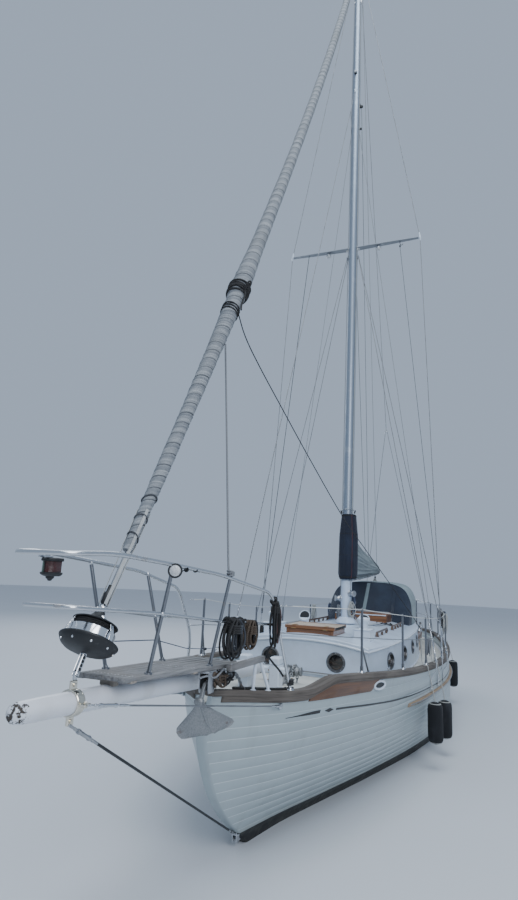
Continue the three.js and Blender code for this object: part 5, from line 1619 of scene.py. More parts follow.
# Rows of small things, laid out by Geometry Nodes with named inputs
class Layout(Nodes):
    def __init__(self, name, **inputs):
        super().__init__(bpy.data.node_groups.new(name, "GeometryNodeTree"))
        self.tree.is_modifier = True
        self.names = {}
        for way in ("INPUT", "OUTPUT"):
            self.tree.interface.new_socket("Geometry", in_out=way, socket_type="NodeSocketGeometry")
        for key, kind in inputs.items():
            made = self.tree.interface.new_socket(key, in_out="INPUT", socket_type="NodeSocket" + kind)
            self.names[key] = made.identifier
        self.given = self.node("NodeGroupInput", {}, {})

    # Makes the instances real and gives them their finish
    def close(self, geometry):
        real = self.node("GeometryNodeRealizeInstances", {}, {0: geometry})[0]
        done = self.node(
            "GeometryNodeSetMaterial", {}, {"Geometry": real, "Material": self.given["Material"]}
        )[0]
        self.node("NodeGroupOutput", {}, {0: done})
        return self

    # Points along the given line, each turned so that its x looks along it
    def points_along(self):
        curve = self.node("GeometryNodeMeshToCurve", {}, {0: self.given["Geometry"]})[0]
        sockets = {"Curve": curve, "Length": self.given["Spacing"]}
        points = self.node("GeometryNodeCurveToPoints", {"mode": "LENGTH"}, sockets)
        turn = self.node("FunctionNodeAlignRotationToVector", {"axis": "X"}, {"Vector": points["Tangent"]})[0]
        return points["Points"], turn


# Small balls set along a line
def stud_layout():
    t = Layout("studs along a line", Spacing="Float", Size="Vector", Material="Material")
    points, turn = t.points_along()
    stud = t.node("GeometryNodeMeshUVSphere", {}, {"Segments": 8, "Rings": 5, "Radius": 1.0})[0]
    sockets = {"Points": points, "Instance": stud, "Rotation": turn, "Scale": t.given["Size"]}
    return t.close(t.node("GeometryNodeInstanceOnPoints", {}, sockets)[0])


# Chain links along a line, each a quarter turn from the last
def link_layout():
    t = Layout("links of a chain", Spacing="Float", Size="Vector", Wire="Float", Material="Material")
    points, turn = t.points_along()
    ring = t.node("GeometryNodeCurvePrimitiveCircle", {}, {"Resolution": 12, "Radius": 1.0})[0]
    long_ring = t.node("GeometryNodeTransform", {}, {"Geometry": ring, "Scale": t.given["Size"]})[0]
    round_wire = t.node(
        "GeometryNodeCurvePrimitiveCircle", {}, {"Resolution": 6, "Radius": t.given["Wire"]}
    )[0]
    link = t.node("GeometryNodeCurveToMesh", {}, {0: long_ring, 1: round_wire})[0]
    quarter = t.node("GeometryNodeInputIndex", {}, {})[0] * (math.pi / 2)
    roll = t.node("ShaderNodeCombineXYZ", {}, {"X": quarter})[0]
    rolled = t.node("FunctionNodeEulerToRotation", {}, {0: roll})[0]
    turned = t.node("FunctionNodeRotateRotation", {"rotation_space": "LOCAL"}, {0: turn, 1: rolled})[0]
    sockets = {"Points": points, "Instance": link, "Rotation": turned}
    return t.close(t.node("GeometryNodeInstanceOnPoints", {}, sockets)[0])


# Two sets of crossed bars
def lattice_layout():
    t = Layout(
        "crossed bars", Columns="Int", Rows="Int", Pitch="Float", Corner="Vector",
        Column="Vector", Row="Vector", Material="Material",
    )
    both = t.node("GeometryNodeJoinGeometry", {}, {})
    for count, size, way in (("Columns", "Column", "X"), ("Rows", "Row", "Y")):
        step = t.node("ShaderNodeCombineXYZ", {}, {way: t.given["Pitch"]})[0]
        sockets = {"Count": t.given[count], "Start Location": t.given["Corner"], "Offset": step}
        line = t.node("GeometryNodeMeshLine", {}, sockets)[0]
        bar = t.node("GeometryNodeMeshCube", {}, {"Size": t.given[size]})[0]
        other = {"X": "Y", "Y": "X"}[way]
        split = t.node("ShaderNodeSeparateXYZ", {}, {0: t.given[size]})
        half = t.node("ShaderNodeCombineXYZ", {}, {other: split[other] * 0.5})[0]
        moved = t.node("GeometryNodeTransform", {}, {"Geometry": bar, "Translation": half})[0]
        laid = t.node("GeometryNodeInstanceOnPoints", {}, {"Points": line, "Instance": moved})[0]
        t.tree.links.new(laid.socket, both.made.inputs[0])
    return t.close(both[0])


STUDS = stud_layout()
LINKS = link_layout()
LATTICE = lattice_layout()


# Lays out a row along lines of points and keeps the result as a plain mesh
def laid_out(name, layout, lines, body="yacht", slot=None, instead=(), bevel=0.0, **values):
    points, edges = [], []
    for line in lines:
        start = len(points)
        points += [tuple(map(float, p)) for p in line]
        edges += [(start + k, start + k + 1) for k in range(len(line) - 1)]
    mesh = bpy.data.meshes.new("lines")
    mesh.from_pydata(points, edges, [])
    carrier = bpy.data.objects.new("carrier", mesh)
    bpy.context.scene.collection.objects.link(carrier)
    step = carrier.modifiers.new("layout", "NODES")
    step.node_group = layout.tree
    for key, value in values.items():
        step[layout.names[key]] = value
    if bevel:
        eased = carrier.modifiers.new("eased", "BEVEL")
        eased.width = bevel
        eased.segments = 1
    evaluated = carrier.evaluated_get(bpy.context.evaluated_depsgraph_get())
    made = bpy.data.meshes.new_from_object(evaluated)
    bpy.data.objects.remove(carrier)
    return settle(bpy.data.objects.new(name, made), body, instead)


# Cockpit: coamings, seat slats, a painted well and its teak grating
COAM_XS = [-4.350, -3.600, -2.700, -1.925]
COAM_HALF = [0.520, 0.690, 0.770, 0.790]


# Height of the cockpit coaming, which rises forward
def coaming_top(x):
    return lerp(1.230, 1.330, float(rise(-4.350, -3.300, x)))


def build_cockpit():
    for side, sign in SIDES.items():
        rows = []
        for x in np.linspace(-4.350, -1.925, 40):
            w, top = float(smooth(COAM_XS, COAM_HALF, x)), coaming_top(x)
            low = deck_under(x, w) - 0.004
            ring = [
                (w, low), (w + 0.006, lerp(low, top, 0.5)), (w + 0.011, top - 0.008),
                (w + 0.006, top - 0.001)
            ]
            ring += [(w - 0.011, top + 0.0), (w - 0.028, top - 0.001), (w - 0.033, top - 0.008)]
            ring += [(w - 0.039, lerp(low, top, 0.5)), (w - 0.045, low)]
            rows.append([(x, sign * y, z) for y, z in ring])
        shape = Shape().grid(rows, wrap=True)
        piece(f"coaming_{side}_board", shape, VARNISH, instead=f"coaming_{side}")
        seats = Shape()
        for k in range(5):
            xs = np.linspace(-3.90, -2.05, 24)
            y = 0.385 + k * 0.052
            seats.board([V3(x, sign * y, deck_under(x, y) + 0.020) for x in xs], 0.044, 0.018, 0.003)
        piece(f"cockpit_seat_{side}", seats, GRATING)
    lining = Shape()
    x0, x1, half, floor = WELL
    ring = [
        (x0 + 0.002, -half + 0.002), (x1 - 0.002, -half + 0.002), (x1 - 0.002, half - 0.002),
        (x0 + 0.002, half - 0.002)
    ]
    inset = [
        (x0 + 0.007, -half + 0.007), (x1 - 0.007, -half + 0.007), (x1 - 0.007, half - 0.007),
        (x0 + 0.007, half - 0.007)
    ]
    top = deck_under(-3.0) - 0.03
    rows = [
        [(x, y, z) for x, y in points]
        for points, z in ((ring, floor), (ring, top), (inset, top), (inset, floor))
    ]
    lining.grid(rows, wrap=True, loop=True, us=np.arange(5) * 0.3, vs=np.arange(5) * 0.8)
    piece("well_lining", lining, WHITE)
    laid_out(
        "cockpit_grating_bars", LATTICE, [[(0, 0, 0), (0, 0, 0.01)]], slot="teak_grey",
        instead="cockpit_grating",
        bevel=0.002, Columns=36, Rows=13, Pitch=0.0485, Corner=(-3.899, -0.291, 0.4365),
        Column=(0.022, 0.582, 0.0300), Row=(1.698, 0.022, 0.0306), Material=GRATING,
    )


build_cockpit()


# Bowsprit and what is made fast to it
SPRIT_HEEL, SPRIT_TIP = V3(4.150, 0, 1.415), V3(7.220, 0, 1.570)
CRANSE_X = 6.790


# A point on the bowsprit's axis
def sprit_at(x):
    return lerp(SPRIT_HEEL, SPRIT_TIP, (x - SPRIT_HEEL[0]) / (SPRIT_TIP[0] - SPRIT_HEEL[0]))


SPRIT_DIR = unit(SPRIT_TIP - SPRIT_HEEL)
CRANSE = sprit_at(CRANSE_X)


def build_bowsprit():
    xs = [4.150, 4.153, 4.162, 4.7, 5.3, 5.75, 6.2, 6.7, 7.05, 7.15, 7.18, 7.198, 7.210, 7.217, 7.2195]
    rs = [
        0.060, 0.068, 0.072, 0.078, 0.078, 0.072, 0.066, 0.060, 0.0555, 0.0525, 0.050, 0.045, 0.036, 0.022,
        0.008
    ]
    spar = Shape().bar([sprit_at(x) for x in xs], rs, 40)
    piece("bowsprit_spar", spar, SPRIT, instead="bowsprit")
    post = Shape()
    low = deck_under(4.0) - 0.002
    for sign in (1, -1):
        y = sign * 0.155
        post.block((3.950, y - 0.05, low), (4.080, y + 0.05, 1.430), 0.008)
        post.block((3.944, y - 0.05, 1.425), (4.086, y + 0.05, 1.500), 0.014)
    post.block((3.965, -0.270, 1.350), (4.065, 0.270, 1.410), 0.014, finish=1)
    piece("bitt_posts", post, [TRIM_WHITE, TRIM_WHITE], instead="bitts")
    pins = Shape()
    for sign in (1, -1):
        for y in (0.105, 0.155, 0.205):
            pins.turned(
                (4.0655, sign * y, 1.38), (1, 0, 0), [(-0.001, 0.011), (0.003, 0.010), (0.005, 0.004)], 12
            )
    piece("bitt_bolts", pins, BRONZE)
    chafe = Shape()
    for x in (5.02, 5.06, 5.10, 5.14):
        c = sprit_at(x)
        chafe.bar(hoop(V3(x, c[1], c[2]), V3(0, 0.082, 0), V3(0, 0, 0.082), 28), 0.006, 8, loop=True)
    piece("gammon_lashing", chafe, DARK_ROPE)


BITT_ACROSS = bare_teak("grey teak crossbar", (50, 2.2, 50))
build_bowsprit()


# The polished band near the sprit's end, its four lugs and their pins
def build_cranse():
    band = Shape()
    profile = [
        (-0.031, 0.0604), (-0.031, 0.066), (-0.028, 0.069), (-0.006, 0.0695), (0.006, 0.0695),
        (0.028, 0.069)
    ]
    band.turned(CRANSE, SPRIT_DIR, [*profile, (0.031, 0.066), (0.031, 0.0604), (-0.031, 0.0604)], 40)
    for k in (-0.018, 0.018):
        band.turned(CRANSE, SPRIT_DIR, [(k - 0.003, 0.0690), (k, 0.0705), (k + 0.003, 0.0690)], 40)
    x, _, z = CRANSE
    for low, high in (
        ((x - 0.026, -0.008, z + 0.060), (x + 0.026, 0.008, z + 0.112)),
        ((x - 0.026, -0.008, z - 0.112), (x + 0.026, 0.008, z - 0.060)),
        ((x - 0.026, 0.060, z - 0.008), (x + 0.026, 0.108, z + 0.008)),
        ((x - 0.026, -0.108, z - 0.008), (x + 0.026, -0.060, z + 0.008)),
    ):
        band.block(low, high, 0.006)
    for at, axis in (((x, -0.016, z + 0.09), (0, 1, 0)), ((x, -0.016, z - 0.09), (0, 1, 0))):
        band.turned(at, axis, [(0, 0.004), (0.001, 0.010), (0.031, 0.010), (0.032, 0.004)], 14)
    for sign in (1, -1):
        pin = [(0, 0.004), (0.001, 0.009), (0.031, 0.009), (0.032, 0.004)]
        band.turned((x, sign * 0.09, z - 0.016), (0, 0, 1), pin, 14)
    piece("cranse_ring", band, BAND_METAL, instead="cranse_band", sharp=30)


BAND_METAL = stainless("warm bright band", (0.74, 0.70, 0.60), 0.12)
build_cranse()


# A stay's screw: a fork with its pin, the body, and the swaged end of the wire
def rigging_screw(shape, a, b, length, thick, finish=0):
    d = unit(b - a)
    side = unit(np.cross(d, V3(0, 0, 1) if abs(d[2]) < 0.9 else V3(1, 0, 0)))
    for sign in (1, -1):
        cheek = side * sign * thick * 0.62
        arm = [a - d * thick + cheek, a + d * thick * 2.4 + cheek, a + d * thick * 3.4 + cheek * 0.3]
        shape.bar(through(arm, 0.008), thick * 0.34, 8, finish=finish, round_ends=True)
    shape.turned(
        a - side * thick, side, [(0, thick * 0.1), (0.001, thick * 0.42), (thick * 2, thick * 0.42)], 10,
        finish
    )
    k0, k1 = thick * 3.2, length
    ring = [
        (k0, 0.3), (k0 + 0.004, 0.62), (k0 + 0.016, 0.62), (k0 + 0.018, 0.42), (k0 + 0.035, 0.42),
        (k0 + 0.038, 0.9)
    ]
    ring += [(k0 + 0.052, 1.0), (k0 + 0.060, 0.78), (k1 - 0.070, 0.78), (k1 - 0.062, 1.0), (k1 - 0.048, 0.9)]
    ring += [
        (k1 - 0.045, 0.42), (k1 - 0.026, 0.42), (k1 - 0.024, 0.66), (k1 + 0.030, 0.60), (k1 + 0.060, 0.40)
    ]
    shape.turned(a, d, [(k, r * thick) for k, r in ring], 12, finish)


# n points on the line from a to b
def straight(a, b, n=2):
    return lerp(np.array(a, float), np.array(b, float), np.linspace(0, 1, n)[:, None])


def build_bow_stays():
    bob = Shape()
    a, b = V3(CRANSE_X - 0.004, 0, CRANSE[2] - 0.112), V3(4.455, 0, 0.112)
    rigging_screw(bob, a, b, 0.26, 0.015, finish=1)
    d = unit(b - a)
    bob.bar(straight(a + d * 0.26, b - d * 0.05, 30), 0.0085, 10)
    rigging_screw(bob, b, a, 0.14, 0.014, finish=1)
    piece("bobstay_rod", bob, [BLACK, DULL_STEEL], instead="bobstay")
    for side, sign in SIDES.items():
        end = rail_point(share_at(4.700, 0.06), 0.06)
        a = V3(CRANSE_X - 0.004, sign * 0.108, CRANSE[2])
        b = V3(end[0], sign * (end[1] + 0.014), end[2])
        stay = Shape()
        rigging_screw(stay, a, b, 0.26, 0.012, finish=1)
        d = unit(b - a)
        stay.bar(straight(a + d * 0.26, b - d * 0.03, 24), 0.0055, 8)
        rigging_screw(stay, b, a, 0.12, 0.011, finish=1)
        stay.block(
            b + V3(-0.05, -0.010 - 0.004 * sign, -0.022), b + V3(0.02, 0.010 - 0.004 * sign, 0.022), 0.004,
            finish=1
        )
        piece(f"whisker_wire_{side}", stay, [WIRE, STEEL], instead=f"whisker_stay_{side}")


build_bow_stays()


# Platform of weathered slats on three bearers, bolted through
PLATFORM = (5.010, 6.560, 0.250, 0.165)


# Height of the bow platform
def platform_top(x):
    return float(sprit_at(x)[2]) + 0.118


# Half breadth of the bow platform
def platform_half(x):
    x0, x1, w0, w1 = PLATFORM
    return lerp(w0, w1, (x - x0) / (x1 - x0))


def build_platform():
    slats = Shape()
    xs = np.linspace(PLATFORM[0], PLATFORM[1], 14)
    for k in np.linspace(-1, 1, 7):
        edge = abs(k) == 1
        line = [V3(x, k * (platform_half(x) - 0.026), platform_top(x)) for x in xs]
        slats.board(line, 0.048, 0.030 if edge else 0.023, 0.004)
    for x in (5.090, 5.780, 6.470):
        w, z = platform_half(x), platform_top(x) - 0.0225
        slats.board([V3(x, -w, z), V3(x, 0, z), V3(x, w, z)], 0.060, 0.0135, 0.003, finish=1)
        slats.block(
            (x - 0.022, -0.052, sprit_at(x)[2] + 0.055), (x + 0.022, 0.052, z - 0.010), 0.004, finish=1
        )
    piece("platform_slats", slats, [GREY_SLAT, BITT_ACROSS], instead="platform")
    for x in (5.090, 5.780, 6.470):
        gap = (platform_half(x) - 0.026) / 3
        lines = []
        for dx in (-0.016, 0.016):
            z = platform_top(x + dx) + 0.0003
            lines.append([(x + dx, -gap * 3 - 0.0001, z), (x + dx, gap * 3 + 0.0001, z)])
        laid_out(
            f"platform_bolts_{int(x * 100)}", STUDS, lines, slot="steel",
            Spacing=gap, Size=(0.0052, 0.0052, 0.0016), Material=DULL_STEEL,
        )


build_platform()


# Pulpit of bent tube, with its feet and the mid rail
SHADED_STEEL = stainless("shaded steel", (0.20, 0.21, 0.23), 0.26)


# A point a share t up one leg of the pulpit
def pulpit_leg(sign, leg, t):
    x, tx, ty, tz = leg
    foot = V3(x, sign * (platform_half(x) - 0.026), platform_top(x) + 0.001)
    return lerp(foot, V3(tx, sign * ty, tz), t)


# The pulpit's top rail on one side
def top_rail(sign):
    half = [(7.200, 0, 2.310), (7.150, 0.180, 2.310), (6.900, 0.255, 2.325), (6.400, 0.300, 2.290)]
    half += [(5.750, 0.335, 2.240), (4.960, 0.430, 2.110), (4.680, 0.430, 1.700)]
    return [V3(x, sign * y, z) for x, y, z in half]


# A round foot with its bolts
def flange(shape, at, radius, high=0.010, finish=0, bolts=4):
    ring = [(-0.008, radius - 0.001), (0.004, radius), (high - 0.003, radius * 0.93), (high, radius * 0.6)]
    shape.turned(at, (0, 0, 1), [*ring, (high + 0.012, radius * 0.48)], 20, finish)
    for k in range(bolts):
        angle = 2 * math.pi * (k + 0.5) / bolts
        spot = V3(*at) + V3(math.cos(angle), math.sin(angle), 0) * radius * 0.78
        shape.turned(
            spot + V3(0, 0, 0.004), (0, 0, 1), [(0, 0.0055), (0.006, 0.0052), (0.0075, 0.002)], 6, finish
        )


def build_pulpit():
    foot = cap_top(4.600)
    rail = Shape()
    half = [*top_rail(1), V3(foot[0], foot[1], foot[2] + 0.001)]
    other = [p * V3(1, -1, 1) for p in half]
    rail.bar(bent([*half[::-1], *other[1:]], 0.12, 9), 0.013, 14)
    legs = ((6.300, 6.360, 0.303, 2.287), (5.550, 5.610, 0.345, 2.226))
    mid = [
        V3(7.110, 0, 2.055), V3(7.060, 0.170, 2.050), pulpit_leg(1, legs[0], 0.55),
        pulpit_leg(1, legs[1], 0.5)
    ]
    mid.append(lerp(V3(4.960, 0.430, 2.110), V3(4.680, 0.430, 1.700), 0.62))
    rail.bar(bent([*mid[::-1], *[p * V3(1, -1, 1) for p in mid[1:]]], 0.06, 5), 0.011, 12)
    for sign in (1, -1):
        for leg in legs:
            rail.bar(straight(pulpit_leg(sign, leg, 1), pulpit_leg(sign, leg, 0), 8), 0.012, 12, finish=1)
            at = V3(leg[0], sign * (platform_half(leg[0]) - 0.026), platform_top(leg[0]) + 0.0003)
            flange(rail, at, 0.024, finish=1)
            for t in (0.55 if leg[0] > 6 else 0.5, 0.985):
                c = pulpit_leg(sign, leg, t)
                rail.ball(c, 0.0165, 12, 8)
        flange(rail, (foot[0], sign * foot[1], foot[2]), 0.034)
    piece("pulpit_rails", rail, [STEEL, SHADED_STEEL], instead="bow_pulpit")


build_pulpit()


def build_stern_rail():
    shape = Shape()
    xs = (-3.700, -4.300, -4.800)

    def at(x, sign, h):
        p = cap_top(x)
        return V3(p[0], sign * (p[1] - 0.016), p[2] + h)

    back = [V3(-5.230, 0.170, 1.950), V3(-5.230, -0.170, 1.950)]
    loop = [at(x, 1, 0.6) for x in xs] + back + [at(x, -1, 0.6) for x in xs[::-1]]
    shape.bar(bent(loop, 0.14, 8), 0.013, 14, round_ends=True)
    for sign in (1, -1):
        shape.bar(bent([at(x, sign, 0.312) for x in xs], 0.1, 5), 0.011, 12, round_ends=True)
        for x in xs:
            shape.bar(straight(at(x, sign, 0.001), at(x, sign, 0.6), 6), 0.012, 12, finish=1)
            flange(shape, at(x, sign, 0), 0.032)
            for h in (0.312, 0.592):
                shape.ball(at(x, sign, h), 0.0165, 12, 8)
    piece("stern_rail_tubes", shape, [STEEL, SHADED_STEEL], instead="stern_rail")
    lamp = Shape()
    lamp.turned(
        (-5.222, 0, 1.962), (0, 0, 1), [(0, 0.020), (0.002, 0.026), (0.012, 0.027), (0.014, 0.022)], 20
    )
    lamp.turned(
        (-5.222, 0, 1.976), (0, 0, 1), [(0, 0.022), (0.030, 0.021), (0.036, 0.014), (0.038, 0.003)], 20,
        finish=1
    )
    piece("stern_lamp", lamp, [BLACK, CLEAR_LENS])


build_stern_rail()


# Stanchions on round feet, the wires through them and their end screws
STANCHIONS = (3.550, 2.350, 1.050, -0.450, -2.000)
LINE_LOW, LINE_TOP = 0.330, 0.600
LINE_COVER = line_paint("white line cover", (0.60, 0.60, 0.58), 0.45)


def build_lifelines():
    for side, sign in SIDES.items():
        shape = Shape()
        feet = []
        for x in STANCHIONS:
            p = cap_top(x)
            f = V3(p[0], sign * (p[1] - 0.018), p[2])
            feet.append(f)
            flange(shape, f, 0.032)
            tube = [V3(0, 0, k) for k in (0.004, 0.06, 0.06, 0.3, 0.585, 0.600, 0.609, 0.612)]
            radii = [0.0165, 0.0165, 0.0125, 0.0125, 0.0125, 0.0122, 0.010, 0.004]
            shape.bar([f + k for k in tube], radii, 14, finish=1)
            for h in (LINE_LOW, LINE_TOP):
                shape.ball(f + V3(0, 0, h - 0.004), (0.010, 0.0145, 0.010), 10, 6)
        f = feet[0]
        q = cap_top(f[0] - 0.150)
        brace = [V3(f[0] - 0.008, f[1], f[2] + 0.240), V3(q[0], sign * (q[1] - 0.018), q[2] + 0.002)]
        shape.bar(straight(*brace, 4), 0.009, 10, finish=1)
        flange(shape, brace[1], 0.020, 0.006, bolts=0)
        for h in (LINE_TOP, LINE_LOW):
            start = V3(4.760, sign * 0.405, 2.010 if h == LINE_TOP else 1.790)
            end = cap_top(-3.690)
            route = [
                start, *[p + V3(0, 0, h - 0.004) for p in feet],
                V3(-3.640, sign * (end[1] - 0.020), end[2] + h * 0.97)
            ]
            line = []
            for a, b in zip(route, route[1:]):
                reach = float(np.linalg.norm(b - a))
                for t in np.linspace(0, 1, 12, endpoint=False):
                    line.append(lerp(a, b, t) - V3(0, 0, 0.010 * reach * t * (1 - t)))
            line.append(route[-1])
            shape.bar(line, 0.004, 8, finish=2 if h == 0.6 else 3)
            rigging_screw(shape, route[0], route[1], 0.15, 0.008)
            rigging_screw(shape, route[-1], route[-2], 0.15, 0.008)
        finishes = [STEEL, SHADED_STEEL, LINE_COVER, WIRE]
        piece(f"lifeline_set_{side}", shape, finishes, instead=f"lifelines_{side}")


build_lifelines()


# Mast: pale spar above a white painted foot, with its track, winches, lamp and fittings
MAST_FOOT = V3(0.450, 0, 1.585)
MAST_RAKE = 0.02916
MAST_ZS = (1.6, 6, 11, 14.3, 14.64)
MAST_RX = (0.105, 0.105, 0.1, 0.078, 0.07)
MAST_RY = (0.08, 0.08, 0.076, 0.06, 0.055)


# A point beside the raked mast's axis
def mast_at(z, x=0.0, y=0.0):
    return V3(MAST_FOOT[0] - (z - MAST_FOOT[2]) * MAST_RAKE + x, y, z)


# A point on the mast's face: turn 0 looks forward, 90 to port
def mast_face(z, turn, out=0.0):
    a = math.radians(turn)
    rx, ry = float(np.interp(z, MAST_ZS, MAST_RX)), float(np.interp(z, MAST_ZS, MAST_RY))
    return mast_at(z, (rx + out) * math.cos(a), (ry + out) * math.sin(a))


# The mast's outline at a height
def mast_ring(z, more=0.0, n=48):
    return [mast_face(z, k * 360 / n, more) for k in range(n)]


MASTHEAD = mast_at(14.62)
PALE_STEEL = stainless("pale fitting", (0.66, 0.67, 0.68), 0.34)


# A two-horned cleat on its two legs
def cleat(shape, at, along, out, finish=0):
    at, along, out = V3(*at), unit(V3(*along)), unit(V3(*out))
    horns = [at + out * 0.026 + along * k + out * abs(k) * 0.12 for k in np.linspace(-0.075, 0.075, 9)]
    shape.bar(horns, [0.004, 0.0065, 0.0085, 0.0095, 0.010, 0.0095, 0.0085, 0.0065, 0.004], 10, finish=finish)
    for k in (-0.022, 0.022):
        shape.bar([at + along * k - out * 0.003, at + along * k + out * 0.026], 0.0075, 10, finish=finish)


# A waisted winch drum
def winch(shape, at, axis, radius=0.046, high=0.105, finish=0):
    ring = [
        (-0.004, 1.12), (0.010, 1.12), (0.014, 1.0), (0.030, 0.84), (0.055, 0.78), (0.078, 0.84),
        (0.090, 1.0)
    ]
    ring += [(0.096, 1.0), (0.100, 0.82), (0.104, 0.40), (0.105, 0.1)]
    shape.turned(at, axis, [(k * high / 0.105, r * radius) for k, r in ring], 24, finish)


def build_mast():
    shape = Shape()
    shape.grid([mast_ring(z) for z in (1.6, 3.0, 6.0, 8.5, 11.0, 13.0, 14.3, 14.639, 14.6396)], wrap=True)
    shape.grid([mast_ring(z, 0.0012) for z in (1.602, 1.9, 2.228, 2.2285)], wrap=True, finish=1)
    boot = [
        (0, 0.150), (0.010, 0.1505), (0.022, 0.148), (0.055, 0.134), (0.086, 0.119), (0.0915, 0.114),
        (0.0917, 0.10)
    ]
    shape.turned((0.450, 0, 1.5985), (0, 0, 1), boot, 44, finish=1)
    track = [mast_face(z, 180, 0.010) for z in np.linspace(3.30, 14.52, 30)]
    shape.board(track, 0.026, 0.016, 0.002, finish=2, up=(-1, 0, 0))
    for z in np.arange(3.5, 14.4, 0.35):
        shape.turned(
            mast_face(z, 180, 0.009), (-1, 0, 0), [(0, 0.006), (0.0022, 0.0055), (0.003, 0.002)], 8,
            finish=2
        )
    tang = mast_at(7.885)
    shape.block(tang + V3(-0.016, -0.096, -0.040), tang + V3(0.016, 0.096, 0.040), 0.003, finish=2)
    for z in (8.050, 13.70):
        for side in (1, -1):
            boss = [
                (-0.012, 0.044), (0.004, 0.044), (0.010, 0.038), (0.018, 0.036), (0.022, 0.030),
                (0.024, 0.012)
            ]
            shape.turned(mast_face(z, 90 * side, -0.004), (0, side, 0.04), boss, 24, finish=3)
    for turn, z, high in ((60, 2.04, 1.80), (-70, 1.96, 1.74), (150, 1.90, 1.70)):
        out = unit(mast_face(z, turn) - mast_at(z))
        winch(shape, mast_face(z, turn, -0.004), out, finish=2)
        foot = mast_face(high, turn, 0.001)
        cleat(shape, foot, (0, 0, 1), out, finish=4)
    band = [mast_face(3.335, k * 9, 0.004) for k in range(40)]
    shape.bar(band, 0.016, 8, loop=True, finish=3, squash=0.32)
    for k in (-1, 1):
        shape.block(
            mast_at(3.335, 0.098, k * 0.012) + V3(0, -0.005, -0.016),
            mast_at(3.335, 0.128, k * 0.012) + V3(0, 0.005, 0.016), 0.002, finish=3
        )
    materials = [ALLOY, WHITE, DULL_STEEL, PALE_STEEL, BLACK]
    piece("mast_tube", shape, materials, instead="mast", sharp=34)
    lamp = Shape()
    lamp.block(
        mast_at(11.87, 0.088) + V3(-0.012, -0.024, -0.028), mast_at(11.87, 0.112) + V3(0, 0.024, 0.028),
        0.004
    )
    lamp.turned(
        mast_at(11.87, 0.100), (1, 0, 0), [(0, 0.024), (0.006, 0.029), (0.026, 0.0295), (0.030, 0.026)], 22
    )
    lamp.turned(
        mast_at(11.87, 0.129), (1, 0, 0), [(0, 0.0255), (0.008, 0.024), (0.016, 0.018), (0.0205, 0.004)],
        22, finish=1
    )
    lamp.block(
        mast_face(11.15, 90) + V3(-0.022, -0.004, -0.040), mast_face(11.15, 90) + V3(0.022, 0.010, 0.040),
        0.005
    )
    lamp.turned(
        mast_face(11.15, 90) + V3(-0.016, 0.030, -0.02), (1, 0, 0),
        [(0, 0.012), (0.003, 0.028), (0.029, 0.028), (0.032, 0.012)], 20
    )
    lamp.turned(
        mast_face(10.62, 90) + V3(-0.012, 0.022, 0), (1, 0, 0),
        [(0, 0.010), (0.003, 0.022), (0.021, 0.022), (0.024, 0.010)], 18
    )
    piece("mast_lamp_and_blocks", lamp, [BLACK, CLEAR_LENS])


build_mast()


# Masthead: cheek plates, a cap and sheaves fore and aft
def build_masthead():
    shape = Shape()
    x, top = MASTHEAD[0], 14.700
    for side in (1, -1):
        cheek = [V3(x + k, side * 0.046, top - 0.004) for k in (-0.186, -0.1, 0.1, 0.166)]
        shape.board(cheek, 0.010, 0.054, 0.002)
    shape.block((x - 0.120, -0.058, 14.6892), (x + 0.100, 0.058, 14.6995), 0.003)
    shape.block((x - 0.075, -0.056, 14.6403), (x + 0.070, 0.056, 14.664), 0.003)
    for k in (-0.150, 0.135):
        for y in (-0.022, 0.022):
            wheel = [
                (-0.014, 0.008), (-0.013, 0.027), (-0.010, 0.027), (-0.003, 0.020), (0.003, 0.020),
                (0.010, 0.027), (0.013, 0.027)
            ]
            shape.turned((x + k, y, 14.668), (0, 1, 0), [*wheel, (0.014, 0.008)], 22, finish=1)
        shape.turned(
            (x + k, -0.055, 14.668), (0, 1, 0),
            [(0, 0.003), (0.001, 0.009), (0.109, 0.009), (0.110, 0.003)], 12, finish=2
        )
    piece("masthead_crown", shape, [ALLOY, BLACK, STEEL], instead="masthead", sharp=30)


build_masthead()
dress("gooseneck", DULL_STEEL, 0.002)


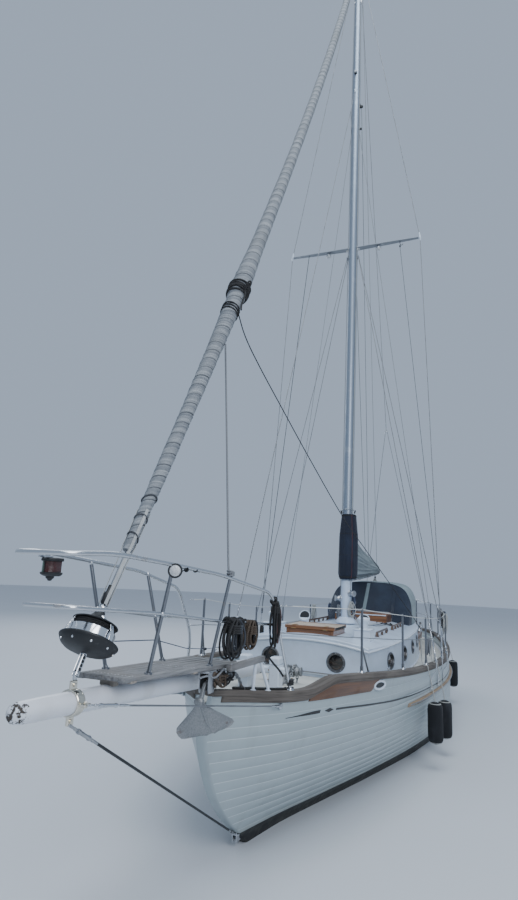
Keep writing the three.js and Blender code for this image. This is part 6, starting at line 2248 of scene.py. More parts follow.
# Spreaders of streamlined section, with their boots and small lamps
def build_spreaders():
    for side, sign in SIDES.items():
        shape = Shape()
        root = mast_at(8.05)
        t = full_turn(24)
        rows = []
        for y in (0.084, 0.090, 0.25, 0.5, 0.7, 0.9, 1.08, 1.135, 1.150):
            wide = float(np.interp(y, (0.084, 0.7, 1.15), (0.060, 0.046, 0.030))) * (0.9 if y > 1.14 else 1)
            thick = float(np.interp(y, (0.084, 0.7, 1.15), (0.0155, 0.0125, 0.0095)))
            c = V3(root[0] - (y - 0.084) * 0.03, sign * y, 8.05 + (y - 0.084) * 0.035)
            fine = np.sign(np.cos(t)) * np.abs(np.cos(t)) ** 1.15
            rows.append(c + np.stack([wide * fine, 0 * t, thick * np.sin(t)], 1))
        shape.grid(rows, wrap=True)
        tip = V3(mast_at(8.05)[0] - 0.035, sign * 1.159, 8.088)
        boot = [
            (-0.060, 0.007), (-0.052, 0.0125), (-0.02, 0.0165), (0.0, 0.018), (0.03, 0.0155),
            (0.085, 0.011), (0.105, 0.007)
        ]
        shape.turned(tip, (0, -sign * 0.12, 1), boot, 16, finish=1)
        shape.ball(tip + V3(0.004, -sign * 0.012, -0.002), (0.034, 0.016, 0.016), 16, 8, finish=1)
        collar = [(0, 0.030), (0.004, 0.034), (0.030, 0.033), (0.034, 0.028)]
        shape.turned((root[0], sign * 0.088, 8.0505), (0, sign, 0.035), collar, 20, finish=2)
        for y in (0.140, 0.200):
            spot = V3(root[0] - 0.002, sign * y, 8.05 + (y - 0.084) * 0.035 + 0.0135)
            shape.turned(spot, (0, 0, 1), [(0, 0.006), (0.004, 0.0055), (0.005, 0.002)], 8, finish=2)
        piece(
            f"spreader_{side}_arm", shape, [DARK_ALLOY, TRIM_WHITE, PALE_STEEL], instead=f"spreader_{side}",
        )
        lamp = Shape()
        y = 0.450 if sign > 0 else 0.455
        c = V3(root[0] - 0.011, sign * y, 8.05 + (y - 0.084) * 0.035 - 0.010)
        lamp.turned(
            c, (0, 0, -1),
            [(0, 0.010), (0.001, 0.013), (0.028, 0.013), (0.030, 0.030), (0.046, 0.043), (0.062, 0.046)], 22
        )
        lamp.turned(
            c - V3(0, 0, 0.062), (0, 0, -1),
            [(-0.002, 0.045), (0.004, 0.044), (0.016, 0.036), (0.024, 0.020), (0.027, 0.003)], 22, finish=1
        )
        piece(f"spreader_lamp_{side}", lamp, [DARK_ALLOY, CLEAR_LENS])
    hook = Shape()
    c = V3(mast_at(8.05)[0] - 0.023, 0.82, 8.064)
    hook.bar(
        bent([c, c + V3(0, 0, -0.05), c + V3(0, 0.03, -0.075), c + V3(0, 0.05, -0.05)], 0.02, 5), 0.005, 8,
        round_ends=True
    )
    hook.turned(
        c + V3(0, -0.012, -0.085), (0, 1, 0), [(0, 0.008), (0.003, 0.019), (0.021, 0.019), (0.024, 0.008)],
        16
    )
    piece("flag_halyard_block", hook, BLACK)


build_spreaders()


# Standing rigging
PLATE_Z = 1.230


# The point over a chainplate, outside the cap rail
def chain(x, off=0.0):
    p = rail_point(share_at(x, 0.15), 0.19)
    return V3(x, float(p[1]) + CAP_OUT + 0.046 + off, PLATE_Z)


# A chainplate with its bolts
def chainplate(shape, x, out=None, top=PLATE_Z + 0.038, finish=0):
    out = float(chain(x)[1]) if out is None else out
    u = share_at(x, 0.06)
    near = max(float(hull_point(u, 0.35)[1]), float(rail_point(u, 0.06)[1])) + 0.009
    z = float(deck_z(u))
    line = bent(
        [
            (x, near + 0.005, z - 0.138), (x, near + 0.005, z + 0.025),
            (x, out + 0.005, float(cap_top(x)[2]) - 0.070), (x, out + 0.005, top)
        ],
        0.03, 5
    )
    shape.board(line, 0.040, 0.0098, 0.002, finish, up=(0, 1, 0))
    for k in (0.115, 0.070, 0.025, -0.010):
        spot = (x, near + 0.0045, z - k)
        shape.turned(spot, (0, 1, 0), [(0, 0.0105), (0.0035, 0.010), (0.0055, 0.0035)], 14, finish)


# A rigging screw, its wire and the swages on it
def shroud(shape, foot, head, screw=0.33, thick=0.0135, radius=0.0052, finish=0, wire=1):
    rigging_screw(shape, foot, head, screw, thick, finish)
    d = unit(head - foot)
    shape.bar(straight(foot + d * (screw - 0.02), head, 24), radius, 8, finish=wire)
    for k in (0.42, 0.45, 0.48):
        shape.bar([foot + d * (k - 0.008), foot + d * (k + 0.008)], radius + 0.002, 8, finish=finish)


def build_shrouds():
    for side, sign in SIDES.items():
        shape = Shape()
        foot = chain(0.450)
        tip = V3(mast_at(8.05)[0] - 0.035, 1.159, 8.088)
        top = V3(mast_at(14.49)[0], 0.074, 14.49)
        shroud(shape, foot, tip)
        shape.bar(straight(tip, top, 14), 0.0052, 8, finish=1)
        shape.turned(
            top - unit(top - tip) * 0.12, top - tip,
            [(0, 0.006), (0.02, 0.0095), (0.11, 0.0095), (0.125, 0.012), (0.135, 0.006)], 10
        )
        chainplate(shape, 0.450)
        piece(
            f"cap_shroud_{side}_wire", mirrored(shape, sign), [STEEL, WIRE], instead=f"cap_shroud_{side}",
        )
        shape = Shape()
        root = V3(mast_at(7.85)[0], 0.104, 7.85)
        shape.block(root + V3(-0.040, -0.005, -0.015), root + V3(0.040, 0.005, 0.040), 0.003)
        for k in (-0.025, 0.0, 0.025):
            shape.turned(
                root + V3(k, 0.004, 0.022), (0, 1, 0), [(0, 0.008), (0.004, 0.0075), (0.006, 0.003)], 6
            )
        for way in (0.520, -0.520):
            shroud(shape, chain(0.450 + way), root + V3(math.copysign(0.030, way), 0, 0))
            chainplate(shape, 0.450 + way)
        piece(
            f"lower_shroud_{side}_wires", mirrored(shape, sign), [STEEL, WIRE],
            instead=f"lower_shrouds_{side}"
        )


build_shrouds()


def build_backstay():
    shape = Shape()
    top, fork = V3(MASTHEAD[0] - 0.184, 0, 14.61), V3(-3.350, 0, 5.600)
    shape.bar(straight(top, fork, 40), 0.0052, 8, finish=1)
    shape.turned(
        top, fork - top, [(-0.03, 0.004), (-0.02, 0.012), (0.05, 0.012), (0.14, 0.0095), (0.16, 0.006)], 10
    )
    shape.turned(fork, top - fork, [(0.02, 0.010), (0.03, 0.012), (0.13, 0.0105), (0.16, 0.006)], 10)
    for sign in (1, -1):
        out = float(rail_point(share_at(-4.56, 0.15), 0.19)[1]) + CAP_OUT + 0.026
        foot = V3(-4.560, sign * out, 1.330)
        end = V3(fork[0], sign * 0.014, fork[2])
        d = unit(end - foot)
        shroud(shape, foot, end, 0.30)
        half = Shape()
        chainplate(half, -4.560, out, 1.330)
        mirrored(half, sign)
        shape.points += half.points
        shape.faces += [[k + shape.count for k in face] for face in half.faces]
        shape.sheet += half.sheet
        shape.finishes += half.finishes
        shape.count += half.count
        plate = [
            fork + V3(0.006 * sign, 0, 0.034), fork + V3(0.006 * sign, 0.028, -0.02),
            fork + V3(0.006 * sign, -0.028, -0.02)
        ]
        shape.bar(bent([plate[0], plate[1], plate[2], plate[0]], 0.008, 4), 0.0045, 8)
        shape.turned(end - d * 0.10, d, [(0, 0.006), (0.02, 0.010), (0.09, 0.010), (0.10, 0.006)], 10)
    for spot in ((0, 0, 0.028), (0, 0.020, -0.014), (0, -0.020, -0.014)):
        shape.turned(
            fork + V3(-0.012, spot[1], spot[2]), (1, 0, 0),
            [(0, 0.003), (0.001, 0.008), (0.023, 0.008), (0.024, 0.003)], 12
        )
    piece("backstay_wires", shape, [STEEL, WIRE], instead="backstay")


build_backstay()


# Inner forestay to an eye on the bowsprit, and the runners led forward to the shrouds
INNER_TOP, INNER_FOOT = mast_at(11.43, 0.110), V3(4.800, 0, 1.560)


def build_inner_stay():
    shape = Shape()
    shroud(shape, INNER_FOOT, INNER_TOP, 0.30, 0.012, 0.0045)
    shape.block(INNER_FOOT + V3(-0.060, -0.030, -0.036), INNER_FOOT + V3(0.040, 0.030, -0.028), 0.003)
    for side in (1, -1):
        shape.block(
            INNER_FOOT + V3(-0.020, side * 0.010 - 0.003, -0.030),
            INNER_FOOT + V3(0.016, side * 0.010 + 0.003, 0.014), 0.003
        )
    shape.block(INNER_TOP + V3(-0.020, -0.008, -0.030), INNER_TOP + V3(0.014, 0.008, 0.030), 0.003)
    piece("inner_forestay", shape, [STEEL, WIRE])
    for side, sign in SIDES.items():
        runner = Shape()
        head = mast_face(10.48, 80 * sign, 0.006)
        foot = V3(-0.100, sign * 1.245, 1.420)
        d = unit(foot - head)
        runner.bar(straight(head, foot - d * 0.10, 24), 0.0035, 8, finish=1)
        runner.block(
            foot - d * 0.055 + V3(-0.014, -0.010, -0.034), foot - d * 0.055 + V3(0.014, 0.010, 0.034),
            0.006, finish=2
        )
        tail = V3(-0.100, sign * 1.245, deck_under(-0.1, 1.245) + 0.016)
        runner.turned(
            tail - V3(0, 0, 0.018), (0, 0, 1), [(0, 0.022), (0.004, 0.022), (0.006, 0.010), (0.018, 0.008)],
            14
        )
        for k in (-0.010, 0.010):
            runner.bar(straight(foot + V3(k, 0, -0.02), tail + V3(k * 0.6, 0, 0), 6), 0.004, 8, finish=3)
        piece(f"runner_{side}", runner, [STEEL, WIRE, BLACK, GREY_ROPE])
        flag = Shape()
        y = 0.83 if sign < 0 else 0.82
        top = V3(mast_at(8.05)[0] - 0.023, sign * y, 8.064 if sign < 0 else 7.975)
        low = V3(0.395, sign * (float(chain(0.45)[1]) - 0.004), 1.70)
        for k in (0.0, 0.012):
            flag.bar(straight(top + V3(k, 0, 0), low + V3(k, 0, 0), 20), 0.0026, 6)
        flag.turned(
            low + V3(0.006, 0, -0.05), low - V3(*chain(0.45)) * V3(1, sign, 1),
            [(0, 0.014), (0.06, 0.016), (0.08, 0.012)], 12
        )
        piece(f"flag_halyard_{side}", flag, DARK_ROPE)


build_inner_stay()


# Rope made up on the mast's cleats, and the halyards up its face
def hank(shape, hook, drop, wide, turns=5, radius=0.0055, finish=0, lean=(0, 1, 0), seed=1.0):
    hook, lean = V3(*hook), unit(V3(*lean))
    along = unit(np.cross(lean, V3(0, 0, 1)))
    t = full_turn(28)
    for k in range(turns):
        sway = math.sin(seed * 7.3 + k * 2.1)
        deep = drop * (0.90 + 0.10 * math.sin(seed * 3 + k * 1.7))
        half = wide * (0.40 + 0.12 * sway)
        egg = np.sin(t / 2) ** 0.8
        x = np.sin(t) * half * (0.25 + 0.75 * egg) * (1.1 if k % 2 else 0.9)
        z = -deep * (1 - np.cos(t)) / 2
        off = (k - (turns - 1) / 2) * radius * 1.7
        path = hook + np.outer(x + 0.006 * sway, along) + np.outer(z, V3(0, 0, 1)) + np.outer(
            off + 0.004 * np.sin(t * 2 + k), lean
        )
        shape.bar(path, radius, 8, loop=True, finish=finish)
    for k in range(4):
        s = full_turn(14)
        wrap = hook + V3(0, 0, -0.045 - k * radius * 2.1)
        across = np.outer(np.cos(s) * (wide * 0.17 + radius), along)
        ring = wrap + across + np.outer(np.sin(s) * (turns * radius * 1.05), lean)
        shape.bar(ring, radius, 8, loop=True, finish=finish)


def build_halyards():
    shape = Shape()
    for turn, low, high, finish in ((62, 2.09, 14.60, 0), (-68, 2.01, 14.60, 1), (150, 1.94, 14.60, 0)):
        line = [mast_face(z, turn, 0.009) for z in np.linspace(low, high, 60)]
        shape.bar(line, 0.0042, 8, finish=finish)
    for turn, low, finish, drop in ((62, 1.86, 0, 0.40), (-70, 1.80, 1, 0.30), (100, 1.92, 2, 0.34)):
        out = unit(mast_face(low, turn) - mast_at(low))
        hank(
            shape, mast_face(low, turn, 0.034) + V3(0, 0, 0.06), min(drop, low + 0.06 - 1.66), 0.15, 4,
            0.006, finish, out, turn * 0.1
        )
    piece("halyards", shape, [WHITE_ROPE, GREY_ROPE, BLUE_ROPE])


build_halyards()


# Cloth on a grid of points: a thin closed sheet with its own thickness
def cloth(shape, rows, thick=0.0025, finish=0):
    rows = np.array(rows, float)
    normal = np.cross(np.gradient(rows, axis=0), np.gradient(rows, axis=1))
    normal /= np.maximum(1e-9, np.linalg.norm(normal, axis=2))[..., None]
    other = rows + normal * thick
    shape.grid(np.concatenate([rows, other[:, ::-1]], axis=1), wrap=True, ends=False, finish=finish)
    for k in (0, -1):
        shape.grid([rows[k], other[k]], ends=False, finish=finish)
    return shape


# Cover cloth gathered into pleats that run along the sheet's u. Its colour follows the pleats' relief: dark
# in the hollows as painted shade, pale on the ridges as painted highlight
def pleated_canvas_with_painted_shade(name, dark, cloth_colour, pale):
    f = Finish(name)
    along, across, _ = f.parts(f.sheet_place)
    fold = f.noise(f.scaled(f.sheet_place, (0.22, 17, 1)), 1.0, 4, 0.65)
    fine = f.noise(f.scaled(f.sheet_place, (1.4, 60, 1)), 1.0, 3, 0.6)
    weave = (along * 1300).maths("SINE") * (across * 1300).maths("SINE")
    grime = f.noise(f.object_place, 2.6, 4)
    # The ramp from dark through the cloth's colour to pale follows the same fold noise as the bump: painted
    # shade in the hollows, painted highlight on the ridges
    colour = f.ramp(fold * 0.8 + fine * 0.2, (0.34, dark), (0.47, cloth_colour), (0.64, pale))
    colour = f.blend(f.rise(grime, 0.5, 0.75) * 0.3, colour, dark)
    height = fold * 2.2 + fine * 0.6 + weave * 0.05
    return f.surface(colour, 0.86 + weave * 0.04, height, 0.008, sheen_weight=0.15, sheen_roughness=0.5)


COVER_CLOTH_PAINTED_SHADE = pleated_canvas_with_painted_shade(
    "sail cover cloth in pleats", (0.028, 0.045, 0.062), (0.095, 0.135, 0.155), (0.27, 0.33, 0.35)
)
# The dodger's top is the same blue cloth painted a pale grey-teal: a painted sheen of sky reflected at a
# grazing angle
SKY_SHEEN_CLOTH = canvas("pale dodger cloth", (0.17, 0.225, 0.245), (0.26, 0.32, 0.34))
# The collar's cloth is a darker navy than the rest of the canvas: painted shade, as the collar faces away
# from the sky
SHADED_COLLAR_CLOTH = canvas("dark collar cloth", (0.006, 0.010, 0.024), (0.014, 0.022, 0.046))
RED_TAPE = line_paint("faded red tape", (0.12, 0.035, 0.045), 0.7)
WEBBING = canvas("pale webbing", (0.42, 0.43, 0.43), (0.55, 0.56, 0.56), 700)
DARK_STRAP = canvas("dark webbing", (0.05, 0.055, 0.065), (0.09, 0.095, 0.11), 700)


# Canvas collar laced round the mast above the gooseneck
COLLAR_ZS = [2.250, 2.330, 2.900, 3.230, 3.260]
COLLAR_HALF = [(0.132, 0.122), (0.149, 0.149), (0.149, 0.149), (0.127, 0.117), (0.117, 0.105)]


# A point on the pleated cloth round the mast
def collar_point(z, turn, out=0.0):
    a, b = (float(np.interp(z, COLLAR_ZS, [half[k] for half in COLLAR_HALF])) for k in (0, 1))
    t = math.radians(turn)
    body = math.sin(math.pi * min(1, max(0, (z - 2.25) / 1.01)))
    fold = 0.006 * math.sin(5 * t + 0.6 + 0.5 * math.sin(z * 4)) + 0.004 * math.sin(9 * t + z * 3.1)
    crease = -0.020 * math.exp(-((turn - 40) / 7) ** 2) * (0.5 + 0.5 * body)
    push = (fold * (0.4 + 0.6 * body) + crease + out) - 0.004
    return mast_at(z, (a + push) * math.cos(t), 0.018 + (b + push) * math.sin(t))


def build_collar():
    shape = Shape()
    turns = np.linspace(-117, 117, 66)
    zs = np.concatenate([[2.250, 2.262, 2.285], np.linspace(2.32, 3.20, 34), [3.225, 3.245, 3.259]])
    cloth(shape, [[collar_point(z, t) for t in turns[::-1]] for z in zs], 0.0026)
    # The collar takes the darker cloth, which is painted shade
    sheet = piece("mast_collar_cloth", shape, SHADED_COLLAR_CLOTH, instead="mast_collar", sharp=60)
    trim = Shape()
    trim.bar([collar_point(z, 36, 0.014) for z in np.linspace(2.27, 3.25, 40)], 0.0035, 6, finish=1)
    for z in (2.275, 3.235):
        for k in (0, 0.012):
            trim.bar([collar_point(z + k, t, 0.005) for t in np.linspace(-114, 114, 50)], 0.0042, 6)
    for z in (2.62, 2.95):
        trim.bar([collar_point(z, t, 0.004) for t in np.linspace(-112, 112, 50)], 0.003, 6)
    for side in (-1, 1):
        knot = collar_point(3.25, 62 * side, 0.010) + V3(0, 0, 0.030)
        for k in range(3):
            trim.ball(knot + V3(0.004 * k, side * 0.005 * k, 0.016 * k), (0.014, 0.012, 0.012), 10, 6)
    held = piece("collar_lashings", trim, [DARK_ROPE, RED_TAPE])
    return held


build_collar()


# The headsail rolled on its stay, which sags aft under it
STAY_LOW = V3(CRANSE_X - 0.004, 0, CRANSE[2] + 0.128)
STAY_HIGH = V3(MASTHEAD[0] + 0.160, 0, 14.560)
STAY_DIR = unit(STAY_HIGH - STAY_LOW)
ROLL_ZS = [2.045, 2.3, 2.4, 2.9, 3.5, 4.2, 4.65, 4.8, 5.0, 5.6, 7.4, 9.5, 11.5, 12.9, 13.8, 13.85]
ROLL_RS = [
    0.022, 0.026, 0.036, 0.050, 0.056, 0.068, 0.078, 0.092, 0.088, 0.074, 0.064, 0.063, 0.062, 0.060, 0.036,
    0.020
]
SAG = 0.250


# A point on the straight forestay
def stay_at(z):
    return STAY_LOW + STAY_DIR * (z - STAY_LOW[2]) / STAY_DIR[2]


# The same point with the stay's sag
def sag_at(z):
    t = (z - ROLL_ZS[0]) / (STAY_HIGH[2] - ROLL_ZS[0])
    return stay_at(z) + V3(-4 * SAG * t * (1 - t), 0, 0)


# Radius of the rolled headsail at a height
def roll_radius(z):
    return float(np.interp(z, ROLL_ZS, ROLL_RS))


# A point on the roll: turn 0 looks to port, 90 up along the stay's forward side
def roll_face(z, turn, out=0.0):
    side = unit(np.cross(V3(0, 1, 0), STAY_DIR))
    a = math.radians(turn)
    return sag_at(z) + (V3(0, 1, 0) * math.cos(a) + side * math.sin(a)) * (roll_radius(z) + out)


def build_headsail():
    zs = np.arange(2.36, 13.86, 0.0088)
    pitch = np.interp(zs, (2.3, 4.6, 5.2, 9, 13.9), (0.095, 0.105, 0.128, 0.140, 0.147))
    wound = np.cumsum(0.0088 / STAY_DIR[2] / pitch)
    n = 20
    rows = []
    for z, turn in zip(zs, wound):
        c, r = sag_at(z), roll_radius(z)
        side = unit(np.cross(V3(0, 1, 0), STAY_DIR))
        k = np.arange(n) / n
        rough = 0.55 if z > 5.1 else 1.0
        lap = 1 + rough * (0.055 * k - 0.03) * np.where(k > 0.93, (1 - k) / 0.07, 1)
        lap += rough * 0.020 * np.sin(2 * math.pi * (3 * k + 0.31 * turn))
        lap += 0.014 * np.sin(2 * math.pi * (5 * k - 0.77 * turn))
        lap += 0.012 * math.sin(z * 9.0) + 0.008 * math.sin(z * 23.0)
        a = 2 * math.pi * (k - turn)
        reach = (r * lap - 0.0015)[:, None]
        rows.append(c + (np.cos(a)[:, None] * V3(0, 1, 0) + np.sin(a)[:, None] * side) * reach)
    shape = Shape().grid(rows, wrap=True, vs=np.linspace(0, 1, n + 1))
    shape.bar([sag_at(z) for z in np.linspace(2.02, 14.55, 120)], 0.0088, 10, finish=1)
    swivel = [
        (-0.02, 0.016), (-0.01, 0.030), (0.025, 0.033), (0.03, 0.026), (0.06, 0.026), (0.065, 0.033),
        (0.10, 0.030), (0.12, 0.014)
    ]
    shape.turned(sag_at(13.93), sag_at(14.0) - sag_at(13.9), swivel, 20, finish=2)
    shape.turned(
        sag_at(2.06), STAY_DIR,
        [(-0.02, 0.012), (-0.01, 0.021), (0.05, 0.0215), (0.06, 0.014), (0.10, 0.013)], 18, finish=2
    )
    materials = [SAIL, DARK_ALLOY, BLACK]
    piece("rolled_headsail", shape, materials, instead="furled_headsail", sharp=44)
    straps = Shape()
    for turn, wide in ((150, 0.020), (30, 0.020), (-60, 0.018)):
        line = [roll_face(z, turn, 0.003 if z > 2.4 else 0.006) for z in np.linspace(2.04, 2.62, 16)]
        out = unit(line[5] - sag_at(2.25))
        straps.board(line, wide, 0.0035, 0.001, up=out)
    for z, turn0 in ((2.44, 0), (2.56, 40), (2.70, 80)):
        t = np.linspace(0, 360, 26, endpoint=False)
        straps.bar(
            [roll_face(z + 0.02 * math.sin(math.radians(k + turn0)), k, 0.001) for k in t], 0.006, 8,
            loop=True, finish=1
        )
    piece("tack_straps", straps, [WEBBING, DARK_STRAP])
    knot = Shape()
    for k in range(6):
        t = np.linspace(0, 360, 26, endpoint=False)
        tilt = 0.030 * math.sin(k * 1.9)
        z0 = 4.74 + 0.022 * k
        ring = [
            roll_face(z0 + tilt * math.sin(math.radians(j + 50 * k)), j, 0.005 + 0.004 * (k % 2)) for j in t
        ]
        knot.bar(ring, 0.009, 8, loop=True)
    for k in range(4):
        c = roll_face(4.78, 20, 0.014) + V3(0.004 * k, 0.010 * k, -0.012 + 0.016 * k)
        ring = hoop(c, V3(0.5, 0.3, 1) * 0.022, V3(-0.7, 0.7, 0.2 * k) * 0.020, 16)
        knot.bar(ring, 0.008, 8, loop=True)
    tail = through(
        [
            roll_face(4.76, 20, 0.01), roll_face(4.70, 15, 0.026), roll_face(4.60, 5, 0.020),
            roll_face(4.54, 0, 0.030)
        ],
        0.01
    )
    knot.bar(tail, 0.008, 8, round_ends=True)
    for k in range(3):
        t = np.linspace(0, 360, 26, endpoint=False)
        knot.bar(
            [roll_face(4.50 + 0.03 * k + 0.012 * math.sin(math.radians(j)), j, 0.003) for j in t], 0.006, 8,
            loop=True
        )
    piece("sheet_knot", knot, DARK_ROPE)
    sheets = Shape()
    lead = [
        roll_face(4.52, 0, 0.004), V3(4.99, 0.082, 4.36), V3(4.688, 0.113, 4.179), V3(4.088, 0.180, 3.87),
        V3(3.426, 0.255, 3.535)
    ]
    lead += [
        V3(2.332, 0.378, 3.015), V3(1.360, 0.495, 2.640), V3(0.797, 0.558, 2.436), V3(-0.093, 0.663, 2.105)
    ]
    lead += [V3(-1.256, 0.800, 1.661), V3(-1.95, 0.812, 1.482), V3(-2.405, 0.805, 1.392)]
    sheets.bar(through(lead, 0.06), 0.0052, 8)
    line = [
        roll_face(4.15, -20, 0.006), V3(5.33, 0.080, 3.80), V3(5.44, 0.185, 3.10), V3(5.60, 0.318, 2.32),
        V3(5.610, 0.335, 2.255)
    ]
    sheets.bar(through(line, 0.05), 0.0078, 10, finish=1)
    for k in range(3):
        a = full_turn(16)
        c = V3(5.610, 0.345, 2.236 + 0.014 * k)
        sheets.bar(
            c + np.stack([np.cos(a) * 0.022, np.sin(a) * 0.024, 0.006 * np.sin(a + k)], 1), 0.0070, 8,
            loop=True, finish=1
        )
    piece("headsail_sheets", sheets, [DARK_ROPE, GREY_ROPE])
    furling = Shape()
    route = [V3(6.73, -0.105, 1.895), V3(6.34, -0.205, 1.800), V3(5.55, -0.262, 1.742), V3(4.80, -0.40, 1.60)]
    for x in STANCHIONS:
        p = cap_top(x)
        route.append(V3(x + 0.02, -(p[1] - 0.075), p[2] + 0.075))
    route.append(V3(-2.44, -0.86, 1.40))
    furling.bar(straight_run(route), 0.0036, 8)
    for x in STANCHIONS:
        p = cap_top(x)
        c = V3(x + 0.02, -(p[1] - 0.075), p[2] + 0.075)
        furling.turned(
            c - V3(0.012, 0, 0), (1, 0, 0), [(0, 0.008), (0.003, 0.014), (0.021, 0.014), (0.024, 0.008)],
            14, finish=1
        )
        furling.bar([c + V3(0, -0.010, 0), V3(x, -(p[1] - 0.022), p[2] + 0.075)], 0.005, 8, finish=1)
    piece("furling_line", furling, [BLUE_ROPE, BLACK])


# Straight stretches between points, cut into short steps
def straight_run(points, step=0.08):
    out = []
    for a, b in zip(points, points[1:]):
        n = max(2, int(np.linalg.norm(b - a) / step))
        out += [lerp(a, b, t) for t in np.linspace(0, 1, n, endpoint=False)]
    return np.array([*out, points[-1]])


build_headsail()


# Furling drum: a dark bowl with a bright band, a cage of rope over it and a cone on top
def build_drum():
    c = stay_at(1.890)
    shape = Shape()
    bowl = [
        (-0.115, 0.020), (-0.114, 0.038), (-0.109, 0.085), (-0.099, 0.122), (-0.083, 0.148), (-0.066, 0.161)
    ]
    bowl += [(-0.050, 0.1675), (-0.042, 0.166), (-0.038, 0.158), (-0.043, 0.150), (-0.045, 0.05)]
    shape.turned(c, STAY_DIR, bowl, 56)
    shape.turned(c, STAY_DIR, [(-0.056, 0.167), (-0.052, 0.1695), (-0.046, 0.1695), (-0.042, 0.167)], 56)
    shape.turned(
        c, STAY_DIR, [(-0.044, 0.122), (-0.043, 0.131), (0.014, 0.131), (0.016, 0.122), (-0.044, 0.120)],
        48, finish=1
    )
    shape.turned(
        c, STAY_DIR,
        [(0.050, 0.05), (0.0515, 0.128), (0.0555, 0.132), (0.060, 0.128), (0.064, 0.075), (0.066, 0.05)], 44
    )
    cone = [
        (0.060, 0.078), (0.068, 0.076), (0.078, 0.062), (0.110, 0.034), (0.126, 0.028), (0.134, 0.024),
        (0.135, 0.010)
    ]
    shape.turned(c, STAY_DIR, cone, 30)
    fore = unit(np.cross(V3(0, 1, 0), STAY_DIR))
    for k in range(9):
        a = 2 * math.pi * (k + 0.2) / 9
        out = V3(0, 1, 0) * math.cos(a) + fore * math.sin(a)
        stud = c + STAY_DIR * -0.078 + out * 0.1505
        shape.turned(
            stud, unit(out - STAY_DIR * 0.5), [(0, 0.007), (0.004, 0.0065), (0.006, 0.002)], 8, finish=1
        )
        if k % 3 == 0:
            arm = [
                c + STAY_DIR * -0.044 + out * 0.153, c + STAY_DIR * 0.000 + out * 0.146,
                c + STAY_DIR * 0.050 + out * 0.126
            ]
            shape.board(through(arm, 0.01), 0.030, 0.004, 0.001, finish=1, up=out)
    for k in range(7):
        c0 = c + STAY_DIR * (0.0185 + 0.0050 * k)
        r = 0.108 + 0.008 * (k % 2)
        ring = hoop(c0, V3(0, r, 0), fore * r, 30)
        shape.bar(ring, 0.0045, 6, loop=True, finish=3)
    nut = c + STAY_DIR * 0.092 + V3(0.012, 0.040, 0)
    shape.turned(
        nut, (0.55, 0.80, 0.1),
        [(-0.012, 0.018), (0.006, 0.0185), (0.010, 0.015), (0.012, 0.008), (0.020, 0.008), (0.022, 0.003)],
        6, finish=1
    )
    shape.turned(
        c + STAY_DIR * 0.150 - V3(0.010, 0, 0), (1, 0, 0.2),
        [(-0.012, 0.012), (0.0, 0.020), (0.018, 0.020), (0.026, 0.010)], 14, finish=2
    )
    low, high = STAY_LOW + STAY_DIR * 0.004, stay_at(1.802)
    for side in (1, -1):
        line = straight(low + V3(0, side * 0.013, 0), high + V3(0, side * 0.013, 0), 6)
        shape.board(line, 0.034, 0.0045, 0.002, finish=2, up=(0, side, 0))
        for k in np.linspace(0.12, 0.88, 6):
            spot = lerp(low, high, k) + V3(0, side * 0.0125, 0)
            shape.turned(spot, (0, side, 0), [(0, 0.0095), (0.0015, 0.0095), (0.0017, 0.007)], 12, finish=0)
    for at in (low + STAY_DIR * 0.014, high - STAY_DIR * 0.014):
        shape.turned(
            at - V3(0, 0.019, 0), (0, 1, 0), [(0, 0.004), (0.001, 0.010), (0.037, 0.010), (0.038, 0.004)],
            14, finish=2
        )
    shape.block(low + V3(-0.012, -0.009, -0.020), low + V3(0.012, 0.009, 0.030), 0.004, finish=2)
    piece(
        "furling_drum", shape, [BLACK, SILVER_BAND, STEEL, DARK_ROPE], instead="furler_drum",
        sharp=30
    )


build_drum()


# Boom under its cover
GOOSE = V3(mast_at(2.290)[0] - 0.175, 0, 2.290)
BOOM_SIDE = math.radians(4)
BOOM_DIR = unit(V3(-math.cos(BOOM_SIDE), -math.sin(BOOM_SIDE), 0.042))
BOOM_ACROSS = V3(math.sin(BOOM_SIDE), -math.cos(BOOM_SIDE), 0)


# A point beside the boom's axis
def boom_at(along, up=0.0, across=0.0):
    return GOOSE + BOOM_DIR * along + V3(0, 0, up) + BOOM_ACROSS * across


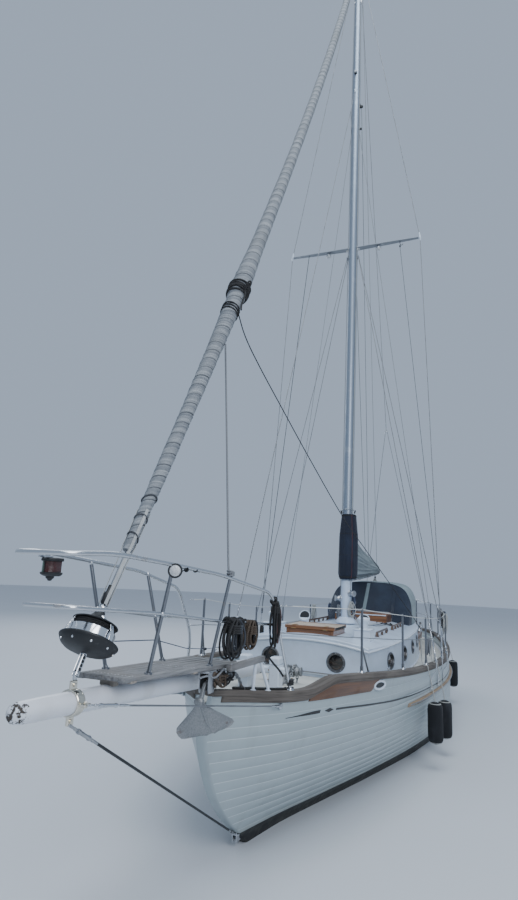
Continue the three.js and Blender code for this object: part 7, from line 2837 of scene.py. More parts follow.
def build_boom():
    shape = Shape()
    ks = [0.070, 0.074, 0.090, 0.110, 1.0, 2.0, 3.0, 3.9, 4.060, 4.072, 4.0795]
    rs = [0.040, 0.046, 0.0575, 0.0615, 0.0615, 0.0615, 0.0615, 0.0615, 0.0615, 0.058, 0.045]
    shape.bar([boom_at(k) for k in ks], rs, 36)
    shape.bar([boom_at(k) for k in (0.012, 0.05, 0.092)], 0.0165, 14, finish=1)
    eye = [(0, 0.0105), (0, 0.022), (0.002, 0.0238), (0.038, 0.0238), (0.040, 0.022), (0.040, 0.0105)]
    shape.turned(GOOSE - V3(0, 0, 0.020), (0, 0, 1), [*eye, (0, 0.0105)], 24, finish=1)
    shape.turned(boom_at(4.078), BOOM_DIR, [(-0.004, 0.052), (0.001, 0.050), (0.0018, 0.02)], 28, finish=1)
    for k in (0.20, 1.30, 2.55, 3.72):
        ring = [(-0.016, 0.0612), (-0.014, 0.0645), (0.014, 0.0645), (0.016, 0.0612)]
        shape.turned(boom_at(k), BOOM_DIR, ring, 36, finish=1)
    for k in (1.30, 2.55, 3.72):
        shape.bar(
            bent(
                [
                    boom_at(k - 0.03, -0.060), boom_at(k - 0.02, -0.095), boom_at(k + 0.02, -0.095),
                    boom_at(k + 0.03, -0.060)
                ],
                0.02, 5
            ),
            0.005, 8, finish=1
        )
    piece("boom_spar", shape, [TRIM_WHITE, DULL_STEEL], body="boom_body", instead="boom")
    ropes = Shape()
    for k, finish in ((3.975, 0), (3.992, 0), (4.008, 1), (4.026, 0), (4.042, 0)):
        up = np.cross(BOOM_DIR, BOOM_ACROSS)
        ring = hoop(boom_at(k), BOOM_ACROSS * 0.067, up * 0.067 + BOOM_DIR * 0.006, 30)
        ropes.bar(ring, 0.0062, 8, loop=True, finish=finish)
    for k in np.arange(0.35, 3.9, 0.42):
        w = cover_half(k) * 0.80
        drop = [
            boom_at(k, 0.030, w), boom_at(k, -0.045, w * 0.75), boom_at(k + 0.01, -0.074, 0.0),
            boom_at(k, -0.045, -w * 0.75), boom_at(k, 0.030, -w)
        ]
        ropes.bar(through(drop, 0.02), 0.0042, 8, finish=2, round_ends=True)
    hook = boom_at(3.72, -0.092)
    ropes.block(hook + V3(-0.020, -0.016, -0.085), hook + V3(0.020, 0.016, -0.010), 0.010, finish=3)
    hank(ropes, hook + V3(0.01, 0, -0.050), 0.17, 0.11, 5, 0.0052, 1, (1, 0, 0), 0.4)
    piece(
        "boom_lashings", ropes, [BROWN_ROPE, WHITE_ROPE, GREY_ROPE, BLACK], body="boom_body",
    )


COVER_KS = [0.060, 0.130, 0.500, 1.200, 2.100, 3.000, 3.700, 3.960]
COVER_HIGH = [0.690, 0.700, 0.610, 0.480, 0.370, 0.270, 0.190, 0.150]
COVER_HALF = [0.060, 0.105, 0.135, 0.150, 0.145, 0.120, 0.095, 0.080]
COVER_RING = [(0.56, 0.0), (0.80, 0.10), (1.0, 0.30), (0.86, 0.62), (0.42, 0.90), (0.10, 0.99)]


# Half breadth of the sail cover along the boom
def cover_half(k):
    return float(np.interp(k, COVER_KS, COVER_HALF))


def build_cover():
    shape = Shape()
    half = through([(a, b, 0) for a, b in [*COVER_RING, (-0.02, 1.0)]], 0.035)[:-1]
    ring = np.concatenate([half, [[0, 1, 0]], half[::-1] * V3(-1, 1, 1)])
    share = np.linspace(0, 1, len(ring))
    ks = np.concatenate([[0.058, 0.062, 0.075], np.linspace(0.095, 3.93, 76), [3.945, 3.956]])
    rows = []
    for k in ks:
        high = float(smooth(COVER_KS, COVER_HIGH, k))
        wide = cover_half(k) * (0.35 if k < 0.06 else 0.8 if k < 0.07 else 1.0) * (0.92 if k > 3.94 else 1)
        base = -0.032
        calm = min(1, (k - 0.05) / 0.2) * (0.35 + 0.65 * max(0.0, 1 - k / 4.1))
        row = []
        for s, (a, b, _) in zip(share, ring):
            b_up = base + b * (high - base)
            reach = a * wide
            if abs(b_up) < 0.075 and b < 0.5:
                reach = math.copysign(max(abs(reach), 0.068), a)
            fold = 0.010 * math.sin(2 * math.pi * 9 * s + 0.8 * math.sin(1.3 * k))
            fold += 0.005 * math.sin(2 * math.pi * 23 * s + 1.7 * k)
            side = math.copysign(1, a) if a else 0
            row.append(
                boom_at(
                    k, b_up - 0.006 - 0.5 * abs(fold) * calm,
                    reach + side * fold * calm * min(1, abs(a) * 2.5)
                )
            )
        rows.append(row)
    cloth(shape, rows, 0.0026)
    cover = piece(
        "mainsail_cover", shape, COVER_CLOTH_PAINTED_SHADE, body="boom_body", instead="sail_cover",
        sharp=70
    )


build_cover()
build_boom()


# Dodger of blue canvas over its bows; behind the second bow the same cloth is painted paler, a painted sheen
# of sky on its top
FRONT_Y = [0, 0.365, 0.600, 0.712, 0.730, 0.730]
MID_BOW = np.array(
    [
        (-1.620, 0, 2.215), (-1.618, 0.370, 2.196), (-1.596, 0.600, 2.105), (-1.560, 0.715, 1.905),
        (-1.515, 0.745, 1.690), (-1.480, 0.745, 1.506)
    ]
)
AFT_BOW = np.array(
    [
        (-2.330, 0, 2.235), (-2.328, 0.370, 2.222), (-2.305, 0.600, 2.150), (-2.260, 0.720, 1.960),
        (-2.170, 0.745, 1.750), (-2.060, 0.745, 1.524)
    ]
)


# A point on one of the dodger's hoops
def on_bow(bow, p):
    spot = [float(smooth(range(6), bow[:, k], abs(p))) for k in range(3)]
    return np.array(spot) * V3(1, 1 if p >= 0 else -1, 1)


# A point on the lower edge of the dodger's front
def front_hem(p):
    y = float(smooth(range(6), FRONT_Y, abs(p)))
    x = -1.130 - 0.060 * y / 0.740
    z = 1.7235 if y < 0.4500 else float(roof_z(x, y)) + 0.010
    return V3(x, math.copysign(y, p), z)


def build_dodger():
    step = float(np.interp(0.45, FRONT_Y[:3], range(3)))
    half = np.unique(np.concatenate([np.linspace(0, 5, 46), [step - 0.012, step + 0.012]]))
    ps = np.concatenate([-half[:0:-1], half])
    front = Shape()
    rows = []
    for t in np.linspace(0, 1, 22):
        row = []
        for p in ps:
            a, b = front_hem(p), on_bow(MID_BOW, p)
            slack = 0.010 * math.sin(math.pi * t) * math.sin(p * 3.1 + 0.7) - 0.012 * math.sin(math.pi * t)
            row.append(lerp(a, b, t) + V3(0.45, 0, 0.6) * slack)
        rows.append(row)
    cloth(front, rows, -0.0026)
    panel = piece("dodger_front", front, NAVY, instead="dodger", sharp=60)
    back = Shape()
    rows = []
    for t in np.linspace(0, 1, 20):
        row = []
        for p in ps:
            a, b = on_bow(MID_BOW, p), on_bow(AFT_BOW, p)
            slack = -0.010 * math.sin(math.pi * t) * (1 if abs(p) < 3 else 0.4)
            row.append(lerp(a, b, t) + V3(0, 0, slack) + V3(0, 0.001, 0.003) * (1 if abs(p) < 5 else 0))
        rows.append(row)
    cloth(back, rows, -0.0026)
    # The top panel takes the cloth with the painted sky sheen
    roof = piece("dodger_top", back, SKY_SHEEN_CLOTH, sharp=60)
    trim = Shape()
    edge = np.array([on_bow(AFT_BOW, p) + V3(-0.002, 0, 0.001) for p in ps])
    trim.bar(edge, 0.0060, 8, round_ends=True)
    seam = np.array([on_bow(MID_BOW, p) + V3(0.001, 0, 0.005) for p in ps])
    trim.bar(seam, 0.0045, 6, round_ends=True, finish=1)
    hem = np.array([front_hem(p) + V3(0.002, 0, 0.001) for p in ps])
    trim.bar(hem, 0.0045, 6, round_ends=True, finish=1)
    for y, wide, finish in ((-0.040, 0.060, 0), (0.115, 0.020, 1), (-0.36, 0.012, 1), (0.40, 0.012, 1)):
        p = math.copysign(float(np.interp(abs(y), FRONT_Y[:3], range(3))), y)
        line = []
        for t in np.linspace(0.03, 0.97, 16):
            sag = 0.006 * math.sin(math.pi * t)
            spot = lerp(front_hem(p), on_bow(MID_BOW, p), t)
            line.append(spot + V3(0.005, 0, 0.004) - V3(0.45, 0, 0.6) * sag)
        trim.board(line, wide, 0.002, 0.0008, finish=finish + 2 if finish == 0 else 1, up=(0.8, 0, 0.6))
    for sign in (1, -1):
        for k in range(5):
            p = sign * (4.2 + k * 0.17)
            spot = lerp(on_bow(MID_BOW, p), on_bow(AFT_BOW, p), 0.08 + 0.2 * k) + V3(0, sign * 0.002, 0.012)
            trim.turned(spot, (0, sign, 0.05), [(0, 0.008), (0.003, 0.0075), (0.0045, 0.003)], 10, finish=3)
    piece("dodger_bindings", trim, [NAVY_EDGE, NAVY, SKY_SHEEN_CLOTH, STEEL])


build_dodger()


def build_dodger_frame():
    shape = Shape()
    inner = [on_bow(AFT_BOW, p) * V3(1, 0.955, 1) + V3(0.045, 0, -0.034) for p in np.linspace(-4.4, 4.4, 60)]
    foot = lambda sign: [V3(-2.035, sign * 0.765, 1.339), V3(-2.030, sign * 0.712, 1.450)]
    shape.bar(bent([*foot(-1), *inner, *foot(1)[::-1]], 0.06, 4), 0.0108, 14, round_ends=True)
    bow = [on_bow(MID_BOW, p) * V3(1, 0.965, 1) + V3(-0.012, 0, -0.022) for p in np.linspace(-4.7, 4.7, 60)]
    shape.bar(bow, 0.0105, 14, round_ends=True)
    for sign in (1, -1):
        shape.turned(
            (-2.035, sign * 0.765, 1.3325), (0, 0, 1),
            [(0, 0.026), (0.005, 0.025), (0.009, 0.014), (0.030, 0.0135), (0.034, 0.011)], 18
        )
        f = on_bow(MID_BOW, 4.7 * sign) * V3(1, 0.965, 1) + V3(-0.012, 0, -0.022)
        top = float(roof_z(f[0], f[1])) + 0.0015
        shape.bar([f, V3(f[0], f[1], top + 0.004)], 0.0105, 14)
        shape.turned(
            (f[0], f[1], top), (0, 0, 1), [(0, 0.024), (0.004, 0.023), (0.008, 0.0125), (0.026, 0.0125)], 18
        )
        brace = [
            on_bow(AFT_BOW, 3.6 * sign) * V3(1, 0.95, 1) + V3(0.045, 0, -0.034),
            on_bow(MID_BOW, 4.3 * sign) * V3(1, 0.955, 1) + V3(-0.02, 0, -0.02)
        ]
        shape.bar(brace, 0.008, 10, round_ends=True)
    piece("dodger_bows", shape, STEEL, instead="dodger_frame")


build_dodger_frame()


# Bow lamp: red to port and green to starboard between a black cap and base
def build_bow_lamp():
    shape = Shape()
    c = V3(7.092, 0.020, 0)

    def slice_of(z, half, deep):
        t = np.linspace(-math.pi / 2, math.pi / 2, 15)
        curve = [V3(c[0] + deep * math.cos(a), c[1] + half * math.sin(a), z) for a in t]
        return [
            *curve, V3(c[0] - 0.040, c[1] + half * 0.92, z), V3(c[0] - 0.048, c[1], z),
            V3(c[0] - 0.040, c[1] - half * 0.92, z)
        ]

    cap = [
        (2.2700, 0.044, 0.050), (2.2715, 0.0475, 0.054), (2.280, 0.048, 0.0545), (2.286, 0.044, 0.050),
        (2.2885, 0.034, 0.038)
    ]
    shape.grid([slice_of(*k) for k in cap], wrap=True)
    base = [
        (2.196, 0.026, 0.030), (2.198, 0.034, 0.038), (2.206, 0.046, 0.052), (2.214, 0.048, 0.0545),
        (2.2165, 0.044, 0.050)
    ]
    shape.grid([slice_of(*k) for k in base], wrap=True)
    for sign, finish in ((1, 1), (-1, 2)):
        rows = []
        for z in (2.2150, 2.2160, 2.2705, 2.2715):
            t = np.linspace(0.03, math.pi / 2, 10) * sign
            row = [V3(c[0] + 0.046 * math.cos(a), c[1] + 0.040 * math.sin(a), z) for a in t]
            row += [V3(c[0] - 0.036, c[1] + sign * 0.036, z), V3(c[0] - 0.036, c[1] + sign * 0.002, z)]
            rows.append(row)
        shape.grid(rows, wrap=True, finish=finish)
    shape.block((c[0] + 0.038, c[1] - 0.003, 2.213), (c[0] + 0.050, c[1] + 0.003, 2.274), 0.001)
    for y in (-0.018, 0.018):
        shape.block(
            (c[0] + 0.018, c[1] + y - 0.007, 2.2865), (c[0] + 0.072, c[1] + y + 0.007, 2.2985), 0.002,
            finish=3
        )
    shape.turned(
        (c[0], c[1], 2.197), (0, 0, -1),
        [(0, 0.022), (0.010, 0.020), (0.016, 0.012), (0.022, 0.010), (0.024, 0.004)], 16
    )
    piece("bow_lantern", shape, [BLACK, RED_LENS, GREEN_LENS, STEEL], instead="bow_lamp")
    spot = Shape()
    at = V3(6.362, 0.318, 2.252)
    face = unit(V3(0.86, 0.46, 0.02))
    spot.turned(
        at - face * 0.030, face,
        [(0, 0.020), (0.006, 0.036), (0.030, 0.042), (0.046, 0.0445), (0.052, 0.043), (0.052, 0.036)], 30
    )
    spot.turned(
        at - face * 0.030, face,
        [(0.044, 0.0365), (0.050, 0.036), (0.055, 0.028), (0.058, 0.014), (0.059, 0.002)], 30, finish=1
    )
    spot.bar(
        bent([at - face * 0.010, at - face * 0.03 + V3(0, 0, 0.02), V3(6.372, 0.302, 2.287)], 0.01, 4),
        0.008, 10, finish=2
    )
    spot.bar(
        through(
            [
                at - face * 0.028, V3(6.31, 0.318, 2.238), V3(6.24, 0.318, 2.262), V3(6.16, 0.316, 2.262),
                V3(6.05, 0.321, 2.252)
            ],
            0.012
        ),
        0.0035, 8
    )
    for k in (6.22, 6.10):
        spot.bar([V3(k, 0.314, 2.262), V3(k - 0.008, 0.314, 2.263)], 0.0165, 12)
    piece("deck_spotlight", spot, [BLACK, CLEAR_LENS, STEEL])


build_bow_lamp()


# Windlass: a casting on a base plate with a chain wheel to port and a rope drum to starboard
WINDLASS_X = 3.430
WINDLASS_Z = float(deck_top(share_at(WINDLASS_X), 0.0))


def build_windlass():
    shape = Shape()
    z = WINDLASS_Z
    shape.block((3.302, -0.118, z + 0.006), (3.558, 0.118, z + 0.022), 0.005)
    rows = []
    for h, long, wide in (
        (0.020, 0.115, 0.100), (0.030, 0.108, 0.092), (0.075, 0.092, 0.078), (0.125, 0.080, 0.070),
        (0.146, 0.062, 0.055), (0.150, 0.035, 0.030)
    ):
        t = full_turn(36)
        flat = np.sign(np.cos(t)) * np.abs(np.cos(t)) ** 0.6
        flat_y = np.sign(np.sin(t)) * np.abs(np.sin(t)) ** 0.6
        rows.append(np.stack([WINDLASS_X + long * flat, wide * flat_y, np.full(36, z + h)], 1))
    shape.grid(rows, wrap=True)
    axle = V3(WINDLASS_X, 0, z + 0.118)
    for sign in (1, -1):
        if sign > 0:
            ring = [
                (0.066, 0.020), (0.070, 0.058), (0.082, 0.061), (0.090, 0.050), (0.112, 0.040),
                (0.134, 0.050), (0.142, 0.061), (0.152, 0.058)
            ]
            ring += [
                (0.158, 0.030), (0.170, 0.030), (0.174, 0.052), (0.184, 0.050), (0.205, 0.036),
                (0.222, 0.046), (0.2295, 0.044), (0.2298, 0.01)
            ]
        else:
            ring = [
                (0.066, 0.020), (0.070, 0.056), (0.080, 0.0605), (0.090, 0.056), (0.112, 0.042),
                (0.160, 0.038), (0.200, 0.044)
            ]
            ring += [(0.216, 0.056), (0.226, 0.0605), (0.2295, 0.054), (0.2298, 0.01)]
        shape.turned(axle, (0, sign, 0), ring, 32)
    for k in range(5):
        a = 2 * math.pi * k / 5
        spot = axle + V3(math.cos(a) * 0.045, 0.093, math.sin(a) * 0.045)
        shape.block(
            (-0.016, -0.006, -0.010), (0.016, 0.030, 0.010), 0.003, turn=Matrix.Rotation(-a, 3, "Y"),
            middle=spot + V3(0, 0.018, 0)
        )
    shape.turned(
        axle + V3(0, 0.150, 0.030), (0.3, 0, 1),
        [(0, 0.011), (0.020, 0.010), (0.022, 0.014), (0.030, 0.014), (0.0301, 0.006)], 12, finish=1
    )
    for x in (-0.105, 0.105):
        for y in (-0.095, 0.095):
            shape.turned(
                (WINDLASS_X + x, y, z + 0.021), (0, 0, 1), [(0, 0.011), (0.006, 0.0105), (0.008, 0.004)], 6,
                finish=1
            )
    for x, y in ((0.0, 0.0), (-0.045, 0.0)):
        shape.turned(
            (WINDLASS_X + x, y, z + 0.145), (0, 0, 1), [(0, 0.016), (0.004, 0.0155), (0.0048, 0.008)], 16,
            finish=1
        )
    piece("windlass_casting", shape, [GALVANISED, BRONZE], instead="windlass")


build_windlass()


# Plough anchor hung on its roller at the platform's port side
ROLLER = V3(5.640, 0.225, 1.470)
CROWN, ANCHOR_TIP = V3(5.740, 0.225, 1.400), V3(5.660, 0.290, 1.195)
SHANK = [
    CROWN, V3(5.712, 0.225, 1.462), V3(5.672, 0.225, 1.512), V3(5.640, 0.225, 1.521),
    V3(5.500, 0.225, 1.530), V3(5.150, 0.210, 1.522)
]


def build_anchor():
    shape = Shape()
    back = V3(-0.015, -0.011, 0.005)
    for corners in (
        (V3(5.752, 0.112, 1.152), V3(5.775, 0.072, 1.212)),
        (V3(5.535, 0.372, 1.222), V3(5.500, 0.388, 1.262))
    ):
        low, high = corners
        rows = []
        for t in np.linspace(0, 1, 17):
            ridge = lerp(CROWN, ANCHOR_TIP, t)
            rim_path = bent(
                [lerp(CROWN, high, 0.16), high, low, lerp(low, ANCHOR_TIP, 0.80)],
                0.03 if low[1] < 0.3 else 0.012, 6
            )
            along = arc_lengths(rim_path) / arc_lengths(rim_path)[-1]
            rim = np.array([np.interp(t, along, rim_path[:, k]) for k in range(3)])
            row = []
            for s in np.linspace(0, 1, 13):
                dish = 0.020 * math.sin(math.pi * min(1, s * 1.05)) * math.sin(math.pi * (0.12 + 0.80 * t))
                lip = 0.008 * max(0, s - 0.86) / 0.14
                row.append(lerp(ridge, rim, s) - unit(back) * (dish * 0.6 + lip) + back * 0.2)
            rows.append(row)
        side = 1 if low[1] > 0.3 else -1
        cloth(shape, rows, 0.0105 * side)
    ridge = through(
        [CROWN + V3(0, 0, 0.004), lerp(CROWN, ANCHOR_TIP, 0.5), ANCHOR_TIP + V3(0, 0, 0.008)], 0.02
    )
    shape.bar(ridge, [0.013 if k < 8 else 0.010 for k in range(len(ridge))], 10, round_ends=True)
    line = bent(SHANK, 0.045, 7)
    shape.board(line, 0.024, 0.036, 0.004, up=(0.7, 0, 0.7))
    hinge = [
        (-0.031, 0.008), (-0.030, 0.018), (-0.020, 0.026), (0.020, 0.026), (0.030, 0.018), (0.031, 0.008)
    ]
    shape.turned(CROWN, (0, 1, 0), hinge, 22)
    eye = V3(5.165, 0.2105, 1.506)
    shape.turned(
        eye - V3(0, 0.028, 0), (0, 1, 0), [(0, 0.005), (0.001, 0.012), (0.055, 0.012), (0.056, 0.005)], 14
    )
    for side in (1, -1):
        leg = [
            eye + V3(0, side * 0.022, 0), eye + V3(-0.030, side * 0.022, -0.010),
            eye + V3(-0.056, side * 0.010, -0.020), eye + V3(-0.062, 0, -0.022)
        ]
        shape.bar(through(leg, 0.01), 0.0085, 10)
    piece("plough_anchor", shape, GALVANISED, instead="anchor", sharp=40)
    fork = Shape()
    for side in (1, -1):
        y = 0.225 + side * 0.034
        rows = []
        for k in (-0.0038, -0.0030, 0.0030, 0.0038):
            m = 0.002 if abs(k) > 0.0035 else 0
            outline = [
                (5.592 + m, 1.460), (5.600, 1.442 + m), (5.680, 1.442 + m), (5.688 - m, 1.460),
                (5.688 - m, 1.571 - m), (5.592 + m, 1.571 - m)
            ]
            rows.append([V3(x, y + k, z) for x, z in outline])
        fork.grid(rows, wrap=True)
    wheel = [
        (-0.0295, 0.010), (-0.029, 0.0235), (-0.020, 0.0238), (-0.006, 0.016), (0.006, 0.016),
        (0.020, 0.0238), (0.029, 0.0235), (0.0295, 0.010)
    ]
    fork.turned(ROLLER, (0, 1, 0), wheel, 26, finish=1)
    fork.turned(
        ROLLER - V3(0, 0.0385, 0), (0, 1, 0), [(0, 0.004), (0.001, 0.012), (0.076, 0.012), (0.077, 0.004)],
        14
    )
    fork.block((5.591, 0.112, 1.5685), (5.689, 0.2625, 1.5805), 0.003)
    for x in (5.612, 5.668):
        fork.turned((x, 0.135, 1.5800), (0, 0, 1), [(0, 0.008), (0.004, 0.0075), (0.006, 0.003)], 6)
    piece("bow_roller", fork, [DULL_STEEL, SOFT_BLACK], instead="anchor_roller")
    deck = lambda x, y: V3(x, y, deck_under(x, y) + 0.012)
    chain_line = [
        V3(5.100, 0.210, 1.484), V3(5.020, 0.205, 1.440), V3(4.900, 0.190, 1.330), V3(4.780, 0.165, 1.215)
    ]
    chain_line += [
        deck(4.60, 0.135), deck(4.35, 0.100), deck(4.10, 0.072), deck(3.90, 0.085), deck(3.72, 0.118)
    ]
    chain_line += [
        V3(3.60, 0.145, WINDLASS_Z + 0.060), V3(3.525, 0.160, WINDLASS_Z + 0.120),
        V3(3.470, 0.162, WINDLASS_Z + 0.164)
    ]
    chain_line += [
        V3(3.430, 0.162, WINDLASS_Z + 0.172), V3(3.390, 0.162, WINDLASS_Z + 0.160),
        V3(3.362, 0.162, WINDLASS_Z + 0.100), V3(3.356, 0.160, WINDLASS_Z + 0.02)
    ]
    laid_out(
        "anchor_chain", LINKS, [through(chain_line, 0.02)], slot="galvanised",
        Spacing=0.030, Size=(0.0215, 0.0125, 1.0), Wire=0.0048, Material=GALVANISED,
    )


build_anchor()


# The side timber, its posts and the gear lashed about the pulpit
def tangle(shape, centre, reach, loops, radius, finish=0, seed=1.0):
    t = full_turn(30)
    for k in range(loops):
        a, b, c = (
            math.sin(seed * 5.1 + k * 2.3), math.sin(seed * 3.7 + k * 1.3), math.sin(seed * 2.9 + k * 3.1)
        )
        x = reach[0] * (0.62 + 0.30 * a) * np.cos(t + b) + reach[0] * 0.18 * np.sin(2 * t + k)
        y = reach[1] * (0.62 + 0.30 * b) * np.sin(t + c) + reach[1] * 0.15 * np.sin(3 * t + a)
        z = reach[2] * (0.65 + 0.30 * c) * np.sin(t + a * 3) + reach[2] * 0.2 * np.cos(2 * t + k * 2)
        shape.bar(V3(*centre) + np.stack([x, y, z], 1), radius, 8, loop=True, finish=finish)


def build_fore_gear():
    timber = Shape()
    line = [V3(5.420, 0.288, 1.604), V3(5.10, 0.290, 1.602), V3(4.745, 0.292, 1.598)]
    timber.board(through(line, 0.1), 0.046, 0.046, 0.005)
    for x in (4.790, 4.900):
        c = cap_top(x)
        timber.bar(
            [V3(x, c[1], c[2] - 0.001), V3(x, c[1], c[2] + 0.02), V3(x, 0.292, 1.555)], 0.014, 10, finish=1
        )
        timber.turned(
            (x, c[1], c[2] - 0.0003), (0, 0, 1), [(0, 0.026), (0.004, 0.025), (0.008, 0.015)], 16, finish=1
        )
    for x in (5.09, 5.38):
        timber.block((x - 0.018, 0.200, 1.556), (x + 0.018, 0.312, 1.5595), 0.001, finish=2)
        timber.turned(
            (x, 0.292, 1.6015), (0, 0, 1), [(0, 0.009), (0.003, 0.0085), (0.005, 0.003)], 10, finish=2
        )
    piece("anchor_timber", timber, [GREY_SLAT, TRIM_WHITE, DULL_STEEL])
    gear = Shape()
    mid_a, mid_b = pulpit_leg(1, (5.550, 5.610, 0.345, 2.226), 0.5), lerp(
        V3(4.960, 0.430, 2.110), V3(4.680, 0.430, 1.700), 0.62
    )
    for share, drop, wide, turns, finish, seed in (
        (0.16, 0.285, 0.20, 8, 0, 0.3), (0.22, 0.26, 0.17, 6, 3, 1.2), (0.44, 0.215, 0.13, 7, 1, 2.2),
        (0.49, 0.19, 0.11, 5, 0, 3.0)
    ):
        c = lerp(mid_a, mid_b, share)
        hank(gear, c + V3(0, 0.018, 0.020), drop, wide, turns, 0.0075, finish, (0.25, 1, 0), seed)
    for share, seed in ((0.12, 0.4), (0.20, 1.1), (0.30, 1.9)):
        c = lerp(mid_a, mid_b, share) + V3(0, 0.006, 0.006)
        tangle(gear, c, (0.055, 0.034, 0.030), 5, 0.0072, 0, seed)
    corner = V3(4.905, 0.445, 2.045)
    hank(gear, corner, 0.36, 0.09, 6, 0.0062, 0, (0.2, 1, 0), 0.8)
    hank(gear, corner + V3(-0.05, 0.0, -0.05), 0.28, 0.09, 4, 0.0062, 2, (0.2, 1, 0), 1.7)
    tangle(gear, corner + V3(0, -0.01, 0.0), (0.045, 0.03, 0.035), 4, 0.0065, 0, 2.4)
    rope_down = [
        V3(4.800, 0.400, 1.830), V3(4.790, 0.385, 1.700), V3(4.745, 0.330, 1.625), V3(4.700, 0.350, 1.560),
        V3(4.650, 0.410, 1.480), V3(4.615, 0.432, 1.432)
    ]
    gear.bar(through(rope_down, 0.02), 0.0085, 10)
    foot = cap_top(4.600)
    for k in range(3):
        ring = hoop(foot + V3(0, 0, 0.045 + 0.015 * k), V3(0.022, 0, 0), V3(0, 0.022, 0.004), 16)
        gear.bar(ring, 0.0080, 8, loop=True)
    piece("hanging_ropes", gear, [DARK_ROPE, BROWN_ROPE, RED_ROPE, SLATE_ROPE])
    lash = Shape()
    tangle(lash, (5.560, 0.235, 1.520), (0.085, 0.050, 0.050), 6, 0.0085, 0, 0.9)
    tangle(lash, (5.430, 0.225, 1.500), (0.070, 0.045, 0.045), 5, 0.0075, 0, 1.9)
    tangle(lash, (5.300, 0.220, 1.480), (0.060, 0.040, 0.040), 4, 0.0070, 1, 2.9)
    for x in (5.36, 5.375, 5.39, 5.22, 5.235):
        ring = hoop(V3(x, 0.219, 1.510), V3(0, 0.026, 0), V3(0.006, 0, 0.032), 18)
        lash.bar(ring, 0.006, 8, loop=True, finish=1)
    strap = through(
        [
            V3(5.75, 0.222, 1.548), V3(5.70, 0.250, 1.560), V3(5.62, 0.272, 1.540), V3(5.54, 0.275, 1.560),
            V3(5.45, 0.262, 1.580)
        ],
        0.02
    )
    lash.bar(strap, 0.0065, 8, finish=2, round_ends=True)
    piece("anchor_lashing", lash, [BROWN_ROPE, DARK_ROPE, GREY_ROPE])
    pole = Shape()
    line = [cap_top(x) + V3(0, -0.022, 0.0115) for x in np.linspace(4.55, 5.02, 12)]
    pole.bar(line, 0.0105, 10, round_ends=True)
    for x in (4.62, 4.95):
        c = cap_top(x) + V3(0, -0.022, 0.0115)
        ring = hoop(c - V3(0, 0, 0.001), V3(0, 0.0135, 0), V3(0.002, 0, 0.0135), 16)
        pole.bar(ring, 0.0028, 6, loop=True, finish=1)
    piece("boathook_pole", pole, [SOFT_BLACK, GREY_ROPE])


SLATE_ROPE = rope("slate rope", (0.045, 0.052, 0.066), (0.11, 0.115, 0.125), 100, 0.5)
RED_ROPE = rope("faded red rope", (0.10, 0.035, 0.035), (0.16, 0.12, 0.11), 110, 0.5)
build_fore_gear()


# Fenders in fleece covers, hung over the port rail
FENDERS = ((1.400, 0.790), (0.690, 0.700), (-3.000, 0.800))
FENDER_R, FENDER_LONG = 0.095, 0.485


def build_fenders():
    for k, (x, top) in enumerate(FENDERS):
        u = share_at(x)
        y = max(float(hull_point(u, 0.5)[1]), float(rail_point(u, 0)[1])) + 0.038 + FENDER_R
        shape = Shape()
        ring = [
            (0, 0.30), (0.002, 0.40), (0.010, 0.62), (0.028, 0.86), (0.055, 0.97), (0.10, 1.0),
            (0.242, 1.0), (0.385, 1.0)
        ]
        ring += [(0.430, 0.97), (0.457, 0.86), (0.472, 0.62), (0.481, 0.40), (0.4845, 0.30)]
        rows = []
        for h, r in ring:
            a = full_turn(40)
            soft = 1 + 0.012 * np.sin(5 * a + 9 * h + k) + 0.008 * np.sin(11 * a + k)
            rows.append(
                np.stack(
                    [
                        x + np.cos(a) * r * FENDER_R * soft * 0.985,
                        y + np.sin(a) * r * FENDER_R * soft * 0.985, np.full(40, top - FENDER_LONG + h)
                    ],
                    1
                )
            )
        shape.grid(rows, wrap=True)
        for h in (0.020, 0.465):
            ring = hoop(V3(x, y, top - FENDER_LONG + h), V3(0.066, 0, 0), V3(0, 0.066, 0), 30)
            shape.bar(ring, 0.006, 8, loop=True, finish=1)
        rail = cap_top(x)
        out = rail[1] + CAP_W / 2
        line = [
            V3(x, y, top - 0.012), V3(x, y - 0.004, top + 0.04), V3(x, out + 0.024, rail[2] - 0.050),
            V3(x, out + 0.018, rail[2] - 0.010), V3(x, out + 0.006, rail[2] + 0.014),
            V3(x, rail[1] + 0.020, rail[2] + 0.014)
        ]
        shape.bar(through(line, 0.02), 0.0055, 8, finish=1)
        up = V3(x, rail[1] - 0.018, rail[2] + 0.326)
        shape.bar(through([line[5], V3(x, rail[1] - 0.006, rail[2] + 0.06), up], 0.02), 0.0055, 8, finish=1)
        for j in range(4):
            ring = hoop(up + V3(0.010 * (j - 1.5), 0, 0), V3(0, 0.011, 0), V3(0, 0, 0.011), 14)
            shape.bar(ring, 0.0050, 8, loop=True, finish=1)
        shape.bar(
            through(
                [up + V3(0.012, 0.010, -0.008), up + V3(0.022, 0.014, -0.10), up + V3(0.016, 0.012, -0.20)],
                0.02
            ),
            0.0045, 8, finish=1, round_ends=True
        )
        piece(
            f"fender_{k + 1}_sleeve", shape, [FLEECE, WHITE_ROPE], instead=f"fender_{k + 1}",
            sharp=50
        )


build_fenders()


# Rudder on its pintles, painted as the topsides are
BLADE = [(0.020, 0.560, 0.022), (0.200, 0.690, 0.026), (0.700, 0.700, 0.030), (1.200, 0.560, 0.034),
         (1.700, 0.400, 0.036),
         (2.300, 0.310, 0.038), (3.000, 0.260, 0.042), (3.330, 0.230, 0.046)]


# The turn that lays the upright axis along the rudder's
def rudder_turn():
    return np.array(Vector((0, 0, 1)).rotation_difference(Vector(POST_DIR)).to_matrix())


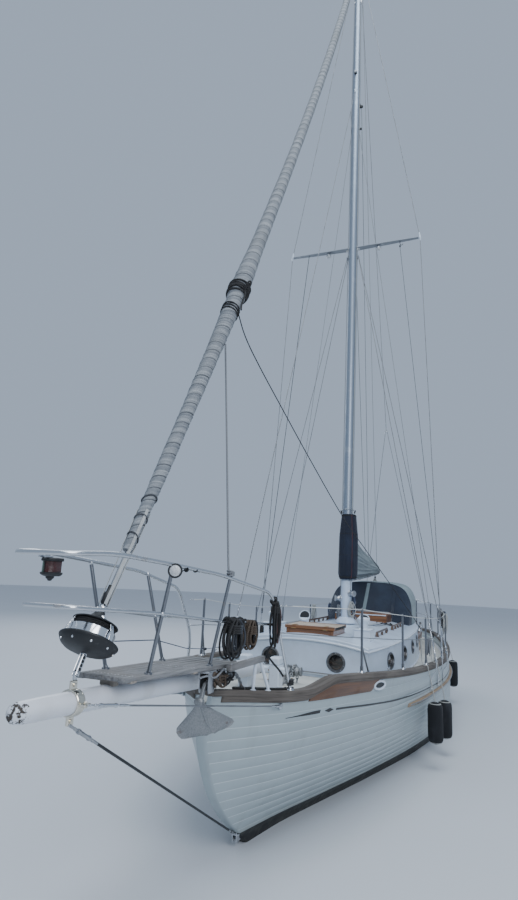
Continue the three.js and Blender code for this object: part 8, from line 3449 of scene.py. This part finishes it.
def build_rudder():
    base, turn = rudder_axis(KEEL_Z), rudder_turn()
    hs, backs, halves = zip(*BLADE)
    shape = Shape()
    rows = []
    for h in np.concatenate([[0.020, 0.024, 0.034], np.linspace(0.06, 3.29, 60), [3.316, 3.326, 3.330]]):
        back, half = float(smooth(hs, backs, h)), float(smooth(hs, halves, h))
        ease = 1 - 0.25 * max(0, 1 - min(h - 0.02, 3.33 - h) / 0.014)
        ring = []
        for k in range(17):
            a = -math.pi / 2 + math.pi * k / 16
            ring.append((0.035 * math.cos(a), min(half, 0.035) * ease * math.sin(a), h))
        for share in (0.12, 0.28, 0.45, 0.62, 0.78, 0.90, 0.97, 1.0):
            ring.append((-back * share, lerp(half * ease, 0.007, share ** 2.2), h))
        for share in (1.0, 0.97, 0.90, 0.78, 0.62, 0.45, 0.28, 0.12):
            ring.append((-back * share, -lerp(half * ease, 0.007, share ** 2.2), h))
        rows.append(base + np.array(ring) @ turn.T)
    shape.grid(rows, wrap=True)
    blade = piece(
        "rudder_blade", shape, HULL, body="rudder_body", instead="rudder", sharp=50
    )
    notches = []
    for z in GUDGEONS:
        h = (z - KEEL_Z) / POST_DIR[2]
        notch = Shape()
        ring = [(-0.044, -0.06), (0.06, -0.06), (0.06, 0.06), (-0.044, 0.06)]
        notch.grid(
            [base + np.array([(x, y, h + k) for x, y in ring]) @ turn.T for k in (-0.042, 0.042)], wrap=True
        )
        notches.append(notch)
    cut(blade, *notches)
    irons = Shape()
    for z in GUDGEONS:
        h = (z - KEEL_Z) / POST_DIR[2]
        at = lambda x, y, k: base + turn @ V3(x, y, h + k)
        irons.turned(
            at(0, 0, -0.0455), POST_DIR, [(0, 0.004), (0.001, 0.0118), (0.090, 0.0118), (0.091, 0.004)], 16
        )
        for side in (1, -1):
            for k in (0.066, -0.066):
                low, high = V3(-0.20, -0.004, -0.018), V3(0.030, 0.004, 0.018)
                half = float(np.interp(h, hs, halves))
                irons.block(
                    low, high, 0.003, turn=Matrix(turn.tolist()),
                    middle=at(-0.060, side * (half + 0.003), k)
                )
                for x in (-0.02, -0.07, -0.12):
                    irons.turned(
                        at(x, side * (half + 0.006), k), turn @ V3(0, side, 0),
                        [(0, 0.008), (0.003, 0.007), (0.004, 0.002)], 10
                    )
    piece("rudder_irons", irons, BRONZE, body="rudder_body")
    tiller = Shape()
    path = through(
        [
            V3(-5.185, 0, 1.428), V3(-4.900, 0, 1.440), V3(-4.450, 0, 1.500), V3(-4.000, 0, 1.580),
            V3(-3.780, 0, 1.590)
        ],
        0.03
    )
    share = arc_lengths(path) / arc_lengths(path)[-1]
    radii = np.interp(share, (0, 0.2, 0.52, 0.84, 0.93, 1), (0.033, 0.033, 0.0265, 0.0215, 0.021, 0.0235))
    tiller.bar(path, radii, 22)
    tiller.bar([V3(-3.792, 0, 1.5895), V3(-3.782, 0, 1.590)], [0.0235, 0.012], 22)
    tiller.block((-5.199, -0.046, 1.396), (-5.151, 0.046, 1.464), 0.004)
    for side in (1, -1):
        low, high = (-5.559, side * 0.0535 - 0.0055, 1.3955), (-5.151, side * 0.0535 + 0.0055, 1.4645)
        tiller.block(low, high, 0.003, finish=1)
        for x in (-5.50, -5.42, -5.24, -5.175):
            tiller.turned(
                (x, side * 0.0585, 1.43), (0, side, 0), [(0, 0.010), (0.0006, 0.0098), (0.0009, 0.004)], 12,
                finish=1
            )
    for k in range(9):
        c, r = path[int(len(path) * 0.80) + k // 2], 0.0235
        ring = hoop(c + V3(0.008 * (k % 2), 0, 0), V3(0, r, 0), V3(0, 0, r), 20)
        tiller.bar(ring, 0.0028, 6, loop=True, finish=2)
    piece(
        "tiller_bar", tiller, [VARNISH, BRONZE, WHITE_ROPE], body="rudder_body", instead="tiller",
    )


build_rudder()


# Three-bladed propeller on its shaft
def build_propeller():
    shape = Shape()
    c = V3(-4.150, 0, SHAFT_Z)
    hub = [
        (-0.065, 0.006), (-0.064, 0.018), (-0.055, 0.0265), (-0.03, 0.0295), (0.02, 0.033), (0.055, 0.0355),
        (0.0595, 0.033), (0.060, 0.014)
    ]
    shape.turned(c, (1, 0, 0), hub, 36)
    shape.turned(c, (1, 0, 0), [(0.050, 0.0158), (0.20, 0.0158), (0.4298, 0.0158)], 24)
    shape.turned(c - V3(0.065, 0, 0), (-1, 0, 0), [(-0.006, 0.017), (0.0, 0.0165), (0.0003, 0.006)], 6)
    for k in range(3):
        roll = Matrix.Rotation(2 * math.pi * k / 3 + 0.5, 3, "X")
        rows = []
        for h in np.linspace(0, 1, 16):
            reach = lerp(0.028, 0.2085, h)
            wide = 0.060 * math.sqrt(max(0.004, 1 - ((reach - 0.118) / 0.0925) ** 2))
            thick = lerp(0.0085, 0.0025, h)
            pitch = Matrix.Rotation(math.radians(lerp(44, 25, h)), 3, "Z")
            t = full_turn(28)
            ring = np.stack(
                [thick * np.sin(t) * (1 - 0.5 * np.abs(np.cos(t))), wide * np.cos(t), np.full(28, reach)], 1
            )
            ring[:, 0] += 0.004 * (np.cos(t) ** 2 - 0.4) * (wide / 0.06)
            rows.append(c + ring @ np.array(pitch).T @ np.array(roll).T)
        shape.grid(rows, wrap=True)
    piece(
        "propeller_wheel", shape, BRONZE, body="propeller_body", instead="propeller",
        sharp=45
    )


build_propeller()


# Winches, cleats and made-up lines on the deck and roof
def build_deck_lines():
    metal = Shape()
    for side in (1, -1):
        for x in (-2.450, -3.350):
            w = float(smooth(COAM_XS, COAM_HALF, x)) - 0.012
            z = coaming_top(x) - 0.002
            metal.turned(
                (x, side * w, z), (0, 0, 1), [(0, 0.062), (0.012, 0.062), (0.014, 0.050)], 28, finish=1
            )
            winch(metal, (x, side * w, z + 0.016), (0, 0, 1), 0.052 if x > -3 else 0.044, 0.120)
        for x in (2.9, -1.2, -4.0):
            c = cap_top(x)
            cleat(metal, (c[0], side * (c[1] - 0.006), c[2] - 0.0015), (1, 0, 0), (0, 0, 1))
    for y in (-0.33, 0.33):
        cleat(metal, (-0.35, y, float(roof_z(-0.35, y))), (1, 0, 0), (0, 0, 1))
    piece("deck_winches_and_cleats", metal, [STEEL, GREY_SLAT])
    small = Shape()
    at = V3(-0.42, 0.47, float(roof_z(-0.42, 0.47)))
    small.block(at + V3(-0.03, -0.10, 0.001), at + V3(0.03, 0.10, 0.030), 0.006)
    for y in (-0.07, 0.0, 0.07):
        small.block(at + V3(-0.020, y - 0.012, 0.028), at + V3(0.012, y + 0.012, 0.044), 0.004)
    piece("roof_line_stoppers", small, SOFT_BLACK)
    lines = Shape()
    for y, turn, finish in ((0.40, 80, 0), (0.47, 100, 1), (0.54, 120, 2)):
        start = mast_face(1.78, turn, 0.03)
        low = V3(0.36, y * 0.45, float(roof_z(0.3, y * 0.45)) + 0.014)
        end = V3(-0.40, y, float(roof_z(-0.4, y)) + 0.036)
        lines.bar(
            straight_run([low, V3(0.2, y * 0.75, float(roof_z(0.2, y * 0.75)) + 0.012), end], 0.05), 0.0048,
            8, finish=finish
        )
        lines.bar(through([start, start + V3(-0.01, 0.02, -0.06), low], 0.02), 0.0048, 8, finish=finish)
    for x, y, wide, turns, finish in (
        (-0.62, 0.56, 0.10, 5, 0), (-0.60, -0.52, 0.095, 5, 1), (-0.20, -0.62, 0.08, 4, 2)
    ):
        for k in range(turns):
            a = full_turn(36)
            r = wide * (0.62 + 0.09 * k)
            c = V3(x + 0.006 * math.sin(k * 2.0), y + 0.006 * math.cos(k * 3.0), 0)
            xs, ys = c[0] + np.cos(a) * r, c[1] + np.sin(a) * r * 0.9
            zs = [float(roof_z(p, q)) + 0.0075 + 0.004 * (k % 2) for p, q in zip(xs, ys)]
            lines.bar(np.stack([xs, ys, zs], 1), 0.0058, 8, loop=True, finish=finish)
    piece("roof_lines", lines, [WHITE_ROPE, BLUE_ROPE, GREY_ROPE])
    hung = Shape()
    for x, side, drop, wide, turns, finish, seed in (
        (-2.06, 1, 0.36, 0.19, 6, 0, 0.6), (-2.30, 1, 0.30, 0.17, 5, 1, 1.4),
        (-2.62, 1, 0.34, 0.20, 6, 3, 2.1), (-3.30, 1, 0.30, 0.18, 5, 2, 2.9),
        (0.86, 1, 0.22, 0.13, 4, 2, 0.9), (-2.20, -1, 0.34, 0.18, 6, 0, 1.8),
        (-3.05, -1, 0.30, 0.17, 5, 1, 2.6), (0.70, -1, 0.24, 0.14, 4, 3, 3.3),
    ):
        c = cap_top(x)
        up = LINE_TOP if x < 0 else LINE_LOW
        hank(
            hung, V3(x, side * (c[1] - 0.018), c[2] + up - 0.006), drop, wide, turns, 0.0068, finish,
            (0, side, 0), seed
        )
    piece("rail_rope_hanks", hung, [WHITE_ROPE, BLUE_ROPE, GREY_ROPE, DARK_ROPE])
    # Lines from the mast to the boom
    lift = Shape()
    top, low = V3(MASTHEAD[0] - 0.165, 0.036, 14.652), boom_at(4.050, 0.066)
    lift.bar(straight(top, low, 90), 0.0042, 8)
    fall = piece("topping_lift", lift, WIRE, body=None)
    tuple(map(float, top))
    tuple(map(float, low))
    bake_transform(fall)
    for side in (1, -1):
        jack = Shape()
        high = mast_face(11.12, 90 * side, 0.030)
        crest = boom_at(2.26, float(smooth(COVER_KS, COVER_HIGH, 2.26)) - 0.030, -0.030 * side)
        jack.bar(straight(high, crest, 90), 0.0034, 8)
        jack.ball(crest, (0.012, 0.012, 0.016), 10, 6)
        fall = piece(
            f"lazy_jack_{'port' if side > 0 else 'starboard'}", jack, DARK_ROPE, body=None,
        )
        tuple(map(float, high))
        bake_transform(fall)


build_deck_lines()


# Studio light and floor
def light_studio():
    world = bpy.data.worlds.new("studio")
    bpy.context.scene.world = world
    world.use_nodes = True
    sky = world.node_tree.nodes["Background"]
    sky.inputs["Color"].default_value = (0.58, 0.71, 0.90, 1)
    sky.inputs["Strength"].default_value = 0.64

    def lamp(name, place, target, size, power, colour):
        data = bpy.data.lights.new(name, "AREA")
        data.shape = "DISK"
        data.size = size
        data.energy = power
        data.color = colour
        made = bpy.data.objects.new(name, data)
        made.location = place
        made.rotation_euler = (Vector(target) - Vector(place)).to_track_quat("-Z", "Y").to_euler()
        bpy.context.scene.collection.objects.link(made)

    lamp("overhead", (6, 3, 22), (0, 0, 1), 14, 2500, (0.86, 0.94, 1.0))
    lamp("port bow", (13, 9, 9), (2, 0, 1), 8, 900, (0.95, 0.97, 1.0))
    lamp("starboard quarter", (-9, -12, 12), (0, 0, 1), 10, 700, (0.90, 0.95, 1.0))


# The pale floor, which is stage only
def lay_floor():
    mesh = bpy.data.meshes.new("floor")
    made = bmesh.new()
    bmesh.ops.create_circle(made, cap_ends=True, segments=96, radius=60)
    made.to_mesh(mesh)
    made.free()
    floor = bpy.data.objects.new("floor", mesh)
    bpy.context.scene.collection.objects.link(floor)
    f = Finish("pale floor")
    cloud = f.noise(f.object_place, 0.4, 2)
    tone = f.blend(cloud, (0.60, 0.62, 0.65), (0.64, 0.66, 0.69))
    mesh.materials.append(f.surface(tone, 0.75 + cloud * 0.05))


light_studio()
lay_floor()
